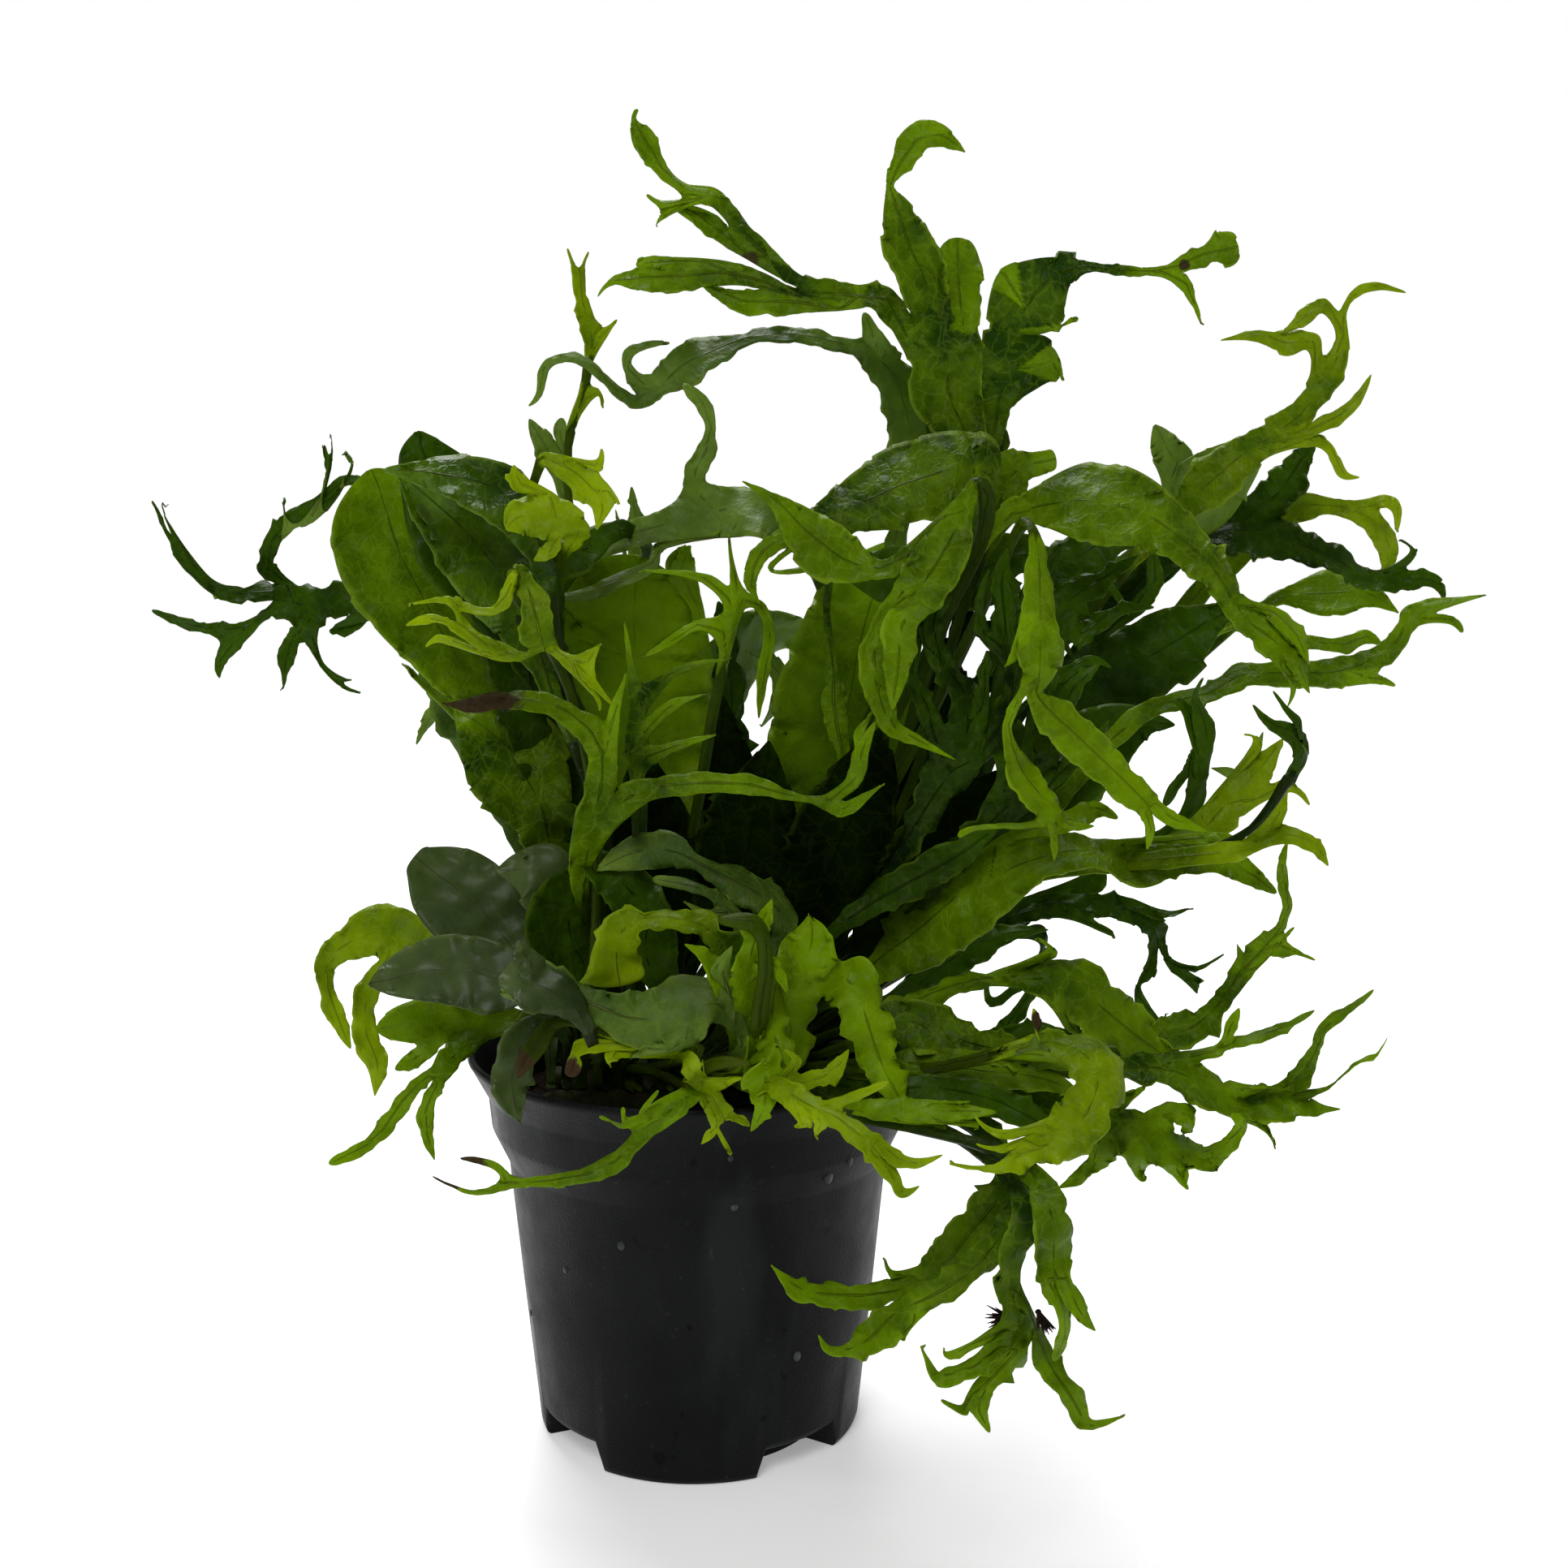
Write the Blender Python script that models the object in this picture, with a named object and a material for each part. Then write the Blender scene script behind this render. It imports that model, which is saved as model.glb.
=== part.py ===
# A crested java fern growing out of a round black nursery pot.
#
# The fronds are drawn the way an eye 345 mm in front of the pot sees them. A point of a frond is
# (across, up, near): its place in the upright plane through the pot's axis, and how far it then
# comes towards the eye along the line of sight. A negative near lies behind that plane.
# A row of a frond is (across, up, near, half width), all in millimetres.

import bpy
import bmesh
from math import cos, sin, radians
from mathutils import Matrix, Vector

MM = 0.001

# The eye that the fronds are drawn from
EYE_ACROSS = 17.0
EYE_UP = 171.0
EYE_AWAY = 345.0

# Driving sizes of the pot
LIP_RADIUS = 45.0
LIP_TOP = 76.0
LIP_HEIGHT = 8.0
BAND_RADIUS = 41.2
SHOULDER_TOP = 61.0
SHOULDER_BOTTOM = 55.0
NECK_RADIUS = 37.4
FOOT_RADIUS = 32.0
WALL = 1.0
FLOOR = 1.2
BASE_RADIUS = 24.5
NOTCH_HEIGHT = 5.5
FEET = 4
FOOT_ANGLES = (-27.0, -13.5, 0.0, 13.5, 27.0)
NOTCH_ANGLES = (29.0, 45.0, 61.0)
FOOT_TURN = -95.0

# Growing medium, rhizomes and leaf thickness
GAP = 0.3
SOIL_TOP = 65.5
RHIZOME_TOP = 71.5
RHIZOME_HALF_LENGTH = 29.5
RHIZOME_SPACING = 17.0
STALK_STEP = 3.0
STALKS = 19
STALK_HALF_WIDTH = 0.9
STALK_RISE = 4.0
LEAF_THICKNESS = 0.7


def clear_scene():
    for old in list(bpy.data.objects):
        bpy.data.objects.remove(old, do_unlink=True)


def plain_material(name, color, roughness):
    material = bpy.data.materials.new(name)
    material.use_nodes = True
    shader = material.node_tree.nodes["Principled BSDF"]
    shader.inputs["Base Color"].default_value = (*color, 1.0)
    shader.inputs["Roughness"].default_value = roughness
    shader.inputs["Metallic"].default_value = 0.0
    return material


def add_object(name, bm, material):
    mesh = bpy.data.meshes.new(name)
    bm.to_mesh(mesh)
    bm.free()
    mesh.materials.append(material)
    piece = bpy.data.objects.new(name, mesh)
    bpy.context.collection.objects.link(piece)
    return piece


# Pot: one moulded wall, turned round its axis, with four feet and a notch between each two

def foot_and_notch_angles():
    """Every angle round the pot, each with True where a notch lifts the outer edge of the base."""
    angles = []
    for quarter in range(FEET):
        start = FOOT_TURN + quarter * 360.0 / FEET
        angles += [(start + turn, False) for turn in FOOT_ANGLES]
        angles += [(start + turn, True) for turn in NOTCH_ANGLES]
    return angles


def pot_profile(notched):
    """(radius, height) down the inside of the pot, across its base and up the outside."""
    lift = NOTCH_HEIGHT if notched else 0.0
    edge = FOOT_RADIUS + lift * (NECK_RADIUS - FOOT_RADIUS) / SHOULDER_BOTTOM
    return [
        (LIP_RADIUS - WALL, LIP_TOP),
        (BAND_RADIUS - WALL, LIP_TOP - LIP_HEIGHT),
        (BAND_RADIUS - 0.6 - WALL, SHOULDER_TOP + WALL),
        (NECK_RADIUS - WALL, SHOULDER_BOTTOM),
        (edge - WALL, FLOOR + lift),
        (BASE_RADIUS - WALL, FLOOR + lift),
        (BASE_RADIUS - WALL - 0.4, FLOOR),
        (BASE_RADIUS - 0.4, 0.0),
        (BASE_RADIUS, lift),
        (edge - 1.2, lift),
        (edge, lift + 1.2),
        (NECK_RADIUS, SHOULDER_BOTTOM),
        (BAND_RADIUS - 0.6, SHOULDER_TOP),
        (BAND_RADIUS, LIP_TOP - LIP_HEIGHT),
        (LIP_RADIUS - 0.4, LIP_TOP - 1.6),
        (LIP_RADIUS, LIP_TOP - 0.8),
    ]


def make_pot(material):
    bm = bmesh.new()
    rings = []
    for angle, notched in foot_and_notch_angles():
        turn = radians(angle)
        rings.append([bm.verts.new((r * cos(turn) * MM, r * sin(turn) * MM, z * MM))
                      for r, z in pot_profile(notched)])
    count = len(rings[0])
    inner_floor, outer_floor = 6, 7
    for here, there in zip(rings, rings[1:] + rings[:1]):
        for k in range(count):
            if k != inner_floor:
                after = (k + 1) % count
                bm.faces.new((here[k], here[after], there[after], there[k]))
    bm.faces.new([ring[inner_floor] for ring in rings])
    bm.faces.new([ring[outer_floor] for ring in reversed(rings)])
    bmesh.ops.recalc_face_normals(bm, faces=bm.faces)
    bmesh.ops.triangulate(bm, faces=[f for f in bm.faces if len(f.verts) == 4])
    return add_object("pot", bm, material)


def make_growing_medium(material):
    """The block of growing medium, which stands on the four raised notches inside the pot."""
    turns = [radians(angle) for angle, notched in foot_and_notch_angles()]
    inner = WALL + GAP
    low = FLOOR + NOTCH_HEIGHT + GAP
    taper = (NECK_RADIUS - FOOT_RADIUS) / SHOULDER_BOTTOM
    profile = [
        (FOOT_RADIUS + (low - FLOOR) * taper - inner, low),
        (NECK_RADIUS - inner, SHOULDER_BOTTOM),
        (BAND_RADIUS - 0.6 - inner, SHOULDER_TOP + WALL + 0.4),
        (BAND_RADIUS - 1.4 - inner, SOIL_TOP - 0.6),
        (BAND_RADIUS - 9.0, SOIL_TOP),
    ]
    bm = bmesh.new()
    rings = []
    for radius, height in profile:
        rings.append([bm.verts.new((radius * cos(turn) * MM, radius * sin(turn) * MM, height * MM))
                      for turn in turns])
    for lower, upper in zip(rings, rings[1:]):
        for k in range(len(turns)):
            after = (k + 1) % len(turns)
            bm.faces.new((lower[k], lower[after], upper[after], upper[k]))
    bm.faces.new(list(reversed(rings[0])))
    bm.faces.new(rings[-1])
    return add_object("growing_medium", bm, material)


# Rhizomes: three creeping stems on the medium, flat on top where the stalks stand

RHIZOME_ROWS = {"back": RHIZOME_SPACING, "middle": 0.0, "front": -RHIZOME_SPACING}


def make_rhizome(row, material):
    """A lumpy stem lying along X, with each joint of it a little thicker than the next."""
    across = RHIZOME_ROWS[row]
    bottom = SOIL_TOP + GAP
    lumps = 9
    section = [(-1.9, 0.0), (1.9, 0.0), (3.4, 1.9), (3.0, 4.2),
               (1.5, 1.0), (-1.5, 1.0), (-3.0, 4.2), (-3.4, 1.9)]
    bm = bmesh.new()
    rings = []
    for k in range(lumps):
        along = -RHIZOME_HALF_LENGTH + 2.0 * RHIZOME_HALF_LENGTH * k / (lumps - 1)
        swell = 0.75 if k in (0, lumps - 1) else (1.1 if k % 2 else 0.92)
        ring = []
        for index, (side, height) in enumerate(section):
            top = index in (4, 5)
            z = RHIZOME_TOP if top else bottom + height
            ring.append(bm.verts.new((along * MM, (across + side * swell) * MM, z * MM)))
        rings.append(ring)
    for here, there in zip(rings, rings[1:]):
        for k in range(len(section)):
            after = (k + 1) % len(section)
            bm.faces.new((here[k], there[k], there[after], here[after]))
    bm.faces.new(list(rings[0]))
    bm.faces.new(list(reversed(rings[-1])))
    bmesh.ops.recalc_face_normals(bm, faces=bm.faces)
    return add_object("rhizome_" + row, bm, material)


# Fronds: strips that carry on through their rows, with fingers growing out of their margins

def seen(across, up, near, turn=0.0):
    """The place of a point that is picked as the eye sees it and then brought nearer the eye.

    A turn of 180 degrees draws a frond as an eye behind the pot sees it.
    """
    share = near / EYE_AWAY
    place = Vector((across + (EYE_ACROSS - across) * share, -near, up + (EYE_UP - up) * share))
    return Matrix.Rotation(radians(turn), 3, "Z") @ place * MM


def stalk_start(row, place, height, turn=0.0):
    """A point of a stalk that stands on its rhizome, as the eye sees it."""
    foot = Vector(((place - (STALKS - 1) / 2) * STALK_STEP, RHIZOME_ROWS[row], RHIZOME_TOP + height))
    foot = Matrix.Rotation(radians(-turn), 3, "Z") @ foot
    share = -foot.y / EYE_AWAY
    return (foot.x - EYE_ACROSS * share) / (1.0 - share), (foot.z - EYE_UP * share) / (1.0 - share), -foot.y


def finger(side, after, rows, *fingers):
    """A finger on the left or right margin, between the row numbered after and the next one."""
    return {"side": side, "after": after, "rows": rows, "fingers": fingers}


def fork(rows, *fingers):
    """One of the two fingers that the end of a strip splits into, the left one first."""
    return {"side": "end", "rows": rows, "fingers": fingers}


class Strip:
    """Builds one frond's sheet, row by row, and remembers each vertex as the eye sees it."""

    def __init__(self, tilt, turn):
        self.bm = bmesh.new()
        self.tilt = tilt
        self.turn = turn
        self.drawn = {}

    def corner(self, centre, offset):
        lean = -self.tilt[0] * offset[0] - self.tilt[1] * offset[1]
        point = (centre[0] + offset[0], centre[1] + offset[1], centre[2] + lean)
        vert = self.bm.verts.new(seen(*point, self.turn))
        self.drawn[vert] = point
        return vert

    def middle(self, first, second):
        point = [(p + q) / 2 for p, q in zip(self.drawn[first], self.drawn[second])]
        vert = self.bm.verts.new(seen(*point, self.turn))
        self.drawn[vert] = tuple(point)
        return vert

    def carry_on(self, left, right, rows, fingers):
        """Carry a strip on from an edge, then grow its fingers from the margins it has."""
        start = [(p + q) / 2 for p, q in zip(self.drawn[left], self.drawn[right])]
        path = [start[:2]] + [row[:2] for row in rows]
        edges = [(left, right)]
        for k, (across, up, near, half) in enumerate(rows):
            back = Vector(path[k + 1]) - Vector(path[k])
            ahead = Vector(path[k + 2]) - Vector(path[k + 1]) if k + 2 < len(path) else back
            way = (back.normalized() + ahead.normalized()).normalized()
            offset = (-way.y * half, way.x * half)
            edges.append((self.corner((across, up, near), offset),
                          self.corner((across, up, near), (-offset[0], -offset[1]))))
        ends = [f for f in fingers if f["side"] == "end"]
        split = self.middle(*edges[-1]) if ends else None
        for k, (here, there) in enumerate(zip(edges, edges[1:])):
            face = [here[0], here[1], there[1], there[0]]
            if split and k == len(edges) - 2:
                face.insert(3, split)
            self.bm.faces.new(face)
        for f in fingers:
            if f["side"] == "end":
                continue
            margin = 0 if f["side"] == "left" else 1
            low, high = edges[f["after"]][margin], edges[f["after"] + 1][margin]
            pair = (low, high) if margin == 0 else (high, low)
            self.carry_on(*pair, f["rows"], f["fingers"])
        if split:
            self.carry_on(edges[-1][0], split, ends[0]["rows"], ends[0]["fingers"])
            self.carry_on(split, edges[-1][1], ends[1]["rows"], ends[1]["fingers"])


def make_frond(name, stands, tilt, rows, *fingers, turn=0.0):
    """A frond on its rhizome. The rows given follow row 0, the top of the stalk's upright start."""
    strip = Strip(tilt, turn)
    corners = []
    for height in (GAP, STALK_RISE):
        start = stalk_start(*stands, height, turn)
        corners.append(strip.corner(start, (-STALK_HALF_WIDTH, 0.0)))
        corners.append(strip.corner(start, (STALK_HALF_WIDTH, 0.0)))
    strip.bm.faces.new((corners[0], corners[1], corners[3], corners[2]))
    strip.carry_on(corners[2], corners[3], rows, fingers)
    bmesh.ops.triangulate(strip.bm, faces=strip.bm.faces)
    piece = add_object("frond_" + name, strip.bm, LEAF)
    shell = piece.modifiers.new("leaf thickness", "SOLIDIFY")
    shell.thickness = LEAF_THICKNESS * MM
    shell.offset = 0.0
    return piece


# Upper fronds, which reach above the rest

def make_upper_fronds():
    make_frond(
        "crown", ("back", 9), (0.3, 0.3),
        [(30, 110, -16, 0.9), (44, 150, -18, 1.0), (53, 180, -20, 1.3), (56, 193, -20, 2.5),
         (55.5, 199, -20, 9.5), (54.5, 206, -20, 12.5), (54, 212, -20, 10), (53, 217.5, -20, 7)],
        finger("left", 7, [(38, 218.8, -20, 2.6), (31, 219.6, -20, 2.1), (25, 220.3, -19, 3),
                           (20, 221, -19, 2.4)],
               finger("left", 2, [(18, 218.8, -18, 2.3), (9, 218.9, -18, 2), (1.5, 222, -18, 0.3)]),
               fork([(13, 222.5, -19, 1.4), (6.5, 224, -19, 2.1), (-2, 223, -18, 2.4),
                     (-9, 222.7, -18, 1.9), (-15, 222.6, -18, 0.6), (-17.7, 220.2, -18, 0.2)]),
               fork([(14.5, 226.2, -21, 1.5), (8.2, 232.6, -22, 1.7), (3.6, 237.9, -22, 1.6),
                     (-1.5, 239, -22, 1.2), (-6, 243, -22, 1.3), (-9.2, 248.3, -22, 2.1),
                     (-10.6, 252.8, -22, 0.3)],
                    finger("left", 1, [(5, 231.5, -24, 1.6), (1, 234.3, -24, 1.5),
                                       (-3.5, 236.3, -24, 0.4)]))),
        finger("right", 7, [(64.5, 220, -21, 4.6), (70, 224.3, -21, 2.4), (74.5, 225.2, -21, 0.7),
                            (80, 224.5, -21, 0.9), (86.5, 224.3, -21, 0.8), (92, 226, -21, 1.2),
                            (97.5, 228.2, -21, 2.6), (101.3, 228.7, -21, 2.7), (102.6, 230, -21, 0.8)],
               finger("right", 5, [(92.5, 221.8, -21, 1.2), (95.2, 215.7, -21, 0.2)])),
        fork([(44, 223, -19, 3.8), (39.7, 229.4, -19, 4.4), (37.5, 236, -19, 2.2),
              (36.8, 239.8, -19, 0.6), (38.4, 243.5, -18, 1.9), (41.5, 248, -17, 2.6),
              (46, 248.9, -16, 2.2), (50.1, 246.4, -16, 0.3)]),
        fork([(50.5, 225, -24, 3.8), (48.8, 231, -25, 3.6)]),
    )
    make_frond(
        "arch", ("back", 7), (0.2, 0.9),
        [(11, 105, -28, 0.9), (28, 150, -34, 1.0), (38, 175, -36, 2), (41, 190, -36, 4.6),
         (40, 198, -36, 3.8), (38, 204.3, -36, 3.8), (35, 208.3, -36, 3.3), (30.5, 210.4, -36, 1.9),
         (25, 211.7, -35, 1.4), (17, 212.8, -34, 1.4), (9.5, 211.9, -33, 1.3), (3, 209.3, -32, 3),
         (-2, 207, -31, 3.8), (-6.5, 203.6, -30, 2.6), (-11, 200.6, -29, 1.2), (-15, 202.6, -28, 1),
         (-19.5, 207, -27, 0.9), (-24.5, 208.6, -26, 0.9), (-28.2, 206.5, -26, 0.8),
         (-29.2, 202, -26, 0.7), (-31, 199.8, -26, 0.2)],
        finger("right", 7, [(32.4, 216, -36, 0.8)]),
        finger("right", 14, [(-12.4, 206.5, -30, 1), (-11.5, 210, -30, 1), (-5.8, 211.3, -30, 0.3)]),
    )
    make_frond(
        "left_arch", ("middle", 6), (0.2, 0.9),
        [(6, 110, -10, 0.9), (14, 150, -14, 0.9), (17.5, 170, -16, 1.3), (15.5, 176, -17, 2.2),
         (10, 179.5, -18, 4.4), (4, 180, -19, 4.6), (-2, 178.6, -20, 3.8), (-9, 176.3, -21, 2.5),
         (-17, 174, -22, 2.4), (-24, 172, -23, 3.4), (-30, 169.2, -24, 2.6), (-36, 166, -25, 0.4)],
        finger("right", 6, [(0.3, 187.3, -21, 2), (2.1, 191, -22, 1.9), (3.1, 195.5, -23, 1),
                            (1.4, 200, -25, 1.4), (-1.6, 203.2, -26, 0.6)]),
    )
    make_frond(
        "thin_upright", ("back", 3), (0.8, 0.2),
        [(-14, 115, -42, 0.7), (-22, 155, -46, 0.7), (-24, 180, -47, 0.7), (-24, 192, -47, 0.7),
         (-22.2, 198.3, -47, 0.9), (-20.4, 204, -47, 0.8), (-19.4, 209.5, -47, 1.2),
         (-19.4, 214, -47, 1.8), (-21.1, 219, -47, 1.3), (-21.6, 225, -47, 1.2)],
        finger("right", 7, [(-15, 214.9, -47, 0.3)]),
        finger("right", 5, [(-18.1, 202, -47, 0.6), (-17.4, 199.7, -47, 0.2)]),
        fork([(-23.4, 228, -47, 0.2)]),
        fork([(-19.8, 227.5, -47, 0.2)]),
    )


# Middle fronds, whose leaves meet where their crests cross at the upper middle

def make_hub_fronds():
    make_frond(
        "veined", ("middle", 7), (0.1, 0.7),
        [(18, 110, -3, 0.9), (38, 150, 2, 1.0), (51, 173, 6, 1.3), (51.5, 186, 8, 6.6),
         (45.5, 186, 9, 7.4), (39, 184.2, 9, 7.2), (33, 182, 9, 6.6), (27.5, 179.5, 9, 5.2),
         (22.5, 177.6, 9, 3), (17.5, 175.4, 9, 1.9), (13.2, 172.5, 9, 1.7), (11.2, 169, 9, 1.5),
         (10.6, 165.8, 9, 1), (12, 162.8, 9, 0.2)],
        finger("left", 8, [(25.6, 167, 8, 0.8), (25.4, 157, 8, 0.7), (26.7, 148, 8, 1.5),
                           (26.6, 143.5, 8, 2.5), (27.7, 137, 8, 1.8), (28.6, 131.5, 8, 1.3)],
               fork([(30.6, 128.2, 8, 0.2)]),
               fork([(26.1, 127, 8, 0.2)])),
    )
    make_frond(
        "hub", ("middle", 8), (0.2, 0.6),
        [(22, 108, 8, 0.9), (42, 148, 14, 1.0), (54, 172, 18, 1.3), (55.5, 183, 20, 1.5),
         (53.5, 184.5, 22, 1.6), (51, 180, 24, 2.3), (48.4, 173.5, 25, 3.8), (45.5, 168.4, 26, 4.6),
         (41.8, 163.6, 27, 4.2)],
        finger("right", 6, [(41.5, 171.8, 24, 1.9), (35.6, 169, 23, 1.5), (30, 169.9, 22, 4),
                            (25, 172.8, 22, 5.3), (20, 177, 21, 4), (15.5, 181.6, 21, 1.6),
                            (10, 185, 21, 0.2)]),
        fork([(39.8, 158.5, 28, 2.9), (39, 152, 28, 2.7), (38.4, 146.5, 28, 1.6),
              (38, 142.5, 28, 0.4)]),
        fork([(35.9, 158, 25, 1.6), (34.2, 152.5, 25, 2.3), (34.4, 147.5, 25, 2.3),
              (35.3, 142.8, 25, 2), (37.8, 138.8, 25, 1.7), (42, 136.3, 25, 1.1),
              (49, 132.8, 25, 0.2)]),
    )
    make_frond(
        "broad_right", ("middle", 10), (0.1, 0.8),
        [(30, 112, -6, 0.9), (44, 148, -4, 1.0), (54, 172, 0, 1.2), (60.5, 179.5, 2, 2.2),
         (66.5, 181, 4, 4), (74, 181.6, 6, 7.2), (81.5, 180.3, 7, 7.4), (88, 177.8, 8, 5.6),
         (94.5, 173, 9, 4.2), (100, 167.6, 10, 3.2), (103.6, 162, 11, 3.1), (107, 157.6, 12, 4.6),
         (112, 153.2, 13, 4.2), (116, 149.5, 14, 2.5), (118.1, 145.8, 14, 0.3)],
        finger("left", 11, [(111, 160.5, 11, 1.4), (115.5, 156, 12, 1.5), (117.8, 151.5, 13, 0.3)]),
        finger("right", 13, [(115.3, 146.8, 13, 0.6), (114.6, 143, 13, 0.2)]),
    )
    make_frond(
        "drooping_tip", ("middle", 9), (0.5, 0.4),
        [(26, 108, 2, 0.9), (46, 142, 10, 0.9), (58, 168, 19, 1.0), (62.5, 177.5, 24, 1.2),
         (64.8, 175, 28, 1.1), (65.6, 168, 31, 1.2), (65.9, 160, 33, 2.5), (66.3, 153.5, 34, 3.6),
         (65.9, 148, 34, 2.6), (65.6, 144.8, 34, 1.5), (68.5, 141.2, 34, 3.4), (72.8, 137.2, 34, 4),
         (78.2, 132.2, 34, 3.8), (83.6, 127.1, 34, 3.1), (88.1, 122.6, 34, 2.6)],
        finger("right", 7, [(61.8, 153, 34, 1.2), (60, 150.6, 34, 0.2)]),
        finger("right", 9, [(61.9, 143.2, 34, 0.9), (60.3, 139, 34, 0.9), (61, 134.5, 33, 1.3),
                            (62.9, 129.8, 32, 2.9), (65.5, 126.3, 32, 3.1), (68.2, 122.6, 32, 2.4),
                            (69.8, 119.8, 32, 1.9)],
               finger("right", 6, [(63, 119.2, 31, 0.6), (55, 118.9, 30, 0.5), (51.3, 117.4, 30, 0.6)]),
               fork([(73, 119.2, 32, 0.9), (76.8, 119.1, 32, 0.3)]),
               fork([(69.7, 116.2, 32, 0.8), (69.8, 112.8, 32, 0.2)])),
        fork([(92.2, 120.8, 34, 1.5), (98.5, 118.4, 34, 0.3)]),
        fork([(88.4, 118.8, 34, 0.9), (88, 115.2, 34, 0.3)]),
    )


# Right hand fronds, from the highest to the lowest

def make_right_fronds():
    make_frond(
        "right_top", ("back", 12), (0.4, 0.6),
        [(32, 112, -26, 0.9), (60, 142, -30, 1.1), (82, 168, -32, 1.8), (92.5, 179.5, -32, 2.8),
         (97, 184.3, -32, 4.4), (101.5, 188.2, -32, 4.4), (106.5, 192, -32, 3),
         (110.5, 194.8, -32, 2.8), (114.6, 197.8, -33, 2.6), (118.5, 203.2, -34, 2.7),
         (121, 208, -35, 2.5), (122.2, 212.5, -36, 1.1), (122, 216.8, -36, 0.8),
         (123.8, 219.8, -36, 0.8), (128, 221.6, -36, 0.7), (133, 220.7, -36, 0.2)],
        finger("left", 12, [(118.5, 218.2, -36, 1.5), (115, 215.9, -36, 1.4),
                            (111.2, 213.3, -36, 0.2)]),
        finger("left", 10, [(116.8, 211.3, -36, 1.7), (112, 211.1, -36, 2.2), (106.5, 212.5, -36, 1.1),
                            (100.3, 211.9, -36, 0.2)]),
        finger("right", 8, [(119.3, 196.3, -31, 1.6), (123, 198.2, -30, 1.2), (126, 201.6, -30, 0.9),
                            (127.7, 204.9, -30, 0.2)]),
        finger("right", 7, [(116.6, 193.2, -31, 1.2), (121, 191, -31, 0.9), (123.2, 187, -31, 0.8),
                            (126, 186.2, -31, 0.2)]),
    )
    make_frond(
        "right_folded", ("back", 11), (0.9, 0.2),
        [(28, 116, -34, 0.9), (54, 145, -40, 1.1), (76, 168, -44, 1.8), (87, 180, -45, 3.8),
         (90.5, 188, -45, 4.4), (90, 193.5, -45, 2.8), (87, 196, -45, 0.5)],
    )
    make_frond(
        "right_grey", ("back", 13), (0.1, 0.9),
        [(36, 110, -40, 0.9), (62, 140, -46, 1.2), (82, 163, -50, 2), (93, 173.5, -52, 4),
         (103, 176.6, -52, 5), (111, 174.8, -52, 4), (117.5, 172.7, -52, 2.9), (124, 169.8, -52, 2.3),
         (130, 166.7, -52, 2), (136, 167, -52, 2.2), (141, 166.7, -52, 1.4), (143.4, 164.2, -52, 0.5),
         (143.6, 162.3, -52, 0.2)],
        finger("left", 5, [(110.5, 182.5, -54, 3.9), (114.5, 188, -56, 3), (117.6, 192.6, -57, 0.4)]),
        finger("left", 9, [(137.4, 171.8, -52, 0.8), (135.2, 174.2, -52, 0.2)]),
    )
    make_frond(
        "right_yellow", ("back", 14), (0.3, 0.8),
        [(38, 104, -48, 0.9), (74, 138, -58, 1.2), (98, 166, -64, 2.4), (110, 178, -66, 3.4),
         (118, 181, -66, 2.2), (125, 180.2, -66, 1.7), (129.6, 177.6, -66, 2.2), (132.2, 173.5, -66, 2),
         (132.4, 169.5, -66, 1.2), (131.2, 167.4, -66, 0.3)],
        finger("left", 6, [(131, 181.7, -66, 1.2), (133.8, 180.3, -66, 0.9), (134, 176.4, -66, 0.3)]),
    )
    make_frond(
        "right_lens", ("back", 15), (0.1, 0.9),
        [(44, 102, -58, 0.9), (76, 132, -70, 1.1), (101, 156, -78, 1.1), (112.5, 163.4, -80, 1.5),
         (118, 164, -80, 3.8), (124, 164.3, -80, 4.1), (129.5, 163.9, -80, 2.4),
         (134.4, 161, -80, 0.3)],
    )
    make_frond(
        "right_dark", ("back", 16), (0.3, 0.7),
        [(42, 98, -36, 0.9), (58, 122, -40, 2), (70, 138, -42, 4.5), (79, 147.5, -43, 6.2),
         (87, 153, -44, 6), (94.5, 158, -44, 4.2), (100.5, 160.3, -44, 2.2), (106, 159.6, -44, 0.4)],
        finger("left", 4, [(84.5, 161.5, -40, 2), (88, 167, -38, 1.6), (87.5, 173, -38, 0.4)]),
    )
    make_frond(
        "right_long", ("back", 17), (0.1, 0.9),
        [(46, 94, -20, 0.9), (66, 118, -18, 1.3), (82, 137.5, -17, 2), (91, 143.2, -16, 1.7),
         (99, 145, -16, 1.8), (105, 148.3, -16, 2.3), (112, 148.8, -16, 2.3), (119, 148.8, -16, 2.8),
         (125.5, 149.3, -16, 2.9), (131, 151.8, -16, 2.3), (135.2, 155.2, -16, 2),
         (137.4, 159.6, -16, 2.2), (142, 161.9, -16, 1.3), (150.3, 163.7, -16, 0.2)],
        finger("right", 9, [(132, 147.7, -16, 0.8), (134.6, 146.7, -16, 0.3)]),
        finger("right", 12, [(145, 159.2, -16, 0.8), (147.3, 157.2, -16, 0.4)]),
    )
    make_frond(
        "dark_forks", ("middle", 13), (0.8, 0.3),
        [(46, 96, -2, 0.9), (72, 107, -1, 1.1), (91, 116, 0, 1.5), (96, 121.8, 0, 1.8),
         (97.4, 127, 0, 2), (98.2, 132, 0, 1.3), (98.7, 137, 0, 2), (97.4, 141, 0, 1.6),
         (96.5, 144.6, 0, 0.5), (97.6, 147.6, 0, 0.2)],
        finger("left", 6, [(96.3, 133.6, 0, 0.9), (95.4, 130.6, 0, 0.8), (93.6, 127.8, 0, 1),
                           (91.4, 123.8, 0, 0.7)]),
        finger("left", 7, [(95.2, 141, 0, 1), (93, 143.8, 0, 0.6)]),
    )
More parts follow.
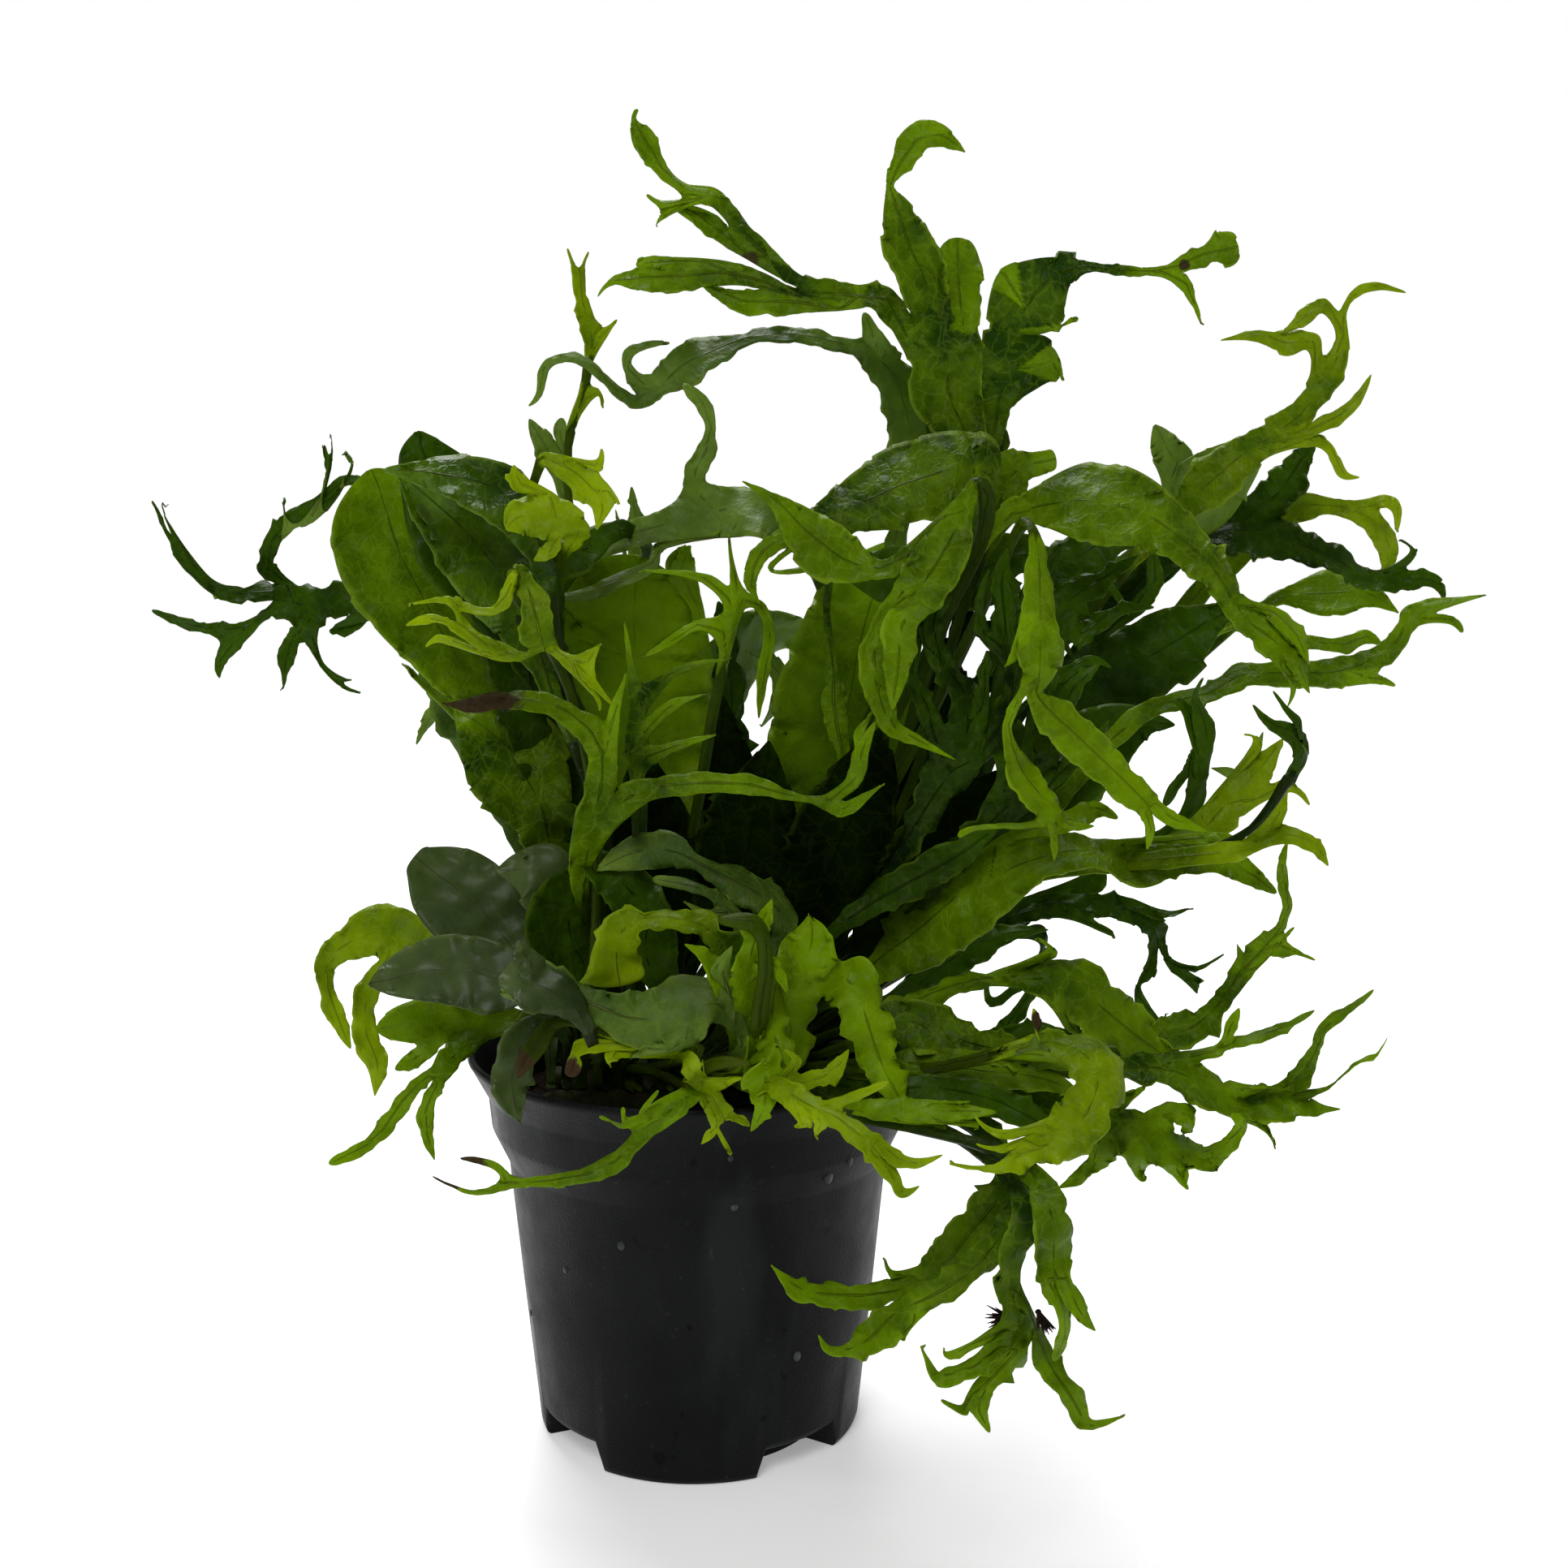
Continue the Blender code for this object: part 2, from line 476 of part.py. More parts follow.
    make_frond(
        "right_arch", ("middle", 12), (0.1, 0.9),
        [(26, 84, 6, 1.3), (34, 92, 10, 3.6), (44, 100, 13, 6.2), (52, 106, 15, 7), (59, 110, 16, 6.2),
         (66, 112.3, 17, 4.6), (73, 114, 18, 3.5), (80, 113, 18, 3), (87, 111.6, 18, 4.6),
         (95, 112.5, 18, 2.8), (103, 112, 18, 2.8), (108.5, 109.3, 18, 1.9), (112.8, 106.3, 18, 0.6)],
    )
    make_frond(
        "right_bunch", ("middle", 14), (0.2, 0.8),
        [(44, 91, 1, 0.9), (70, 103, 4, 1.3), (88, 110.5, 5, 1.6), (98, 118, 6, 3.2),
         (104, 123.8, 6, 3.7), (109, 129.4, 6, 3), (112, 133.8, 6, 1.4), (113.5, 136, 6, 0.3)],
        finger("left", 5, [(108.2, 133.8, 6, 1.1), (106.8, 137, 6, 0.3)]),
        finger("right", 6, [(115, 127, 6, 1.2), (118.8, 124, 6, 0.3)]),
    )
    make_frond(
        "right_claw", ("middle", 15), (0.2, 0.8),
        [(30, 82, 4, 0.9), (50, 89, 11, 0.9), (74, 98.5, 22, 1.2), (90, 107.6, 29, 1.6),
         (102, 113.8, 30, 2), (109, 116, 30, 2), (114.5, 117.5, 30, 1.8), (119, 116.2, 30, 1.6),
         (121.8, 113.8, 30, 1), (123.2, 111.6, 30, 0.2)],
        finger("left", 6, [(113.3, 121.5, 30, 1.4), (114.2, 125.3, 30, 0.8), (114.6, 128.6, 30, 0.2)]),
    )
    make_frond(
        "right_claw_dark", ("middle", 17), (0.8, 0.3),
        [(34, 82.5, 3, 0.9), (54, 87.5, 12, 0.9), (78, 96, 20, 1.0), (96, 109.5, 36, 1.1),
         (105, 118, 38, 1.1), (110.5, 123.2, 38, 0.9), (114, 127, 38, 0.9), (116, 130, 38, 1.1),
         (117.3, 133.2, 38, 1.4), (116, 136.5, 38, 1.6), (113, 138.3, 38, 1.4), (110.3, 139.8, 38, 0.9),
         (108, 142.4, 38, 0.2)],
        finger("right", 9, [(116.6, 138.6, 38, 0.6), (115, 141, 38, 0.7), (112, 144.8, 38, 0.2)]),
    )
    make_frond(
        "far_right_low", ("back", 18), (0.2, 0.8),
        [(38, 94, -44, 0.9), (52, 98, -58, 2.0), (62, 100.8, -66, 3), (70, 103.4, -68, 2.6),
         (78, 103.3, -69, 2.4), (84.5, 102.6, -70, 2.2), (89.6, 99.3, -71, 2.2), (90.6, 95, -72, 1.8)],
        finger("left", 6, [(91.5, 101.6, -70, 0.8), (95.6, 102.5, -70, 0.3)]),
        fork([(93, 92, -72, 0.9), (95.6, 89.8, -72, 1), (98.4, 86.2, -72, 0.3)],
             finger("left", 1, [(98.6, 90.9, -72, 0.5), (103, 93.3, -72, 0.2)])),
        fork([(89, 90.5, -72, 1.2), (87.2, 87.8, -72, 0.5), (87.2, 85, -72, 1), (88.6, 80.6, -72, 0.8),
              (92, 78.2, -72, 0.3)]),
    )


# Low right fronds, which lean out over the pot's rim

def make_low_right_fronds():
    make_frond(
        "low_bow", ("middle", 16), (0.1, 0.9),
        [(34, 80, 24, 1.2), (42, 83.5, 30, 1.8), (50, 86.8, 32, 1.7), (59, 88.6, 33, 1.1),
         (66, 88.4, 33, 2.8), (71, 87.8, 33, 4.5), (76, 85.6, 33, 5), (81, 81.5, 33, 4.7),
         (86, 77.3, 33, 4.1), (91, 73.6, 33, 3.1), (96.5, 70.4, 33, 1.6), (100, 68.8, 33, 0.3)],
    )
    make_frond(
        "low_rising", ("middle", 18), (0.3, 0.7),
        [(40, 74.5, 20, 1.0), (64, 75, 24, 1.6), (80, 75.3, 25, 2.8), (91, 76, 26, 3.8),
         (98.5, 79.3, 26, 3.4), (103.6, 84.2, 26, 2), (107.2, 90.2, 26, 2.1), (111, 94.8, 26, 2.1),
         (114.3, 99, 26, 1.1), (115.7, 103, 26, 0.9), (115, 107, 26, 1), (114.3, 111, 26, 0.9),
         (115, 115.3, 26, 0.3)],
        finger("right", 8, [(117.4, 94.2, 26, 0.7), (121, 92.7, 26, 0.2)]),
    )
    make_frond(
        "low_long", ("front", 18), (0.2, 0.8),
        [(38, 69, 32, 0.9), (60, 71, 40, 1.4), (80, 70.8, 43, 2.3), (91.5, 70.6, 44, 3),
         (98, 68.4, 45, 3.5), (104, 64.9, 45, 3.4), (110, 62.6, 45, 2.6), (116, 63, 45, 3.3),
         (121, 62.4, 45, 1.8), (126.6, 62.2, 45, 0.3)],
        finger("left", 4, [(102.5, 74, 44, 1.2), (107, 76, 44, 1.1), (114, 78, 44, 1.1),
                           (120.8, 81.7, 44, 0.4)],
               finger("left", 1, [(105.4, 79, 44, 1.2), (106.7, 82.3, 44, 0.4)])),
        finger("left", 7, [(118, 67.4, 46, 1.8), (120.8, 71.5, 46, 1.9), (122.7, 75.5, 46, 1.2),
                           (124, 79, 46, 1.1), (130.5, 84, 46, 0.7), (133.1, 86.3, 46, 0.2)]),
    )
    make_frond(
        "low_bright", ("front", 16), (0.4, 0.6),
        [(31, 69.2, 36, 0.9), (49, 71, 50, 1.1), (64, 74.5, 58, 1.2), (72, 75, 62, 1.6),
         (77.6, 71.8, 66, 3), (78.8, 66.5, 69, 4.4), (77, 61.5, 71, 5.4), (73, 57, 73, 4.6),
         (68, 54, 74, 3.4), (63.5, 52, 75, 2.2), (59, 49.8, 75, 1), (50.7, 50.9, 75, 0.2)],
        finger("right", 8, [(60.5, 57, 74, 0.9), (55.6, 60, 74, 0.2)]),
        finger("right", 9, [(60.5, 54, 75, 0.8), (56, 54.8, 75, 0.2)]),
    )
    make_frond(
        "low_crest", ("front", 17), (0.3, 0.7),
        [(36, 68, 34, 0.9), (54, 68, 42, 1.4), (68, 65, 46, 3), (78, 61, 50, 4.2), (86, 57.5, 50, 5.2),
         (93, 54.8, 50, 4.2), (99, 52, 50, 2.6), (104.5, 54, 50, 2), (108, 58.5, 50, 1.2),
         (106.4, 61, 50, 0.6)],
        finger("right", 5, [(88, 49.6, 50, 1.2), (89, 47.6, 50, 0.6)]),
        finger("right", 4, [(79, 50.6, 50, 2), (75.5, 47.8, 50, 1.2), (72.2, 46, 50, 0.2)]),
        finger("left", 5, [(96.5, 61, 49, 2), (98, 57.6, 49, 0.4)]),
        finger("right", 7, [(103.5, 49.6, 50, 0.3)]),
    )


# Trailing fronds, which hang down beside the pot's front right

def make_trailing_fronds():
    make_frond(
        "trailing_arm", ("front", 15), (0.2, 0.5),
        [(28, 67.5, 38, 0.9), (45, 65.5, 47, 1.0), (57.5, 59, 53, 1.5), (61.5, 50, 57, 2),
         (59, 42.5, 59, 4), (54, 36.5, 60, 4.6), (50, 31, 61, 4), (45, 27, 61, 3), (39, 24.3, 61, 2.6),
         (32, 23.2, 61, 2.6), (25, 23.3, 61, 2.5), (19.5, 25, 61, 1.8), (15, 29.2, 61, 0.2)],
        finger("right", 8, [(38.6, 28, 61, 0.8), (37.4, 30.6, 61, 0.2)]),
    )
    make_frond(
        "trailing_strap", ("front", 14), (0.2, 0.5),
        [(25, 66, 42, 0.9), (46, 62.5, 54, 1.0), (60, 54, 58, 1.3), (65.5, 45, 65, 2.4),
         (62, 38, 69, 3), (57, 31.5, 69, 2.8), (51, 26.3, 69, 3), (44, 21.8, 69, 3),
         (38.5, 18.5, 69, 3.6), (34.5, 14, 69, 3.6), (30, 11.8, 69, 1.6), (26, 12, 69, 0.8),
         (24.2, 14.6, 69, 0.2)],
        finger("left", 8, [(41.3, 15.6, 69, 0.8), (41.1, 14, 69, 0.4)]),
    )
    make_frond(
        "trailing_stem", ("front", 13), (0.3, 0.4),
        [(22, 65, 46, 0.9), (44, 60, 57, 1.0), (59, 51, 64, 1.4), (65, 42, 75, 2.6),
         (63.5, 33, 75, 2.8), (62.3, 25, 75, 2.6), (64, 18, 75, 3.2), (62.3, 12.5, 75, 4)],
        finger("left", 6, [(70, 10, 74, 2.2), (74, 4, 74, 2.2), (77, -1, 74, 2.1),
                           (79.6, -4.2, 74, 1.3), (85.5, -2.4, 74, 0.2)]),
        finger("right", 7, [(51.5, 11, 76, 1), (49.4, 12, 76, 0.2)]),
        fork([(58, 4.5, 75, 2.4), (56.7, -1, 75, 1.8), (58.5, -5, 75, 0.5)],
             finger("right", 1, [(53.6, -1, 76, 1.2), (49.6, 0.8, 76, 0.4)])),
        fork([(55.5, 8.2, 76, 2), (50, 6.3, 76, 2), (47.4, 6.6, 76, 1), (45, 12, 76, 0.2)]),
    )
    make_frond(
        "trailing_leaf", ("front", 12), (0.7, 0.3),
        [(18, 64.5, 48, 0.9), (42, 58.5, 60, 1.0), (59, 54, 67, 1.3), (67, 48.5, 76, 2.4),
         (70.4, 40.5, 83, 3.5), (71, 33.5, 83, 3.7), (71.6, 27, 83, 3.5)],
        fork([(76, 20.8, 83, 1.7), (79.4, 16.5, 83, 0.3)]),
        fork([(73, 20.8, 83, 1.3), (73.6, 15, 83, 1.1), (71.9, 10.3, 83, 0.7)]),
    )


# Front fronds, a tangle of bright young leaves over the rim

def make_front_fronds():
    make_frond(
        "hood", ("front", 11), (0.3, 0.4),
        [(14, 74, 32, 1.2), (19, 84, 36, 4.8), (24, 92.5, 37, 6.6), (23.2, 98.5, 37, 3.2),
         (22.6, 101.2, 37, 0.4)],
        finger("right", 2, [(31.5, 86, 41, 4.3), (35.3, 79.5, 46, 3.4), (37.3, 73, 51, 2.4),
                            (39.6, 67.5, 55, 1.6), (42, 61.2, 57, 0.3)]),
    )
    make_frond(
        "front_bright", ("front", 10), (0.3, 0.4),
        [(9, 67, 44, 1.2), (14, 67.5, 54, 2.2), (19, 64.6, 59, 2.8), (23.5, 62, 62, 2.4),
         (27.5, 60.4, 65, 2), (31, 57.4, 68, 2.2), (34.8, 54.6, 70, 2.5)],
        finger("right", 3, [(20.8, 59.2, 62, 1.2), (19.4, 58.6, 62, 0.3)]),
        finger("right", 4, [(23.4, 57, 62, 0.3)]),
        finger("left", 4, [(31.5, 65, 66, 1), (37, 67.4, 67, 0.5)]),
        fork([(39.5, 52, 71, 1.5), (43.5, 51, 72, 1.1), (48, 52.5, 72, 0.3)]),
        fork([(37.8, 49.4, 71, 1.5), (40.6, 45, 72, 1.2), (43.6, 46, 72, 0.3)]),
    )
    make_frond(
        "pale_front", ("front", 6), (0.1, 0.6),
        [(1, 71, 40, 1.4), (-1, 76.5, 43, 2.8), (-5, 79.6, 45, 5), (-11, 80.6, 46, 6),
         (-17, 82, 46, 5.2), (-23, 84.2, 46, 4.6), (-29, 87.4, 46, 6.2), (-34, 89.4, 46, 5),
         (-37.6, 87, 46, 1.2)],
        finger("left", 6, [(-28, 77.5, 48, 1.9), (-31.5, 74, 49, 1.8), (-34.2, 71.2, 49, 1.7),
                           (-35.8, 69, 49, 0.3)]),
        finger("left", 5, [(-22, 74.4, 50, 1.6), (-24.8, 71.4, 50, 1.4), (-25.3, 69.2, 50, 0.7)]),
        finger("left", 4, [(-15.6, 74, 50, 1.2), (-17.5, 71.2, 50, 0.3)]),
        finger("left", 2, [(-2.2, 71.5, 50, 2.1), (1, 67.3, 51, 1.9), (3.6, 62.8, 51, 2.2),
                           (5, 60, 51, 2.8)],
               fork([(8.6, 60.1, 51, 1), (9.9, 58.9, 51, 0.3)]),
               fork([(2.5, 57.4, 51, 1), (0.8, 55.3, 51, 0.2)])),
    )
    make_frond(
        "yellow_arc", ("front", 7), (0.2, 0.5),
        [(3, 76, 30, 1.0), (5.5, 88, 33, 1.2), (5.5, 94.5, 34, 2), (2, 98, 35, 3), (-3.5, 100, 36, 2.3),
         (-9, 100.6, 37, 2.2), (-13.8, 98.2, 37, 3.4), (-15.8, 93.4, 37, 4.5), (-15.5, 88.2, 37, 4.3)],
    )
    make_frond(
        "middle_leaf", ("front", 9), (0.2, 0.6),
        [(9, 80, 22, 1.4), (14.5, 91, 22, 2.2), (17.2, 97.5, 22, 2.6), (15.5, 102.5, 22, 3.2),
         (10.5, 106.2, 22, 3.6), (5, 109, 21, 2.6), (0, 112, 21, 1.6), (-5, 114.2, 21, 3.4),
         (-12, 113.8, 21, 3.4), (-19, 110.8, 21, 0.6)],
        finger("left", 1, [(9, 97, 25, 1.5), (7, 101.5, 26, 1.6), (3.8, 104.8, 26, 1.2),
                           (-0.5, 107, 26, 1), (-7.5, 108.5, 26, 0.9)],
               finger("left", 2, [(2.2, 101.6, 27, 0.9), (-2, 103.8, 27, 0.2)])),
    )
    make_frond(
        "rim_strap", ("front", 5), (0.1, 0.5),
        [(-1, 67, 42, 1.0), (-2.5, 64.5, 54, 2.4), (-7, 60.8, 57, 2.2), (-12, 56.5, 58, 2.2),
         (-16.5, 51.5, 58, 2.8), (-22.5, 48.6, 58, 2.2), (-29.5, 47.5, 58, 1.5), (-36, 47, 58, 1.1),
         (-40.5, 46, 58, 0.9), (-46, 45.1, 58, 0.4), (-52.3, 47.8, 58, 0.2)],
        finger("right", 3, [(-13.4, 60.4, 59, 1.2), (-18.8, 60.3, 59, 0.4)]),
        finger("right", 8, [(-39.6, 49.6, 58, 0.8), (-43, 51.4, 58, 0.7), (-47, 52, 58, 0.3)]),
    )
    make_frond(
        "rim_leaf", ("front", 1), (0.4, 0.4),
        [(-26, 77, 30, 1.4), (-32.5, 79, 38, 2.6), (-35.6, 74.5, 42, 3.3), (-37.2, 69, 43, 4),
         (-36.9, 64, 44, 3), (-35.8, 59.8, 44, 0.4)],
    )


# Left hand fronds, from the lowest to the highest

def make_left_fronds():
    make_frond(
        "round_dark", ("middle", 0), (0.4, 0.5),
        [(-33, 88, 2, 2), (-39, 98.5, 0, 6), (-45, 105, -1, 8.8), (-50.5, 109.4, -2, 7),
         (-54.5, 112, -3, 3.4), (-56.4, 113, -3, 0.5)],
    )
    make_frond(
        "wet_dark", ("front", 0), (0.2, 0.6),
        [(-30, 84, 20, 3), (-36, 87.6, 20, 6.2), (-44, 89.8, 19, 7.5), (-51.5, 90.4, 18, 6.6),
         (-58, 89.2, 17, 4.7), (-63, 88, 16, 2), (-64.8, 87.5, 16, 0.3)],
    )
    make_frond(
        "wet_low", ("middle", 1), (0.2, 0.6),
        [(-34, 80, 6, 2.2), (-42, 79.8, 6, 4), (-50, 80, 6, 4.4), (-57, 79.7, 6, 4),
         (-62.6, 78.6, 6, 1.6)],
        finger("left", 2, [(-49, 72.6, 16, 2.4), (-52.5, 68.4, 18, 2.4)],
               fork([(-54.3, 62, 18, 1.6), (-54.2, 57, 18, 1.3), (-53, 52.4, 18, 0.3)]),
               fork([(-58.5, 64.2, 18, 1.6), (-62.6, 58.2, 18, 1.6), (-66.5, 54.6, 18, 1.3),
                     (-72.8, 51.4, 18, 0.9)])),
        finger("left", 3, [(-55.6, 73, 6, 1.8), (-59.5, 70.6, 6, 0.7)]),
    )
    make_frond(
        "yellow_ruffle", ("back", 0), (0.3, 0.5),
        [(-40, 92, -30, 1.2), (-51, 96.6, -34, 2), (-58, 98.6, -35, 4.8), (-64, 97.6, -36, 5),
         (-70, 95, -37, 3), (-73.5, 91, -37, 2.2), (-73.2, 86.6, -37, 1.4), (-71.8, 82, -37, 2),
         (-69.3, 75.6, -37, 0.6)],
        finger("left", 3, [(-64, 88.4, -34, 2.3), (-66, 83, -33, 2.2), (-65.8, 77, -33, 2.6),
                           (-63.8, 71.6, -33, 2.3), (-64.2, 65.8, -33, 0.4)]),
    )
    make_frond(
        "low_left", ("middle", 2), (0.4, 0.4),
        [(-22, 98, 2, 2), (-26, 112, -2, 6.5), (-31, 121, -4, 9.5), (-36.5, 130, -6, 10.5),
         (-41, 138.4, -7, 7.6), (-44, 144, -8, 2.4)],
    )
    make_frond(
        "burnt", ("front", 3), (0.4, 0.4),
        [(-19, 92, 24, 1.6), (-22, 112, 25, 3.3), (-20, 120, 25, 3.6), (-18.5, 127, 26, 3.2),
         (-18.3, 133, 27, 3), (-20.6, 138, 28, 2.8), (-26, 141.8, 29, 2.2), (-32, 143.5, 30, 1.9),
         (-38, 143.7, 31, 1.7), (-43, 142.8, 31, 1.5), (-48.3, 143, 31, 0.2)],
        finger("right", 3, [(-13, 124.8, 26, 2.8), (-6, 127, 27, 2.1), (4.5, 127.6, 28, 2),
                            (11, 127.2, 29, 1.9), (17.5, 125.3, 30, 1), (24, 124.2, 31, 1),
                            (28.5, 122.4, 32, 1.6), (35.2, 126.6, 33, 0.2)],
               finger("left", 6, [(30.6, 128.4, 33, 1.4), (32, 133.5, 33, 1.5),
                                  (34.3, 138.8, 33, 0.4)])),
        finger("right", 5, [(-15.6, 142, 27, 1.1), (-13.8, 147.8, 27, 0.2)]),
    )
    make_frond(
        "pinnate", ("front", 4), (0.3, 0.4),
        [(-13, 88, 18, 0.9), (-11.5, 108, 17, 1.1), (-11.2, 124, 16, 1.6), (-11.4, 130, 16, 2.5),
         (-11.5, 135.5, 16, 2.7), (-11.4, 141, 16, 2.3), (-11.8, 147, 16, 1.6), (-13.4, 157, 16, 0.3)],
        finger("right", 4, [(-4, 134.8, 17, 1), (3, 136.8, 17, 0.2)]),
        finger("right", 5, [(-5, 142.5, 17, 1), (0.7, 144.6, 17, 0.2)]),
        finger("right", 6, [(-4.5, 149, 17, 1), (4.8, 151.4, 17, 0.2)]),
    )
    make_frond(
        "left_yellow", ("front", 2), (0.4, 0.4),
        [(-27, 100, 36, 0.9), (-34, 140, 38, 1.0), (-36, 161, 39, 1.5), (-33.6, 165, 41, 2),
         (-31.8, 160.2, 43, 2.5), (-30.5, 156, 44, 3), (-29.4, 152.6, 44, 3)],
        fork([(-24, 151.3, 44, 1.7), (-20.4, 148, 44, 1.2), (-16.8, 143.6, 44, 0.3)],
             finger("left", 1, [(-18.6, 154.2, 44, 0.3)])),
        fork([(-36, 152.6, 44, 1.5), (-41, 154.7, 44, 1.6), (-46, 158.8, 44, 1.6)],
             fork([(-50.7, 159.4, 44, 0.9), (-55, 158.4, 44, 0.3)]),
             fork([(-47.6, 163, 44, 0.8), (-54.5, 162.2, 44, 0.2)])),
    )
    make_frond(
        "broad_left", ("middle", 3), (0.5, 0.4),
        [(-30, 112, -16, 1.6), (-42, 134, -20, 4), (-49, 147, -22, 7), (-55.5, 158, -23, 10.4),
         (-60.5, 168, -24, 10.4), (-63, 176, -25, 8), (-64, 182, -25, 5), (-64.5, 186, -25, 1)],
    )
    make_frond(
        "hump_left", ("middle", 4), (0.4, 0.5),
        [(-19, 110, -14, 1.2), (-21, 140, -15, 2.4), (-28, 160, -12, 6), (-37, 173, -10, 8),
         (-46, 182, -11, 8), (-51.3, 189, -12, 5.6), (-52.6, 195, -12, 1)],
    )
    make_frond(
        "crinkled_left", ("middle", 5), (0.2, 0.8),
        [(-12, 116, 8, 1.1), (-15, 148, 10, 1.6), (-19, 166, 12, 3.4), (-25, 175.5, 13, 6.4),
         (-34, 181, 14, 6.4), (-44, 184, 15, 4.4), (-54, 186.6, 15, 1.8), (-62, 187.2, 15, 0.3)],
        finger("right", 4, [(-26.5, 187.6, 12, 1.9), (-22.4, 187.6, 12, 1.8), (-18.8, 183.8, 12, 2.3),
                            (-18, 178.2, 12, 0.3)]),
    )
    make_frond(
        "far_left", ("back", 1), (0.2, 0.7),
        [(-34, 112, -56, 0.9), (-52, 144, -64, 1.0), (-62, 158.5, -66, 1.3), (-67, 161.2, -67, 1.8),
         (-72, 161.4, -68, 3), (-77, 161.9, -69, 3.6), (-81, 163, -70, 3.2)],
        finger("right", 6, [(-82.2, 169, -70, 1.9), (-80.6, 174.4, -70, 1.5), (-76.5, 178.9, -70, 1.6),
                            (-71.6, 181, -70, 1.6), (-67, 185.6, -70, 0.5)]),
        finger("left", 5, [(-77.4, 155.6, -68, 1.8), (-79, 151, -68, 1.2), (-79.6, 146.6, -68, 0.2)]),
        fork([(-85.5, 158, -70, 1.3), (-91.5, 157, -70, 1.7), (-97, 158.2, -70, 0.9),
              (-103.4, 160.6, -70, 0.5)],
             finger("left", 1, [(-91.6, 151.4, -70, 1.3), (-92, 148.4, -70, 0.3)])),
        fork([(-88, 164, -70, 1.9), (-94.2, 167, -70, 1.2), (-99.3, 172, -70, 0.4),
              (-102.3, 179.4, -70, 0.3)]),
    )


# Inner and rear fronds, which the leaves in front half hide

def make_rear_fronds():
    make_frond(
        "centre_pale", ("back", 4), (0.5, 0.3),
        [(-10, 108, -24, 2.4), (-11, 126, -27, 9), (-11, 138, -29, 14), (-10.5, 150, -30, 15),
         (-9.5, 160, -31, 11), (-8, 168, -32, 6), (-7, 172, -32, 0.8)],
    )
    make_frond(
        "centre_dark", ("back", 8), (0.4, 0.3),
        [(15, 104, -36, 2), (21, 124, -44, 6), (25.5, 138, -46, 8), (26.5, 150, -47, 7.4),
         (26, 160, -48, 4), (25, 166, -48, 0.8)],
    )
    make_frond(
        "centre_forks", ("back", 5), (0.5, 0.3),
        [(-2, 112, -10, 0.9), (3, 140, 0, 1.0), (5.6, 153, 2, 1.1), (7.2, 160.6, 2, 1.8),
         (7.6, 166, 2, 1.1), (6.6, 173.8, 2, 0.2)],
        finger("left", 3, [(0.5, 158.2, 3, 1), (-4.5, 155.2, 3, 0.9), (-9.7, 152.3, 3, 0.2)]),
        finger("right", 4, [(12.4, 161.8, 1, 1), (14.1, 156.5, 1, 1), (13, 149, 1, 1.1),
                            (12.2, 141.4, 1, 0.3)]),
        finger("left", 4, [(1.5, 167.2, 2, 0.9), (-9.3, 168.5, 2, 0.2)]),
    )
    make_frond(
        "rear_left", ("back", 2), (0.3, 0.7),
        [(23, 96, 34, 1.2), (31, 118, 46, 3.2), (37, 128, 54, 6.4), (46, 133, 62, 7.6),
         (56, 131, 70, 6.2), (64, 123, 76, 5), (69, 114, 80, 3.2), (72, 106, 82, 0.6)],
        finger("right", 3, [(45, 119, 66, 3.2), (47, 110, 70, 2.6), (45, 103, 72, 1.4),
                            (41, 99, 72, 0.3)]),
        finger("left", 5, [(76, 126, 76, 2.4), (82, 122, 78, 1.6), (86, 115, 79, 0.4)]),
        turn=180.0,
    )
    make_frond(
        "rear_middle", ("back", 6), (0.3, 0.7),
        [(0, 100, 36, 1.2), (-2, 122, 46, 4.2), (-6, 136, 54, 8.4), (-13, 146, 60, 9),
         (-22, 150, 66, 6.8), (-31, 148, 72, 4.6), (-38, 141, 76, 3), (-42, 132, 78, 0.6)],
        finger("right", 2, [(4, 147, 60, 4), (12, 152, 64, 3.4), (20, 150, 68, 2.4),
                            (25, 143, 70, 0.5)]),
        finger("left", 4, [(-24, 138, 70, 2.6), (-24, 129, 72, 2), (-20, 122, 73, 0.4)]),
        turn=180.0,
    )
    make_frond(
        "rear_right", ("back", 10), (0.3, 0.7),
        [(-30, 92, 40, 1.2), (-40, 106, 52, 3.4), (-49, 114, 60, 6.4), (-59, 118, 66, 6.6),
         (-69, 116, 72, 5), (-77, 109, 76, 3.4), (-82, 100, 78, 2), (-84, 92, 79, 0.4)],
        finger("left", 3, [(-56, 105, 72, 3), (-55, 96, 75, 2.4), (-50, 90, 76, 0.4)]),
        turn=180.0,
    )


clear_scene()
PLASTIC = plain_material("black_plastic", (0.018, 0.019, 0.021), 0.42)
MEDIUM = plain_material("growing_medium", (0.035, 0.022, 0.013), 0.95)
RHIZOME = plain_material("rhizome", (0.05, 0.055, 0.02), 0.7)
LEAF = plain_material("leaf", (0.07, 0.16, 0.015), 0.38)
make_pot(PLASTIC)
make_growing_medium(MEDIUM)
for name in RHIZOME_ROWS:
    make_rhizome(name, RHIZOME)
make_upper_fronds()
make_hub_fronds()
make_right_fronds()
make_low_right_fronds()
make_trailing_fronds()
make_front_fronds()
make_left_fronds()
make_rear_fronds()
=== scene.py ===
# %% [markdown]
# A crested java fern in its nursery pot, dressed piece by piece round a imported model.
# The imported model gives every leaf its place. Here each one becomes a real leaf, with veins, ruffled
# margins and a thickness that runs from a round stalk to a thin edge. One look from the side and one
# from above should hold up as well as the view from the camera.

# %% Load the frame
from math import cos, pi, radians, sin

import bmesh
import bpy
import numpy as np
from mathutils import Matrix, Vector


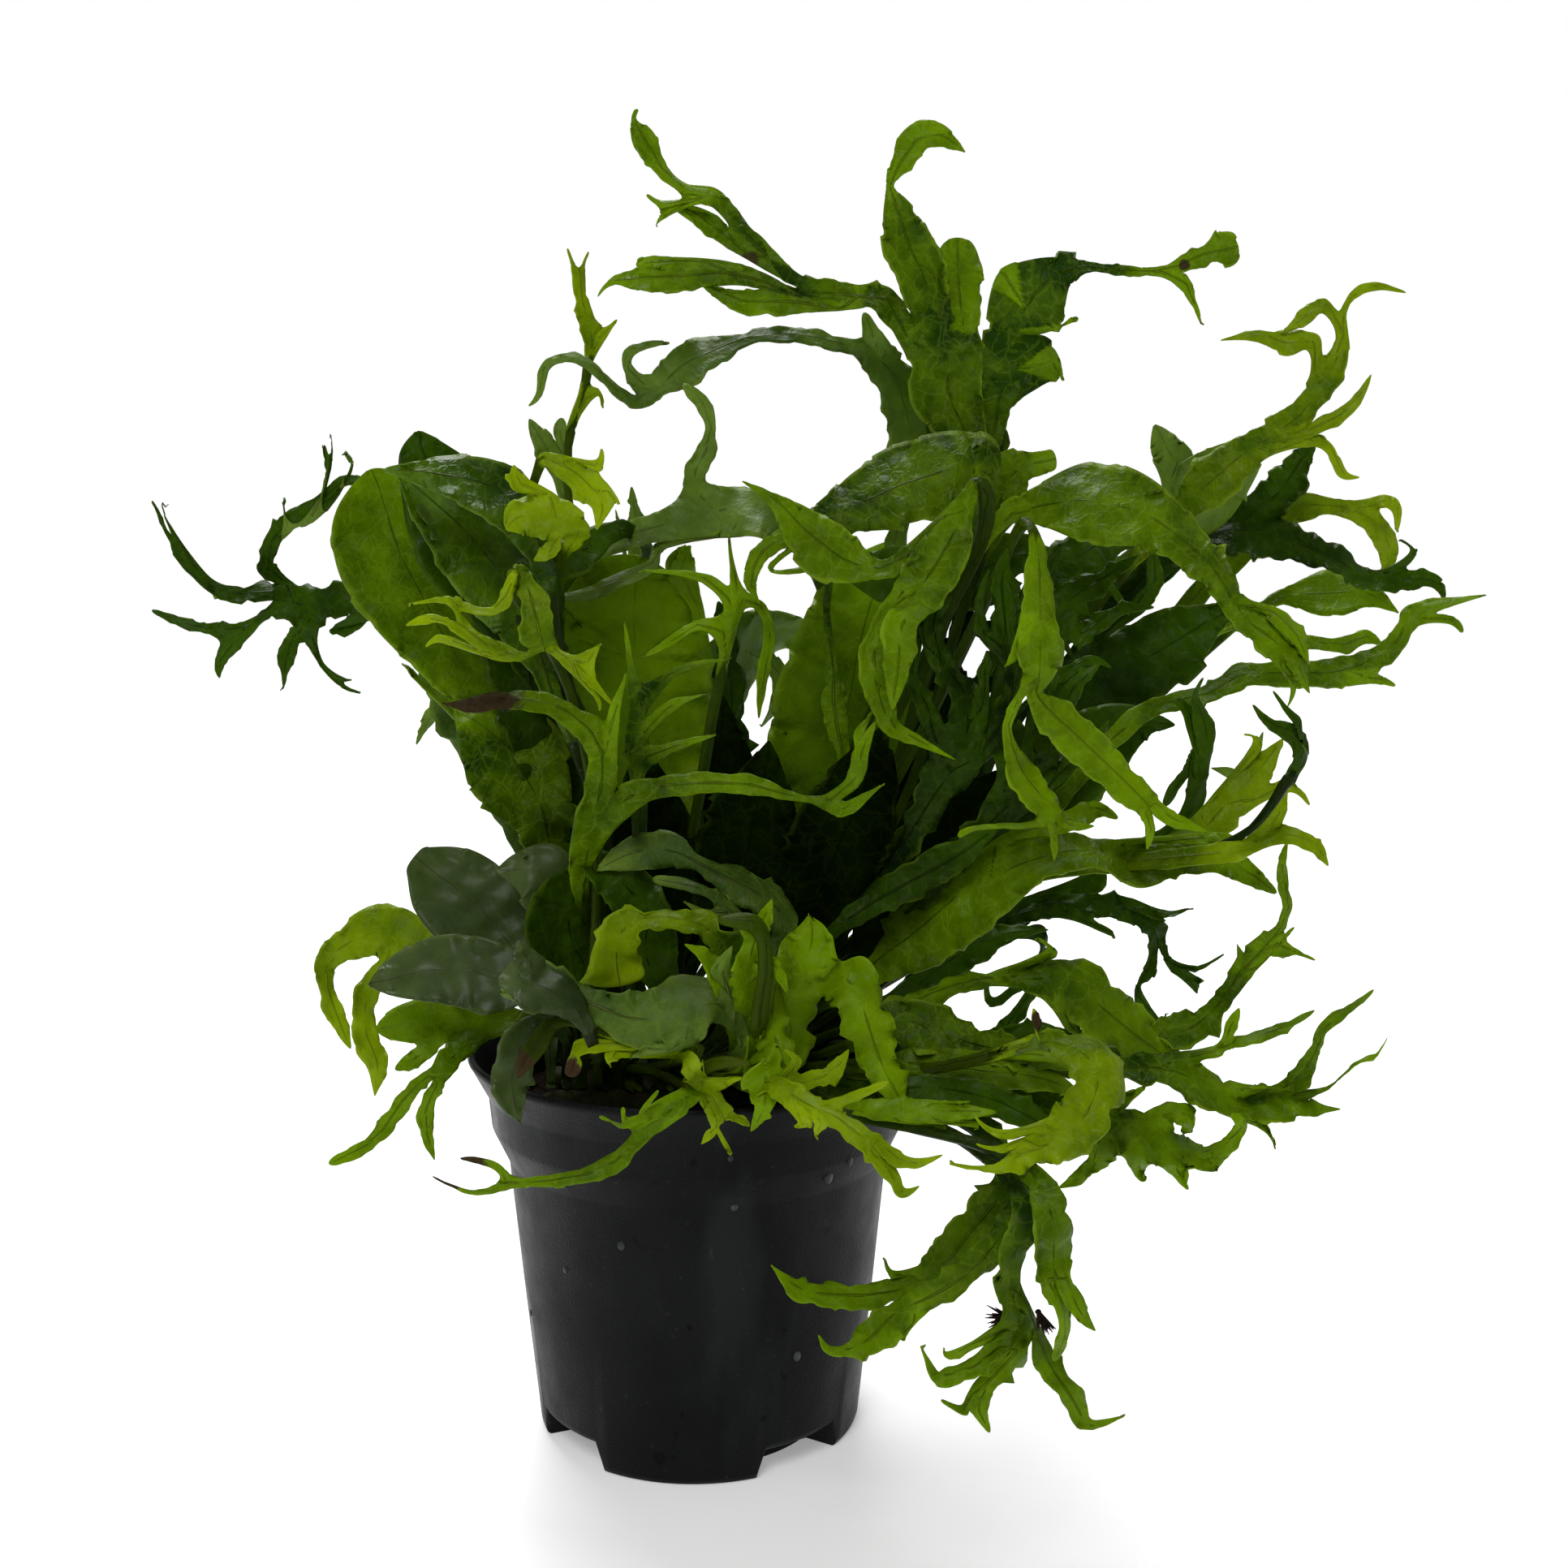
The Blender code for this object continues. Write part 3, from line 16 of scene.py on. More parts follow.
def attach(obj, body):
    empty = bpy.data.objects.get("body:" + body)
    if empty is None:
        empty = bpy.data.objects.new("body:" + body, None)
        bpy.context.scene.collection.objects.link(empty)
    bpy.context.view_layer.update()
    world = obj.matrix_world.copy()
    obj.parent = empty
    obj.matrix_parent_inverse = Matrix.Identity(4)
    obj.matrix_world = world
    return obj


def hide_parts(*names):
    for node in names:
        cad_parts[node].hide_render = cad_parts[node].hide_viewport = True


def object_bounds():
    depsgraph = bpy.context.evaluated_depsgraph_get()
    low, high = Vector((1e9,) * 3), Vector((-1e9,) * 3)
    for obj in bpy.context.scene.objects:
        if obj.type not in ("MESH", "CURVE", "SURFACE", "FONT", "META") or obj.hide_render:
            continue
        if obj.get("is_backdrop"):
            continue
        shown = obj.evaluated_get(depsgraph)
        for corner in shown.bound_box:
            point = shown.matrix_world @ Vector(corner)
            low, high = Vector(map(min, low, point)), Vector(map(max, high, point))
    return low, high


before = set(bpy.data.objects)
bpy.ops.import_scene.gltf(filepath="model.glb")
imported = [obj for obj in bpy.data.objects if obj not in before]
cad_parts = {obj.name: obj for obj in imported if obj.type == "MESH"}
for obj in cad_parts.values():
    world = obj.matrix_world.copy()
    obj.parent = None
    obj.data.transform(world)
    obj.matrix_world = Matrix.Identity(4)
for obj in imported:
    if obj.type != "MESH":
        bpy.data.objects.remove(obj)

MM = 0.001
cad_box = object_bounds()
print("the packed model has", len(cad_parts), "nodes")

# %% [markdown]
# The camera stands where the photographer stood, a little above the middle of the plant and looking
# slightly down. Leaves are drawn from this eye, so its place is a value that later cells use too.

# %% Camera
EYE_ACROSS = 17.0
EYE_UP = 171.0
EYE_AWAY = 345.0
LOOKS_DOWN = 7.2
FILM_WIDTH = 36.0
FOCAL_LENGTH = 41.07

bpy.ops.object.camera_add(location=(EYE_ACROSS * MM, -EYE_AWAY * MM, EYE_UP * MM),
                          rotation=(radians(90.0 - LOOKS_DOWN), 0.0, 0.0))
camera = bpy.context.object
camera.name = "camera"
camera.data.sensor_width = FILM_WIDTH
camera.data.lens = FOCAL_LENGTH
camera.data.clip_start = 0.01
bpy.context.scene.camera = camera
print("the camera stands", EYE_AWAY, "mm in front of the pot's axis")

# %% [markdown]
# The plant stands in a white studio. A broad light high at the back left shines through the leaves and
# drops a soft shadow in front of the pot, and a weaker lamp in front gives the wet leaves their sheen.
# The room looks white but lights little, so that the inside of the plant stays nearly black.
# Colours go to the picture unchanged, because a film-like curve would turn the deep greens grey.

# %% Studio
FLOOR_HALF = 2.0
MIDDLE_OF_PLANT = (0.01, 0.0, 0.12)


def white_room(strength):
    """Walls that look white and light the plant with the given strength."""
    world = bpy.data.worlds.new("white_room")
    world.use_nodes = True
    tree = world.node_tree
    walls = tree.nodes["Background"]
    walls.inputs["Color"].default_value = (1.0, 1.0, 1.0, 1.0)
    path = tree.nodes.new("ShaderNodeLightPath")
    chosen = tree.nodes.new("ShaderNodeMapRange")
    chosen.inputs["To Min"].default_value = strength
    tree.links.new(path.outputs["Is Camera Ray"], chosen.inputs["Value"])
    tree.links.new(chosen.outputs["Result"], walls.inputs["Strength"])
    bpy.context.scene.world = world


def aimed_light(kind, name, place, aim, energy):
    bpy.ops.object.light_add(type=kind, location=place, rotation=aim.to_track_quat("-Z", "Y").to_euler())
    bpy.context.object.name = name
    bpy.context.object.data.energy = energy
    return bpy.context.object.data


def soft_lamp(name, place, size, power):
    """A square lamp that faces the middle of the plant."""
    lamp = aimed_light("AREA", name, place, Vector(MIDDLE_OF_PLANT) - Vector(place), power)
    lamp.size = size


def broad_light(name, place, spread, strength):
    """A far light as wide as a window, with spread as the angle it fills."""
    lamp = aimed_light("SUN", name, place, -Vector(place), strength)
    lamp.angle = radians(spread)


white_room(strength=0.3)
broad_light("light_back_left", (-0.12, 0.62, 1.0), spread=40.0, strength=3.3)
soft_lamp("lamp_front", (-0.15, -0.75, 0.8), size=0.4, power=4.5)
bpy.context.scene.view_settings.view_transform = "Standard"

bpy.ops.mesh.primitive_plane_add(size=2.0 * FLOOR_HALF, location=(0.0, 0.0, 0.0))
floor = bpy.context.object
floor.name = "floor"
floor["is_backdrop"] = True
print("the floor reaches", FLOOR_HALF, "m each way")

# %% [markdown]
# Materials are built from small parts. These helpers add a node and wire it in one line, so that each
# recipe reads like a list of steps. A group is made once and placed in every material that needs it.

# %% Helpers for materials


def srgb(red, green, blue):
    """A colour as a paint chart gives it, from 0 to 255, as the shader wants it."""
    steps = [c / 255.0 for c in (red, green, blue)]
    return (*[c / 12.92 if c <= 0.04045 else ((c + 0.055) / 1.055) ** 2.4 for c in steps], 1.0)


def put(tree, kind, inputs=None, **settings):
    """Adds a node, sets its options, and sets or links its inputs."""
    made = tree.nodes.new(kind)
    for name, value in settings.items():
        setattr(made, name, value)
    for name, value in (inputs or {}).items():
        if isinstance(value, bpy.types.NodeSocket):
            tree.links.new(value, made.inputs[name])
        else:
            made.inputs[name].default_value = value
    return made


def maths(tree, operation, *values):
    return put(tree, "ShaderNodeMath", dict(enumerate(values)), operation=operation).outputs[0]


def step(tree, value, low, high, start=0.0, end=1.0):
    """Goes smoothly from start to end as the value goes from low to high."""
    inputs = {"Value": value, "From Min": low, "From Max": high, "To Min": start, "To Max": end}
    return put(tree, "ShaderNodeMapRange", inputs, interpolation_type="SMOOTHSTEP").outputs[0]


def mix(tree, amount, first, second, kind="MIX"):
    """Mixes two colours by an amount, or tints the first with the second."""
    return put(tree, "ShaderNodeMix", {0: amount, 6: first, 7: second},
               data_type="RGBA", blend_type=kind).outputs[2]


def noise(tree, place, scale, detail=2.0):
    return put(tree, "ShaderNodeTexNoise", {"Vector": place, "Scale": scale, "Detail": detail}).outputs["Fac"]


def attribute(tree, name):
    return put(tree, "ShaderNodeAttribute", attribute_name=name).outputs["Fac"]


def new_group(name, inputs, outputs):
    """A node group with named inputs, each with its first value, and named outputs."""
    group = bpy.data.node_groups.new(name, "ShaderNodeTree")
    for label, value in inputs.items():
        kind = "NodeSocketColor" if isinstance(value, tuple) else "NodeSocketFloat"
        group.interface.new_socket(name=label, in_out="INPUT", socket_type=kind).default_value = value
    for label, kind in outputs.items():
        group.interface.new_socket(name=label, in_out="OUTPUT", socket_type="NodeSocket" + kind)
    return group, group.nodes.new("NodeGroupInput").outputs, group.nodes.new("NodeGroupOutput").inputs


def wire(tree, results, sockets):
    for name, value in results.items():
        tree.links.new(value, sockets[name])


def new_material(name, **constants):
    """A material whose Principled shader has the given values, which are the same all over."""
    material = bpy.data.materials.new(name)
    material.use_nodes = True
    shader = material.node_tree.nodes["Principled BSDF"]
    for label, value in constants.items():
        shader.inputs[label.replace("_", " ")].default_value = value
    return material, material.node_tree, shader


print("black and white for the shader:", srgb(0, 0, 0)[:3], srgb(255, 255, 255)[:3])

# %% [markdown]
# Every surface here is uneven in the same way: broad cloudy patches, fine grain, and a roughness
# that wanders. One group gives all three from the place on the object, so nothing has to be unwrapped.

# %% Cloudy patches and grain
unevenness, given, wanted = new_group(
    "unevenness", {"Patch Scale": 60.0, "Grain Scale": 1200.0, "Rough": 0.4, "Rough Spread": 0.15},
    {"Patches": "Float", "Grain": "Float", "Roughness": "Float"})
place = put(unevenness, "ShaderNodeTexCoord").outputs["Object"]
patches = step(unevenness, noise(unevenness, place, given["Patch Scale"], 3.0), 0.32, 0.68)
grain = noise(unevenness, place, given["Grain Scale"])
wander = maths(unevenness, "SUBTRACT", noise(unevenness, place, 170.0, 3.0), 0.5)
wander = maths(unevenness, "MULTIPLY_ADD", wander, given["Rough Spread"], given["Rough"])
wire(unevenness, {"Patches": patches, "Grain": grain, "Roughness": wander}, wanted)
print("group", unevenness.name, "is ready")


def group_node(tree, group, inputs):
    """Places a node group with its own values and returns its outputs."""
    return put(tree, "ShaderNodeGroup", inputs, node_tree=group).outputs


def bump(tree, shader, height, depth):
    """Raises the surface by depth, in metres, where the height is 1."""
    made = put(tree, "ShaderNodeBump", {"Height": height, "Strength": 1.0, "Distance": depth})
    tree.links.new(made.outputs["Normal"], shader.inputs["Normal"])


# %% [markdown]
# The floor is a pale, slightly glossy board. It gets only a faint grain, because it is just the stage.

# %% Floor finish
floor_look, tree, shader = new_material("pale_board", Roughness=0.35, Emission_Color=srgb(250, 250, 250),
                                        Emission_Strength=0.3)
cloud = group_node(tree, unevenness, {"Patch Scale": 4.0, "Rough": 0.34, "Rough Spread": 0.1})
shade = mix(tree, cloud["Patches"], srgb(240, 241, 241), srgb(246, 246, 246))
wire(tree, {"Base Color": shade, "Roughness": cloud["Roughness"]}, shader.inputs)
floor.data.materials.append(floor_look)
print("the floor's finish is", floor_look.name)

# %% [markdown]
# A java fern's leaf is dark and leathery when old, and thin and yellow-green when young. Light veins
# make a net between side veins, and a brown or pale rib runs up the middle. Tips die off brown.
# The leaf meshes carry what the pattern has to follow: rib (distance from the rib, in rib widths),
# chevron (runs up and out in mm), edge (0 at the rib, 1 at the margin), tone (0 old, 1 young),
# stem (1 on the stalk) and burn (1 where the leaf has died). The rest comes from the place on the object.
# A broad leaf also has a thin pale rim, a painted highlight along its edge, which is as strong as its net.

# %% The leaf's skin
leaf_skin, given, wanted = new_group(
    "leaf_skin",
    {"Old": srgb(30, 60, 8), "Young": srgb(120, 160, 20), "Rib": srgb(60, 45, 25), "Net": 0.5,
     "Rough": 0.4, "Rough Spread": 0.2},
    {"Color": "Color", "Roughness": "Float", "Height": "Float"})
cloud = group_node(leaf_skin, unevenness, {"Patch Scale": 75.0, "Grain Scale": 1500.0,
                                           "Rough": given["Rough"], "Rough Spread": given["Rough Spread"]})
place = put(leaf_skin, "ShaderNodeTexCoord").outputs["Object"]
sway = put(leaf_skin, "ShaderNodeTexNoise", {"Vector": place, "Scale": 210.0}).outputs["Color"]
swayed = put(leaf_skin, "ShaderNodeMix", {0: 0.006, 4: place, 5: sway}, data_type="VECTOR").outputs[1]
cells = put(leaf_skin, "ShaderNodeTexVoronoi", {"Vector": swayed, "Scale": 230.0}, feature="DISTANCE_TO_EDGE")
net = step(leaf_skin, cells.outputs["Distance"], 0.0, 0.09, 1.0, 0.0)
rows_of_veins = maths(leaf_skin, "FRACT", maths(leaf_skin, "MULTIPLY", attribute(leaf_skin, "chevron"), 0.24))
side_veins = step(leaf_skin, maths(leaf_skin, "ABSOLUTE", maths(leaf_skin, "SUBTRACT", rows_of_veins, 0.5)),
                  0.0, 0.06, 1.0, 0.0)
rib = step(leaf_skin, attribute(leaf_skin, "rib"), 0.4, 1.1, 1.0, 0.0)
margin = step(leaf_skin, attribute(leaf_skin, "edge"), 0.86, 1.0)
lines = maths(leaf_skin, "MULTIPLY", maths(leaf_skin, "MAXIMUM", net, side_veins), given["Net"])

age = maths(leaf_skin, "MULTIPLY_ADD", maths(leaf_skin, "SUBTRACT", cloud["Patches"], 0.5), 0.42,
            attribute(leaf_skin, "tone"))
age = maths(leaf_skin, "MULTIPLY_ADD", maths(leaf_skin, "SUBTRACT", cloud["Grain"], 0.5), 0.3, age)
age = maths(leaf_skin, "ADD", age, maths(leaf_skin, "MULTIPLY", margin, 0.12))
mottle = step(leaf_skin, noise(leaf_skin, place, 260.0, 3.0), 0.3, 0.7, -0.09, 0.09)
age = maths(leaf_skin, "ADD", age, mottle)
age = put(leaf_skin, "ShaderNodeClamp", {"Value": age}).outputs[0]
skin = mix(leaf_skin, age, given["Old"], given["Young"])
pale = mix(leaf_skin, 0.45, skin, srgb(150, 176, 50))
skin = mix(leaf_skin, lines, skin, pale)
broad = step(leaf_skin, attribute(leaf_skin, "rib"), 7.0, 11.0)
blade = maths(leaf_skin, "MULTIPLY", broad, maths(leaf_skin, "SUBTRACT", 1.0, attribute(leaf_skin, "stem")))
# Painted highlight: a thin pale line along the margin of broad blades.
painted_rim_highlight = step(leaf_skin, attribute(leaf_skin, "edge"), 0.9, 0.98, 0.0, 2.0)
painted_rim_highlight = maths(leaf_skin, "MULTIPLY", maths(leaf_skin, "MULTIPLY", painted_rim_highlight, blade), given["Net"])
skin = mix(leaf_skin, painted_rim_highlight, skin, pale)
skin = mix(leaf_skin, maths(leaf_skin, "MULTIPLY", rib, 0.42), skin, given["Rib"])
stalk = maths(leaf_skin, "MULTIPLY", attribute(leaf_skin, "stem"), 0.8)
skin = mix(leaf_skin, stalk, skin, srgb(15, 22, 2))
frayed = maths(leaf_skin, "SUBTRACT", noise(leaf_skin, place, 420.0, 3.0), 0.5)
dead = maths(leaf_skin, "MULTIPLY_ADD", frayed, 1.1, attribute(leaf_skin, "burn"))
dead = step(leaf_skin, dead, 0.3, 0.62)
husk = mix(leaf_skin, cloud["Grain"], srgb(22, 15, 12), srgb(78, 52, 38))
skin = mix(leaf_skin, dead, skin, husk)

blisters = noise(leaf_skin, place, 240.0, 2.0)
height = maths(leaf_skin, "MULTIPLY_ADD", blisters, 0.8, maths(leaf_skin, "MULTIPLY", cloud["Grain"], 0.12))
height = maths(leaf_skin, "SUBTRACT", height, maths(leaf_skin, "MULTIPLY", lines, 0.25))
height = maths(leaf_skin, "ADD", height, maths(leaf_skin, "MULTIPLY", rib, 0.5))
flat = maths(leaf_skin, "SUBTRACT", 1.0, maths(leaf_skin, "MULTIPLY", attribute(leaf_skin, "tone"), 0.8))
height = maths(leaf_skin, "MULTIPLY", height, flat)
rough = maths(leaf_skin, "MULTIPLY_ADD", dead, 0.3, cloud["Roughness"])
wire(leaf_skin, {"Color": skin, "Roughness": rough, "Height": height}, wanted)
print("group", leaf_skin.name, "is ready")

# %% [markdown]
# Seven finishes share that skin: young, mid and deep green upper sides, a nearly black finish of painted
# shade for the leaves inside the plant, a glossy old leaf, the greyer low leaves that are wet from the
# growing room under a thin clear coat, their grey partly a painted sheen, and the dull underside. A leaf
# is thin enough for some light to pass, which is the constant share of translucent shader in each.

# %% Leaf finishes
SHARE_PASSED = 0.3


def leaf_finish(name, old, young, rib, net, rough, spread, depth, glow, gloss=0.06, coat=0.0):
    """A finish with its colours from old to young, its rib, the light that passes and its shine."""
    material, tree, shader = new_material(name, Coat_Weight=coat, Coat_Roughness=0.22,
                                          Specular_IOR_Level=gloss)
    found = group_node(tree, leaf_skin, {"Old": srgb(*old), "Young": srgb(*young), "Rib": srgb(*rib),
                                         "Net": net, "Rough": rough, "Rough Spread": spread})
    wire(tree, {"Base Color": found["Color"], "Roughness": found["Roughness"]}, shader.inputs)
    bump(tree, shader, found["Height"], depth)
    through = put(tree, "ShaderNodeBsdfTranslucent", {"Color": srgb(*glow)})
    both = put(tree, "ShaderNodeMixShader",
               {0: SHARE_PASSED, 1: shader.outputs["BSDF"], 2: through.outputs["BSDF"]})
    tree.links.new(both.outputs[0], tree.nodes["Material Output"].inputs["Surface"])
    return material


LEAF = {
    "young": leaf_finish("leaf_young", (50, 80, 0), (140, 166, 4), (122, 132, 30), 0.26, 0.34, 0.4, 0.0012,
                         (156, 178, 4)),
    "mid": leaf_finish("leaf_mid", (18, 44, 0), (112, 146, 0), (78, 84, 14), 0.26, 0.34, 0.4, 0.0015,
                       (134, 170, 0)),
    "deep": leaf_finish("leaf_deep", (8, 26, 0), (54, 84, 0), (30, 36, 6), 0.08, 0.34, 0.4, 0.0014,
                        (74, 112, 0)),
    # The shade finish is painted shade: nearly black leaves put inside the plant where the light doesn't
    # reach.
    "shade": leaf_finish("leaf_painted_shade", (1, 6, 0), (18, 36, 0), (10, 14, 2), 0.03, 0.5, 0.2, 0.0005,
                         (16, 30, 0), gloss=0.01),
    "glossy": leaf_finish("leaf_glossy", (24, 52, 0), (86, 120, 2), (70, 60, 24), 0.2, 0.3, 0.3, 0.0016,
                          (80, 118, 0), gloss=0.12, coat=0.05),
    # The wet finish's grey-green colours are partly its own and partly a painted sheen, on top of the thin
    # clear coat.
    "wet": leaf_finish("leaf_wet_painted_sheen", (30, 46, 14), (74, 92, 44), (52, 44, 28), 0.04, 0.4, 0.3, 0.0004,
                       (56, 88, 4), gloss=0.16, coat=0.06),
    "under": leaf_finish("leaf_under", (54, 78, 20), (104, 132, 38), (92, 86, 40), 0.16, 0.46, 0.3, 0.0012,
                         (124, 152, 14), gloss=0.15),
}
print(len(LEAF), "leaf finishes")

# %% [markdown]
# Modelling works the same way throughout: nothing is selected, a primitive is added at its size and
# place, and it is shaped in edit mode. These helpers do the steps that every piece repeats. A finished
# piece has its place in its mesh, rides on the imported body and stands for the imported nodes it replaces.

# %% Helpers for modelling


def start(add, **settings):
    """Adds a primitive with nothing else selected and opens it in edit mode."""
    if bpy.context.object and bpy.context.object.mode == "EDIT":
        bpy.ops.object.mode_set(mode="OBJECT")
    bpy.ops.object.select_all(action="DESELECT")
    add(**settings)
    bpy.ops.object.mode_set(mode="EDIT")
    return bpy.context.object


def finish(piece, name, looks, replaced=(), angle=None):
    """Closes edit mode, bakes the place into the mesh, and hands the piece to the frame."""
    bpy.ops.object.mode_set(mode="OBJECT")
    bpy.ops.object.transform_apply(location=True, rotation=True, scale=True)
    piece.name = name
    piece.data.name = name
    for look in looks:
        piece.data.materials.append(look)
    bpy.ops.object.shade_smooth()
    if angle:
        bpy.ops.object.shade_smooth_by_angle(angle=radians(angle))
    if replaced:
        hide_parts(*replaced)
    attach(piece, "root")
    return piece


def all_places(mesh):
    """Every vertex's place as rows of three numbers."""
    places = np.empty(len(mesh.vertices) * 3, np.float32)
    mesh.vertices.foreach_get("co", places)
    return places.reshape(-1, 3).astype(float)


def put_places(mesh, places):
    mesh.vertices.foreach_set("co", np.ascontiguousarray(places, np.float32).ravel())
    mesh.update()


def copy_of(model):
    """A copy with its own mesh."""
    copy = model.copy()
    copy.data = model.data.copy()
    bpy.context.collection.objects.link(copy)
    return copy


def join(pieces):
    """Joins pieces into the first one and leaves it selected and active."""
    bpy.ops.object.select_all(action="DESELECT")
    for piece in pieces:
        piece.select_set(True)
    bpy.context.view_layer.objects.active = pieces[0]
    bpy.ops.object.join()
    return bpy.context.object


def triangles(piece):
    piece.data.calc_loop_triangles()
    return len(piece.data.loop_triangles)


def close_up(piece):
    """Caps the open edge that is left, turns the faces outwards and keeps the place in the mesh."""
    bpy.ops.mesh.edge_face_add()
    bpy.ops.mesh.select_all(action="SELECT")
    bpy.ops.mesh.normals_make_consistent(inside=False)
    bpy.ops.object.mode_set(mode="OBJECT")
    bpy.ops.object.transform_apply(location=True, rotation=True, scale=True)
    return piece


def turned_shape(profile, sides, turn=0.0):
    """A closed round shape: a disc carried ring by ring along a profile of (radius, height) in mm."""
    piece = start(bpy.ops.mesh.primitive_circle_add, vertices=sides, radius=profile[0][0] * MM,
                  fill_type="NGON", location=(0.0, 0.0, profile[0][1] * MM),
                  rotation=(0.0, 0.0, radians(turn)))
    bpy.ops.mesh.select_mode(type="EDGE")
    for (inner, low), (outer, high) in zip(profile, profile[1:]):
        bpy.ops.mesh.extrude_edges_move(TRANSFORM_OT_translate={"value": (0.0, 0.0, (high - low) * MM)})
        bpy.ops.transform.resize(value=(outer / inner, outer / inner, 1.0), center_override=(0.0, 0.0, 0.0))
    return close_up(piece)


print("the floor is made of", triangles(floor), "triangles")

# %% [markdown]
# The pot is one thin moulding, so it is turned: a disc for the inside of its floor, carried up the
# inner wall ring by ring, over the lip and down the outside. Every ring is an extrusion that is then
# resized, which is how a turned shape is made by hand without a lathe modifier.

# %% Pot
LIP_RADIUS = 45.0
LIP_TOP = 76.0
LIP_HEIGHT = 8.0
BAND_RADIUS = 41.2
SHOULDER_TOP = 61.0
SHOULDER_BOTTOM = 55.0
NECK_RADIUS = 37.4
FOOT_RADIUS = 32.0
WALL = 1.0
FLOOR = 1.2
BASE_RADIUS = 24.5
NOTCH_HEIGHT = 5.5
FOOT_TURN = -95.0
POT_SIDES = 120

pot_profile = [
    (BASE_RADIUS - WALL, FLOOR), (FOOT_RADIUS - 2.4, FLOOR), (FOOT_RADIUS - 1.3, FLOOR + 0.5),
    (FOOT_RADIUS - WALL, FLOOR + 1.4), (NECK_RADIUS - WALL, SHOULDER_BOTTOM),
    (NECK_RADIUS - 0.3, SHOULDER_BOTTOM + 1.6), (BAND_RADIUS - 1.9, SHOULDER_TOP),
    (BAND_RADIUS - 1.5, SHOULDER_TOP + 1.2), (BAND_RADIUS - WALL, LIP_TOP - LIP_HEIGHT),
    (LIP_RADIUS - 1.5, LIP_TOP - 1.4), (LIP_RADIUS - 1.3, LIP_TOP - 0.4), (LIP_RADIUS - 0.9, LIP_TOP),
    (LIP_RADIUS - 0.3, LIP_TOP), (LIP_RADIUS, LIP_TOP - 0.4), (LIP_RADIUS, LIP_TOP - 1.1),
    (LIP_RADIUS - 0.4, LIP_TOP - 1.7), (BAND_RADIUS + 0.5, LIP_TOP - LIP_HEIGHT + 0.8),
    (BAND_RADIUS, LIP_TOP - LIP_HEIGHT), (BAND_RADIUS - 0.6, SHOULDER_TOP + 0.8),
    (BAND_RADIUS - 0.9, SHOULDER_TOP), (NECK_RADIUS + 0.5, SHOULDER_BOTTOM + 0.9),
    (NECK_RADIUS, SHOULDER_BOTTOM), (NECK_RADIUS - 2.7, SHOULDER_BOTTOM / 2), (FOOT_RADIUS, 1.4),
    (FOOT_RADIUS - 0.3, 0.5), (FOOT_RADIUS - 0.9, 0.0), (BASE_RADIUS + 0.6, 0.0), (BASE_RADIUS, 0.0),
]

pot = turned_shape(pot_profile, POT_SIDES, FOOT_TURN)
print("the pot is turned in", len(pot_profile), "rings")

# %% [markdown]
# The feet are what is left standing when the rim of the base is lifted between them. Their sides slope
# a little, as they must for the moulding to leave its mould. Water runs out through the notches.

# %% Feet of the pot
FOOT_HALF_TURN = 27.0
NOTCH_SLOPE = 3.0
spots = all_places(pot.data) / MM
radius = np.hypot(spots[:, 0], spots[:, 1])
turn = (np.degrees(np.arctan2(spots[:, 1], spots[:, 0])) - FOOT_TURN + 45.0) % 90.0 - 45.0
raised = np.clip((np.abs(turn) - FOOT_HALF_TURN) / NOTCH_SLOPE, 0.0, 1.0) * NOTCH_HEIGHT
rim_of_base = (spots[:, 2] < 5.0) & (radius > BASE_RADIUS + 0.3)
spots[:, 2] += np.where(rim_of_base, raised, 0.0)
taper = (NECK_RADIUS - FOOT_RADIUS) / SHOULDER_BOTTOM / FOOT_RADIUS
spots[:, :2] *= (1.0 + np.where(rim_of_base, raised, 0.0) * taper)[:, None]
put_places(pot.data, spots * MM)
print(int(rim_of_base.sum()), "vertices of the base are lifted for the notches")

# %% [markdown]
# The plastic is matt black with faint clouds. Water has dried on it in pale, upright marks, so the noise
# that makes them is stretched along Z. Dark pits and a little dust break up the flat wall.

# %% Black plastic

plastic, tree, shader = new_material("black_plastic", Specular_IOR_Level=0.06)
cloud = group_node(tree, unevenness, {"Patch Scale": 45.0, "Grain Scale": 2600.0, "Rough": 0.42,
                                      "Rough Spread": 0.3})
place = put(tree, "ShaderNodeTexCoord").outputs["Object"]
upright = put(tree, "ShaderNodeMapping", {"Vector": place, "Scale": (1.0, 1.0, 0.25)}).outputs[0]
smears = step(tree, noise(tree, upright, 120.0, 4.0), 0.5, 0.72)
bloom = step(tree, noise(tree, upright, 75.0, 5.0), 0.52, 0.7)
pits = step(tree, noise(tree, place, 260.0, 1.0), 0.7, 0.76)
dust = step(tree, noise(tree, place, 900.0, 2.0), 0.66, 0.8)
tone = mix(tree, cloud["Patches"], srgb(11, 12, 12), srgb(17, 18, 18))
tone = mix(tree, maths(tree, "MULTIPLY", smears, 0.45), tone, srgb(9, 9, 10))
tone = mix(tree, maths(tree, "MULTIPLY", bloom, 0.5), tone, srgb(34, 38, 38))
tone = mix(tree, pits, tone, srgb(3, 3, 4))
tone = mix(tree, maths(tree, "MULTIPLY", dust, 0.1), tone, srgb(100, 100, 98))
rough = maths(tree, "MULTIPLY_ADD", smears, -0.12, cloud["Roughness"])
wire(tree, {"Base Color": tone, "Roughness": rough}, shader.inputs)
bump(tree, shader, maths(tree, "MULTIPLY_ADD", noise(tree, place, 60.0, 2.0), 1.5, cloud["Grain"]), 0.00012)

finish(pot, "nursery_pot", [plastic], ["pot"], angle=38.0)
print("the pot has", triangles(pot), "triangles")

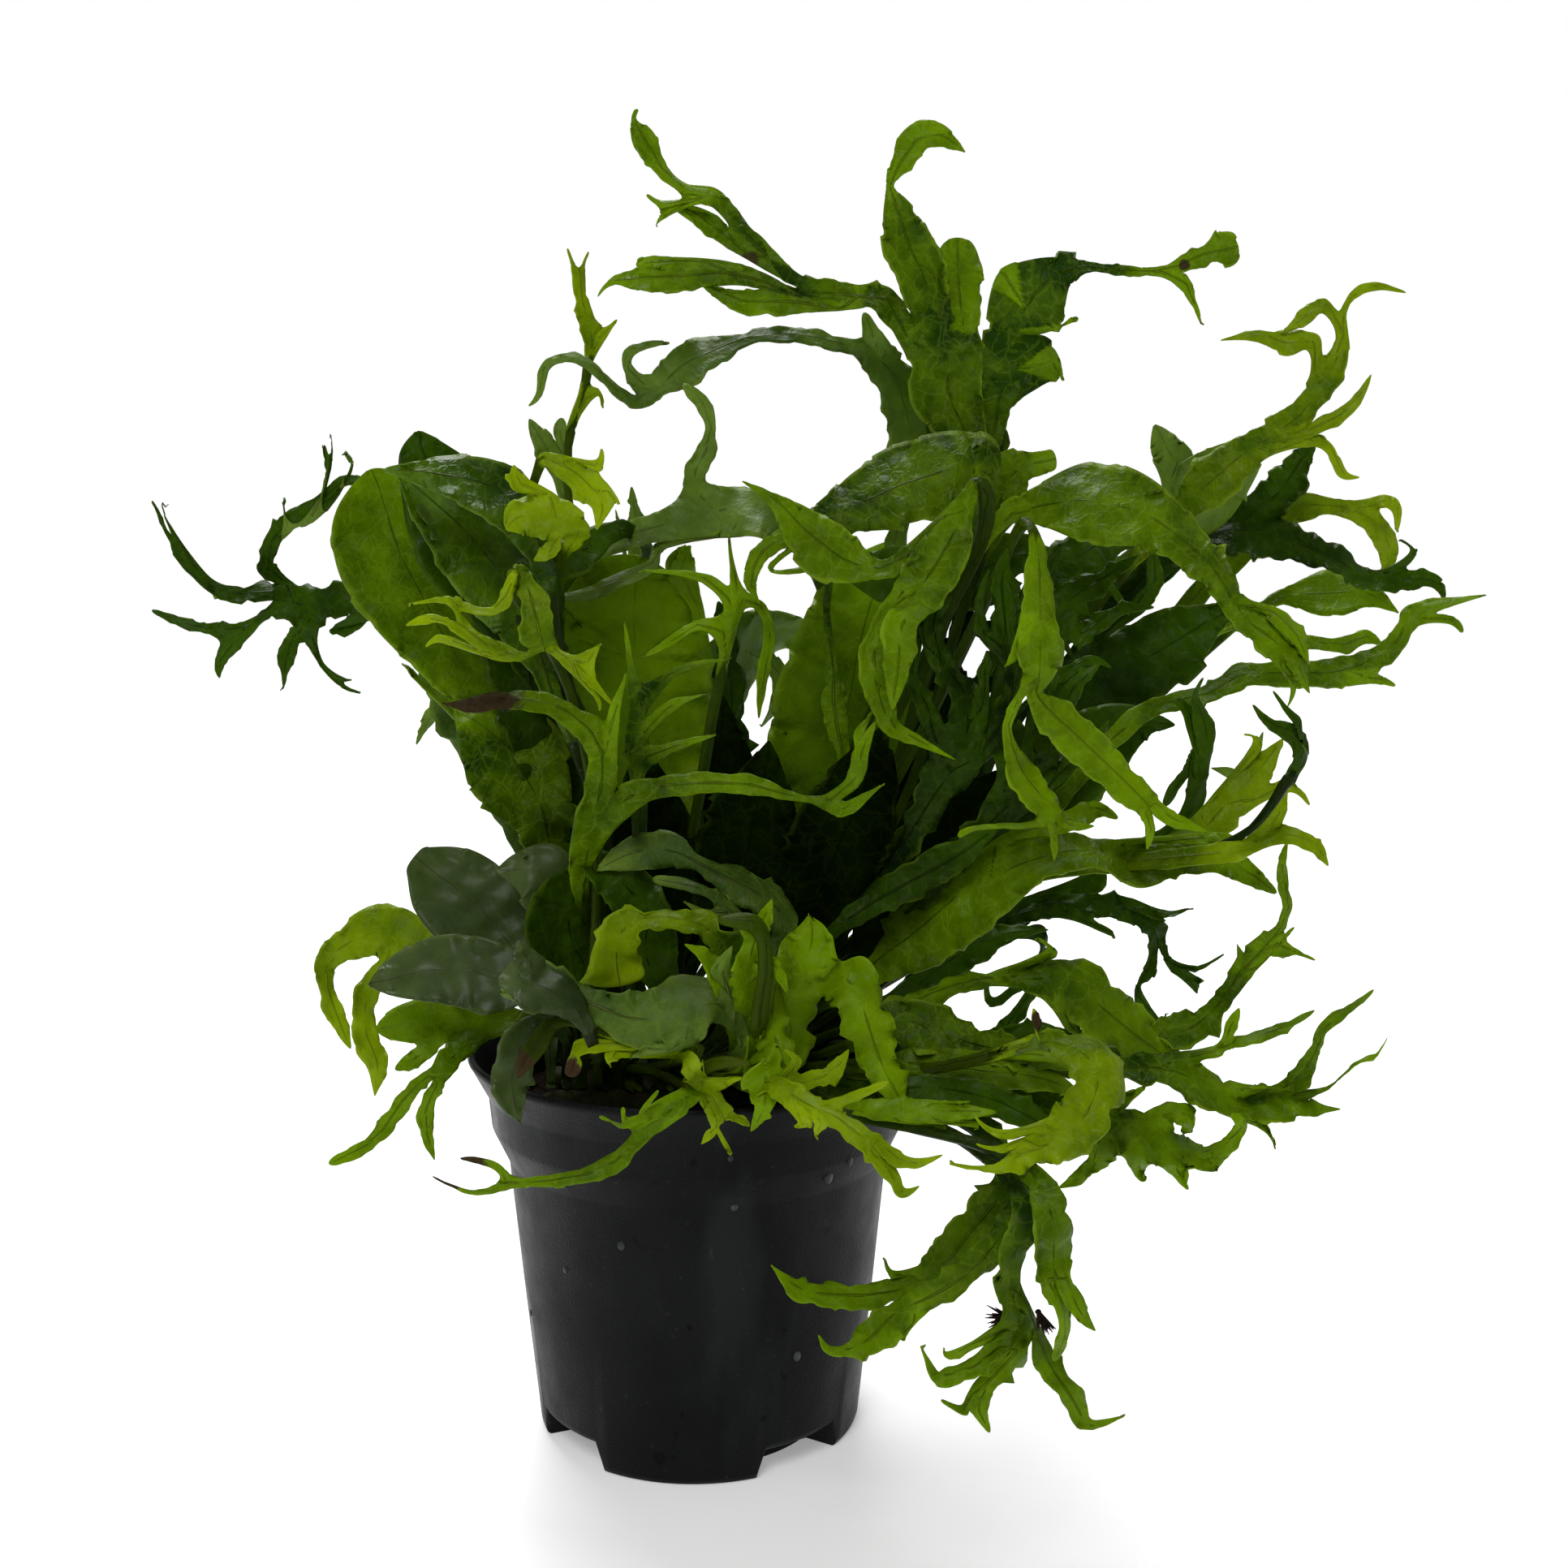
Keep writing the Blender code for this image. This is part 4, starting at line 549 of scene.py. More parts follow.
# %% [markdown]
# The pot was watered before the picture, and a few drops cling to it. One drop is a ball pressed flat.
# It is copied to each place, given as (turn, height, size), turned to face away from the pot's axis and
# left half sunk in the wall. A drop shows the black wall behind it, so its finish is dark and glossy.

# %% Drops on the pot
DROP_PLACES = [(-77.6, 55.8, 0.8), (-109.8, 47.6, 0.8), (-50.4, 59.0, 1.1), (-79.4, 66.0, 0.6),
               (-44.0, 61.3, 0.8), (-55.5, 23.7, 0.9), (-126.0, 58.0, 0.7), (-131.0, 40.0, 0.6),
               (20.0, 40.0, 0.9), (75.0, 47.0, 0.8), (110.0, 30.0, 0.7), (160.0, 52.0, 0.9),
               (200.0, 25.0, 0.6)]


def outer_radius(height):
    """How far the pot's wall stands from its axis at a height."""
    walls = sorted((z, r) for r, z in pot_profile[12:24])
    return float(np.interp(height, [z for z, r in walls], [r for z, r in walls]))


drop = start(bpy.ops.mesh.primitive_uv_sphere_add, segments=12, ring_count=8, radius=1.0 * MM)
bpy.ops.transform.resize(value=(0.45, 0.9, 1.15))
bpy.ops.object.mode_set(mode="OBJECT")
drops = []
for angle, height, size in DROP_PLACES:
    away = Matrix.Rotation(radians(angle), 4, "Z")
    spot = away @ Vector((outer_radius(height) * MM, 0.0, height * MM))
    one = copy_of(drop)
    one.data.transform(Matrix.Translation(spot) @ away @ Matrix.Scale(size, 4))
    drops.append(one)
bpy.data.objects.remove(drop)
drops = join(drops)
water, tree, shader = new_material("water", Roughness=0.12, IOR=1.33, Specular_IOR_Level=0.3)
cloud = group_node(tree, unevenness, {"Patch Scale": 300.0})
wire(tree, {"Base Color": mix(tree, cloud["Patches"], srgb(30, 33, 33), srgb(62, 66, 62))}, shader.inputs)
bpy.ops.object.mode_set(mode="EDIT")
finish(drops, "drops_on_pot", [water])
print("the pot carries", len(DROP_PLACES), "drops")

# %% [markdown]
# The growing medium is damp coconut fibre. Its block is a disc carried outwards and down in rings, as
# the pot was, with its top then pushed up and down by a few waves that run in random directions.

# %% Growing medium
SOIL_TOP = 65.5
SOIL_BOTTOM = 7.4
SOIL_SIDES = 72
dice = np.random.default_rng(7)

soil_profile = [(2.0 + 2.0 * k, SOIL_TOP) for k in range(17)]
soil_profile += [(BAND_RADIUS - 3.6, SOIL_TOP - 0.6), (BAND_RADIUS - 2.6, SOIL_TOP - 2.4),
                 (BAND_RADIUS - 3.2, SHOULDER_TOP + 0.6), (NECK_RADIUS - 1.8, SHOULDER_BOTTOM - 1.0),
                 (FOOT_RADIUS - 1.6, SOIL_BOTTOM)]
soil = turned_shape(soil_profile, SOIL_SIDES)


def bumps(places, wave, rng, count=7):
    """A smooth random height at every place, about -1 to 1, made of a few waves in random directions."""
    total = np.zeros(len(places))
    for k in range(count):
        way = rng.normal(size=3)
        way *= 2.0 * pi / (wave * rng.uniform(0.7, 1.5)) / np.linalg.norm(way)
        total += np.sin(places @ way + rng.uniform(0.0, 2.0 * pi))
    return total / np.sqrt(count)


spots = all_places(soil.data) / MM
top = (spots[:, 2] > SOIL_TOP - 0.1)
spots[:, 2] += np.where(top, 0.55 * bumps(spots, 9.0, dice) + 0.3 * bumps(spots, 3.4, dice) - 0.5, 0.0)
put_places(soil.data, spots * MM)
print(int(top.sum()), "vertices of the medium's top are pushed up or down")

# %% [markdown]
# Chips and short fibres lie on the medium. One chip is a bevelled block and one fibre a thin rod, cut
# twice and bent. Each is copied to many places with a fixed seed, at any angle and a little larger or
# smaller, so that no two look the same.

# %% Chips and fibres
CHIPS = 230
FIBRES = 150


def scatter(model, count, low, high, reach, rng, lengths):
    """Copies a small model to random places on a round bed, lying at random angles."""
    copies = [model]
    for _ in range(count):
        copy = copy_of(model)
        far, angle = reach * np.sqrt(rng.uniform(0.0, 1.0)), rng.uniform(0.0, 2.0 * pi)
        spot = Vector((far * cos(angle), far * sin(angle), rng.uniform(low, high))) * MM
        turned = Matrix.Rotation(angle * 7.0, 4, "Z") @ Matrix.Rotation(rng.normal(0.0, 0.25), 4, "Y")
        size = rng.uniform(*lengths)
        grown = Matrix.Diagonal((size, rng.uniform(0.6, 1.3), rng.uniform(0.6, 1.3), 1.0))
        rolled = Matrix.Rotation(rng.uniform(0, 6.28), 4, "X")
        copy.data.transform(Matrix.Translation(spot) @ turned @ rolled @ grown)
        copies.append(copy)
    return copies


chip = start(bpy.ops.mesh.primitive_cube_add, size=1.0 * MM, location=(0.0, 0.0, 0.0))
bpy.ops.transform.resize(value=(2.8, 1.3, 0.8))
bpy.ops.mesh.bevel(offset=0.22 * MM, segments=1)
bpy.ops.object.mode_set(mode="OBJECT")
chips = scatter(chip, CHIPS, SOIL_TOP - 0.2, SOIL_TOP + 0.5, BAND_RADIUS - 5.0, dice, (0.5, 1.6))
fibre = start(bpy.ops.mesh.primitive_cylinder_add, vertices=5, radius=0.12 * MM, depth=9.0 * MM,
              rotation=(0.0, radians(90.0), 0.0))
bpy.ops.mesh.bisect(plane_co=(1.4 * MM, 0.0, 0.0), plane_no=(1.0, 0.0, 0.0))
bpy.ops.mesh.select_all(action="SELECT")
bpy.ops.mesh.bisect(plane_co=(-1.4 * MM, 0.0, 0.0), plane_no=(1.0, 0.0, 0.0))
bpy.ops.object.mode_set(mode="OBJECT")
bpy.ops.object.transform_apply(location=True, rotation=True, scale=True)
arched = all_places(fibre.data)
arched[:, 2] -= 18.0 * arched[:, 0] ** 2
put_places(fibre.data, arched)
fibres = scatter(fibre, FIBRES, SOIL_TOP + 0.1, SOIL_TOP + 0.8, BAND_RADIUS - 6.5, dice, (0.5, 1.3))
for first in (chip, fibre):
    first.data.transform(Matrix.Translation((0.0, 8.0 * MM, SOIL_TOP * MM)))
medium = join([soil] + chips + fibres)
print(CHIPS + 1, "chips and", FIBRES + 1, "fibres lie on the medium")

# %% [markdown]
# Damp coconut fibre is nearly black, with brown grains where it has dried. It is the roughest surface
# here and hardly shines, so its gloss is turned down and the grain is raised.

# %% Coconut fibre
coir, tree, shader = new_material("coir", Specular_IOR_Level=0.02)
cloud = group_node(tree, unevenness, {"Patch Scale": 160.0, "Grain Scale": 1900.0, "Rough": 0.8,
                                      "Rough Spread": 0.3})
tone = mix(tree, cloud["Patches"], srgb(5, 4, 3), srgb(20, 15, 10))
tone = mix(tree, step(tree, cloud["Grain"], 0.45, 0.75), tone, srgb(38, 28, 18))
wire(tree, {"Base Color": tone, "Roughness": cloud["Roughness"]}, shader.inputs)
bump(tree, shader, cloud["Grain"], 0.0006)
bpy.ops.object.mode_set(mode="EDIT")
finish(medium, "coir_medium", [coir], ["growing_medium"], angle=50.0)
print("the medium has", triangles(medium), "triangles")

# %% [markdown]
# A java fern creeps on a rhizome: a green-brown stem with a joint every few millimetres, dark scales
# and a beard of hair-fine roots that hold it to whatever it lies on. Both finishes are dark and dull.

# %% Finishes of the rhizomes
bark, tree, shader = new_material("rhizome_bark", Specular_IOR_Level=0.1)
cloud = group_node(tree, unevenness, {"Patch Scale": 220.0, "Grain Scale": 2400.0, "Rough": 0.6,
                                      "Rough Spread": 0.3})
tone = mix(tree, cloud["Patches"], srgb(22, 26, 8), srgb(48, 54, 18))
tone = mix(tree, step(tree, cloud["Grain"], 0.5, 0.72), tone, srgb(40, 26, 16))
wire(tree, {"Base Color": tone, "Roughness": cloud["Roughness"]}, shader.inputs)
bump(tree, shader, cloud["Grain"], 0.0005)
root_skin, tree, shader = new_material("root_skin", Specular_IOR_Level=0.05)
cloud = group_node(tree, unevenness, {"Patch Scale": 400.0, "Rough": 0.75})
wire(tree, {"Base Color": mix(tree, cloud["Patches"], srgb(16, 11, 7), srgb(42, 29, 18)),
            "Roughness": cloud["Roughness"]}, shader.inputs)
print("the rhizomes have the finishes", bark.name, "and", root_skin.name)

# %% [markdown]
# The stem is a disc carried along X in rings that swell and shrink, as the joints do. It gets thinner
# towards both ends. A few random waves then dent it.

# %% Stems of the rhizomes
RHIZOME_TOP = 71.5
RHIZOME_HEIGHT = (SOIL_TOP + RHIZOME_TOP) / 2
RHIZOME_HALF_LENGTH = 29.5
RHIZOME_ROWS = {"back": 17.0, "middle": 0.0, "front": -17.0}
RHIZOME_SIDES = 16
RINGS = 44


def make_stem(middle, rng):
    """A jointed stem along X, a little dented."""
    step_along = 2.0 * RHIZOME_HALF_LENGTH / (RINGS - 1)
    centre = RHIZOME_HEIGHT
    size = 1.2
    stem = start(bpy.ops.mesh.primitive_circle_add, vertices=RHIZOME_SIDES, radius=size * MM,
                 fill_type="NGON", location=(-RHIZOME_HALF_LENGTH * MM, middle * MM, centre * MM),
                 rotation=(0.0, radians(90.0), 0.0))
    bpy.ops.mesh.select_mode(type="EDGE")
    for k in range(1, RINGS):
        bpy.ops.mesh.extrude_edges_move(TRANSFORM_OT_translate={"value": (step_along * MM, 0.0, 0.0)})
        end = min(k, RINGS - 1 - k)
        grown = 2.75 * min(1.0, 0.45 + 0.2 * end) + 0.28 * sin(k * 1.9) + rng.uniform(-0.12, 0.12)
        along = (-RHIZOME_HALF_LENGTH + k * step_along) * MM
        bpy.ops.transform.resize(value=(1.0, grown / size, grown / size),
                                 center_override=(along, middle * MM, centre * MM))
        size = grown
    close_up(stem)
    spots = all_places(stem.data) / MM
    spots += 0.16 * bumps(spots, 4.0, rng)[:, None] * (spots - [0.0, middle, centre]) * [0.0, 1.0, 1.0]
    put_places(stem.data, spots * MM)
    stem.data.materials.append(bark)
    return stem


print("a rhizome is", 2.0 * RHIZOME_HALF_LENGTH, "mm long, in", RINGS, "rings")

# %% [markdown]
# A root is a thin cone that is cut three times, so that it can bend. It is copied to both sides of the
# stem, and each copy is bent down by moving its vertices, more the further they are from the stem.

# %% Roots of the rhizomes
ROOTS = 90


def make_rhizome(row, middle):
    """A stem with its roots joined on."""
    rng = np.random.default_rng(int(middle) + 40)
    stem = make_stem(middle, rng)
    hair = start(bpy.ops.mesh.primitive_cone_add, vertices=5, radius1=0.2 * MM, radius2=0.04 * MM,
                 depth=6.0 * MM, location=(0.0, 0.0, 0.0))
    for cut in (-1.5, 0.0, 1.5):
        bpy.ops.mesh.select_all(action="SELECT")
        bpy.ops.mesh.bisect(plane_co=(0.0, 0.0, cut * MM), plane_no=(0.0, 0.0, 1.0))
    bpy.ops.object.mode_set(mode="OBJECT")
    hair.data.materials.append(root_skin)
    reach = all_places(hair.data)
    reach[:, 2] += 3.0 * MM
    roots = [stem]
    for k in range(ROOTS):
        root = copy_of(hair)
        side = -1.0 if k % 2 else 1.0
        length, drop = rng.uniform(0.5, 1.3), rng.uniform(55.0, 110.0)
        bent = reach.copy()
        out = bent[:, 2] * length
        sideways = rng.normal(0.0, 0.35)
        along = rng.uniform(-1.0, 1.0) * (RHIZOME_HALF_LENGTH - 2.0) * MM
        put_places(root.data, np.stack([along + bent[:, 0] + out * sideways,
                                        (middle + side * 2.0) * MM + side * out * 0.8 + bent[:, 1],
                                        (RHIZOME_HEIGHT - 1.0) * MM + out * 0.35 - drop * out ** 2], -1))
        roots.append(root)
    bpy.data.objects.remove(hair)
    whole = join(roots)
    bpy.ops.object.mode_set(mode="EDIT")
    return finish(whole, "rhizome_with_roots_" + row, [], ["rhizome_" + row], angle=60.0)


for row, middle in RHIZOME_ROWS.items():
    whole = make_rhizome(row, middle)
    print(whole.name, "has", triangles(whole), "triangles")

# %% [markdown]
# A frond is drawn in the picture first. A row of it is (across, up, half width, near) in millimetres:
# a place in the upright plane through the pot's axis as the eye sees it, the half width there, and how
# far it then comes towards the eye, which is left out where it is as in the row before. Moving a row
# nearer changes nothing in the camera's view, so the outline can be drawn from the photograph and the
# depth chosen by how the plant grows. Stalks start on a rhizome, at one of its numbered places.

# %% Places of a frond's rows
STALK_STEP = 3.0
STALKS = 19
STALK_HALF_WIDTH = 0.9
STALK_RISE = 4.0
GAP = 0.3
LEFT, RIGHT, END = 0, 1, 2


def seen(across, up, near, turn=0.0):
    """The place, in mm, of a point drawn as the eye sees it. A turn of 180 draws it from behind."""
    share = near / EYE_AWAY
    place = Vector((across + (EYE_ACROSS - across) * share, -near, up + (EYE_UP - up) * share))
    return Matrix.Rotation(radians(turn), 3, "Z") @ place


def stalk_start(row, place, height, turn=0.0):
    """A point of a stalk that stands on its rhizome, as the eye sees it."""
    foot = Vector(((place - (STALKS - 1) / 2) * STALK_STEP, RHIZOME_ROWS[row], RHIZOME_TOP + height))
    foot = Matrix.Rotation(radians(-turn), 3, "Z") @ foot
    share = -foot.y / EYE_AWAY
    return (foot.x - EYE_ACROSS * share) / (1.0 - share), (foot.z - EYE_UP * share) / (1.0 - share), -foot.y


def left(after, rows, *fingers):
    """A finger on the left margin, between the row numbered after and the next one."""
    return {"side": LEFT, "after": after, "rows": rows, "fingers": fingers}


def right(after, rows, *fingers):
    return {"side": RIGHT, "after": after, "rows": rows, "fingers": fingers}


def fork(rows, *fingers):
    """One of the two fingers that the end of a strip splits into, the left one first."""
    return {"side": END, "rows": rows, "fingers": fingers}


def filled(rows, near):
    """The rows with near written into each: its own, or else that of the row before."""
    whole = []
    for across, up, half, *own in rows:
        near = own[0] if own else near
        whole.append((across, up, near, half))
    return whole


print(STALKS, "places for a stalk on each rhizome")


# %% [markdown]
# The leaf's cage is modelled as by hand: a plane is the foot of the stalk, and its top edge is
# extruded row by row. A finger is extruded from an edge of the margin, and an end fork from the two
# halves of the last edge, which is subdivided once. Each row also leaves a piece of the rib, from
# which the veins, the ruffles and the thickness are worked out later.

# %% Cage of a frond
WIDEST_STALK = 1.75


class Cage:
    """One frond's cage in edit mode, with each vertex as it was drawn and the ribs of its strips."""

    def __init__(self, stands, tilt, turn):
        self.tilt = tilt
        self.turn = turn
        self.drawn = []
        self.ribs = []
        self.piece = start(bpy.ops.mesh.primitive_plane_add, size=1.0 * MM)
        bpy.ops.mesh.select_mode(type="EDGE")
        for height in (GAP, STALK_RISE):
            spot = stalk_start(*stands, height, turn)
            for side in (-STALK_HALF_WIDTH, STALK_HALF_WIDTH):
                self.drawn.append(self.corner(spot, (side, 0.0)))
        self.settle(range(4))

    def corner(self, centre, offset):
        lean = -self.tilt[0] * offset[0] - self.tilt[1] * offset[1]
        return centre[0] + offset[0], centre[1] + offset[1], centre[2] + lean

    def settle(self, numbers):
        """Moves the vertices with these numbers to where they were drawn."""
        cage = bmesh.from_edit_mesh(self.piece.data)
        cage.verts.ensure_lookup_table()
        for number in numbers:
            cage.verts[number].co = seen(*self.drawn[number], self.turn) * MM
        bmesh.update_edit_mesh(self.piece.data, loop_triangles=False)

    def pick_edge(self, pair):
        bpy.ops.mesh.select_all(action="DESELECT")
        cage = bmesh.from_edit_mesh(self.piece.data)
        cage.verts.ensure_lookup_table()
        cage.edges.get([cage.verts[k] for k in pair]).select_set(True)

    def extrude(self, pair, left, right):
        """Extrudes an edge to two drawn corners and returns the numbers of its new ends."""
        self.pick_edge(pair)
        bpy.ops.mesh.extrude_edges_move()
        cage = bmesh.from_edit_mesh(self.piece.data)
        cage.verts.ensure_lookup_table()
        count = len(cage.verts)
        grown = [k for k in (count - 2, count - 1) if cage.edges.get([cage.verts[pair[0]], cage.verts[k]])]
        new_left = grown[0]
        new_right = 2 * count - 3 - new_left
        self.drawn += [None, None]
        self.drawn[new_left] = left
        self.drawn[new_right] = right
        self.settle((new_left, new_right))
        return new_left, new_right

    def split(self, pair):
        """Puts a vertex in the middle of an edge and returns its number."""
        self.pick_edge(pair)
        bpy.ops.mesh.subdivide(number_cuts=1, ngon=True)
        self.drawn.append(tuple((p + q) / 2 for p, q in zip(self.drawn[pair[0]], self.drawn[pair[1]])))
        return len(self.drawn) - 1

    def middle(self, pair):
        return seen(*[(p + q) / 2 for p, q in zip(self.drawn[pair[0]], self.drawn[pair[1]])], self.turn)

    def half(self, pair):
        return (seen(*self.drawn[pair[0]], self.turn) - seen(*self.drawn[pair[1]], self.turn)).length / 2

    def carry_on(self, edge, rows, fingers, along, near=None, source=None, stalk=False):
        """Carries a strip on from an edge, then grows its fingers. Returns its length to its last tip."""
        rows = filled(rows, near)
        begin = [(self.drawn[edge[0]][k] + self.drawn[edge[1]][k]) / 2 for k in (0, 1)]
        path = [begin] + [row[:2] for row in rows]
        edges = [edge]
        for k, (across, up, near, half) in enumerate(rows):
            back = Vector(path[k + 1]) - Vector(path[k])
            ahead = Vector(path[k + 2]) - Vector(path[k + 1]) if k + 2 < len(path) else back
            way = (back.normalized() + ahead.normalized()).normalized()
            offset = (-way.y * half, way.x * half)
            edges.append(self.extrude(edges[-1], self.corner((across, up, near), offset),
                                      self.corner((across, up, near), (-offset[0], -offset[1]))))
        spots = [self.middle(pair) for pair in edges]
        halves = [self.half(pair) for pair in edges]
        if source is not None:
            spots.insert(0, source)
            halves.insert(0, halves[0])
        runs = [0.0]
        for here, there in zip(spots, spots[1:]):
            runs.append(runs[-1] + (there - here).length)
        skipped = 0 if source is None else 1
        beyond = 0.0
        ends = [f for f in fingers if f["side"] == END]
        if ends:
            centre = self.split(edges[-1])
            for f, pair in zip(ends, ((edges[-1][0], centre), (centre, edges[-1][1]))):
                reach = self.carry_on(pair, f["rows"], f["fingers"], along + runs[-1], rows[-1][2], spots[-1])
                beyond = max(beyond, reach)
        for f in fingers:
            if f["side"] != END:
                after, side = f["after"], f["side"]
                low, high = edges[after][side], edges[after + 1][side]
                pair = (low, high) if side == LEFT else (high, low)
                at = after + skipped
                near = rows[after - 1][2] if after else None
                self.carry_on(pair, f["rows"], f["fingers"], along + runs[at], near, spots[at])
        total = runs[-1] + beyond
        bare = stalk
        for k in range(len(spots) - 1):
            bare = bare and halves[k + 1] < WIDEST_STALK
            self.ribs.append((*spots[k], *spots[k + 1], halves[k], halves[k + 1], along + runs[k],
                              along + runs[k + 1], total - runs[k], total - runs[k + 1], float(bare)))
        return total


print("a stalk is at most", 2.0 * WIDEST_STALK, "mm wide")

# %% [markdown]
# Subdivision smooths the cage, but it pulls every corner of the outline inwards. The cage is pushed
# out first by as much, so that the smooth margin runs through the corners that were drawn.

# %% Push the outline out
ROUNDS = 6


def firm_up(mesh, share=0.85):
    """Moves the cage so that the smooth margin passes near where the cage's corners were."""
    wanted = all_places(mesh)
    counts = {}
    for face in mesh.polygons:
        for pair in face.edge_keys:
            counts[pair] = counts.get(pair, 0) + 1
    beside = [[] for _ in mesh.vertices]
    for (a, b), count in counts.items():
        if count == 1:
            beside[a].append(b)
            beside[b].append(a)
    first = np.array([pair[0] for pair in beside])
    second = np.array([pair[-1] for pair in beside])
    moved = wanted.copy()
    for _ in range(ROUNDS):
        reached = (moved[first] + 4.0 * moved + moved[second]) / 6.0
        moved += (wanted - reached) * share
    put_places(mesh, moved)


print("a cage is pushed out in", ROUNDS, "rounds")

# %% [markdown]
# For every vertex of the smooth sheet the nearest piece of rib is found. It tells how far the vertex
# is from the rib, how close to the margin and to the tip, and which way is out. With that the sheet
# is moved as a sculptor would: it is cupped, twisted a little, ruffled and toothed along its margins.

# %% Nearest rib
THINNEST = 0.15


def nearest_rib(spots, ribs):
    """What the nearest rib says at every spot."""
    a, b = ribs[:, 0:3], ribs[:, 3:6]
    run = b - a
    length = np.maximum((run ** 2).sum(1), 1e-9)
    t = np.clip(((spots[:, None] - a) * run).sum(2) / length, 0.0, 1.0)
    foot = a + t[..., None] * run
    gap = np.linalg.norm(spots[:, None] - foot, axis=2)
    half = np.maximum(ribs[:, 6] + t * (ribs[:, 7] - ribs[:, 6]), THINNEST)
    pick = (gap / half).argmin(1)
    rows = np.arange(len(spots))
    t = t[rows, pick]

    def between(first, second):
        return ribs[pick, first] + t * (ribs[pick, second] - ribs[pick, first])

    found = {"gap": gap[rows, pick], "half": half[rows, pick], "out": spots - foot[rows, pick],
             "way": run[pick] / np.sqrt(length[pick])[:, None], "along": between(8, 9),
             "left": between(10, 11), "stalk": ribs[pick, 12]}
    found["share"] = np.clip(found["gap"] / found["half"], 0.0, 1.15)
    found["rib"] = (gap / np.minimum(0.3, 0.15 * half)).min(1)
    return found


print("a strip counts as at least", 2.0 * THINNEST, "mm wide")

# %% [markdown]
# A real margin is never smooth: it swings up and down in ruffles and has small teeth and gaps. Both
# come from waves of different lengths along the leaf, which never quite repeat, with a start that
# differs from frond to frond. The thickness goes from a round stalk over a thick rib to a thin margin.

# %% Ruffles, teeth and thickness
HIGHEST_LIFT = 2.6


def wave(along, length, phase):
    """A ruffle that never quite repeats."""
    turns = 2.0 * pi * along / length
    slow = 0.4 * np.sin(turns * 0.57 + phase)
    return (np.sin(turns + phase) + 0.6 * np.sin(turns * 1.73 + 2.3 * phase) + slow) / 1.5


def shape_blade(mesh, ribs, turn, rng, cup, ruffle, teeth, twist):
    """Moves the sheet's vertices and returns what the finish and the thickness need."""
    spots = all_places(mesh) / MM
    found = nearest_rib(spots, ribs)
    eye = np.array(Matrix.Rotation(radians(turn), 3, "Z") @ Vector((EYE_ACROSS, -EYE_AWAY, EYE_UP)))
    toward = eye - spots
    toward /= np.linalg.norm(toward, axis=1)[:, None]
    side = np.sign((np.cross(found["way"], toward) * found["out"]).sum(1))
    share, half, along = found["share"], found["half"], found["along"]
    phases = rng.uniform(0.0, 2.0 * pi, 5)
    free = np.clip(1.0 - found["stalk"], 0.0, 1.0) * np.clip(found["left"] / 3.0, 0.0, 1.0)
    swing = np.where(side > 0, phases[0], phases[1])
    size = np.clip(half / 5.0, 0.12, 1.0)
    lift = cup * half * share ** 2
    lift += ruffle * 2.0 * size * share ** 3 * wave(along, 7.0 + 3.0 * size, swing)
    lift += twist * np.minimum(half, 4.5) * side * share * wave(along, 46.0, phases[2])
    lift += 0.34 * bumps(spots, 5.5, rng) * np.clip(half / 3.0, 0.2, 1.0)
    lift += 0.5 * wave(along, 27.0, phases[3]) * np.clip(2.2 / np.maximum(half, 1.0), 0.2, 1.0)
    lift = np.clip(lift, -HIGHEST_LIFT, HIGHEST_LIFT) * free
    out = found["out"] / np.maximum(found["gap"], 1e-6)[:, None]
    spikes = np.maximum(wave(along, 5.7, swing * 5.0), 0.0) ** 3 * np.maximum(wave(along, 23.0, swing), 0.0)
    ragged = 0.5 * wave(along, 4.4, swing * 3.0) + wave(along, 11.0, swing * 2.0) + 1.8 * spikes
    push = teeth * 0.42 * np.clip(half / 2.0, 0.3, 1.5) * ragged * np.clip(share - 0.2, 0.0, 0.85) ** 2 * free
    put_places(mesh, (spots + toward * lift[:, None] + out * push[:, None]) * MM)
    return found


def leaf_thickness(found):
    """The share of the stalk's thickness at every vertex: round stalk, thick rib, thin margin."""
    share = np.clip(found["share"], 0.0, 1.0)
    round_stalk = np.sqrt(1.0 - 0.93 * share ** 2)
    thick_rib = 0.22 * np.exp(-(found["gap"] / 0.55) ** 2) * np.clip(found["half"] / 2, 0, 1)
    blade = 0.27 - 0.15 * share ** 3 + thick_rib
    blade *= np.clip(0.45 + found["left"] / 14.0, 0.45, 1.0)
    return found["stalk"] * round_stalk + (1.0 - found["stalk"]) * blade


print("ruffles lift a margin by up to", HIGHEST_LIFT, "mm")

# %% [markdown]
# One call makes a whole frond: cage, smooth sheet, shape, finish data and thickness. The side that
# faces the eye and the other side get their own finish, since a leaf's two sides differ. Young tips
# are paler than old blades, and a dead tip is named by its place in the picture and its reach.

# %% One frond from start to end
STALK_THICKNESS = 1.7
BROAD_LEAF = 7.0
leaf_count = 0
triangle_count = 0


def apply(piece, name, kind, **settings):
    modifier = piece.modifiers.new(name, kind)
    for label, value in settings.items():
        setattr(modifier, label, value)
    bpy.ops.object.modifier_apply(modifier=name)


def store(mesh, name, values):
    data = mesh.attributes.new(name, "FLOAT", "POINT").data
    data.foreach_set("value", np.ascontiguousarray(values, np.float32))


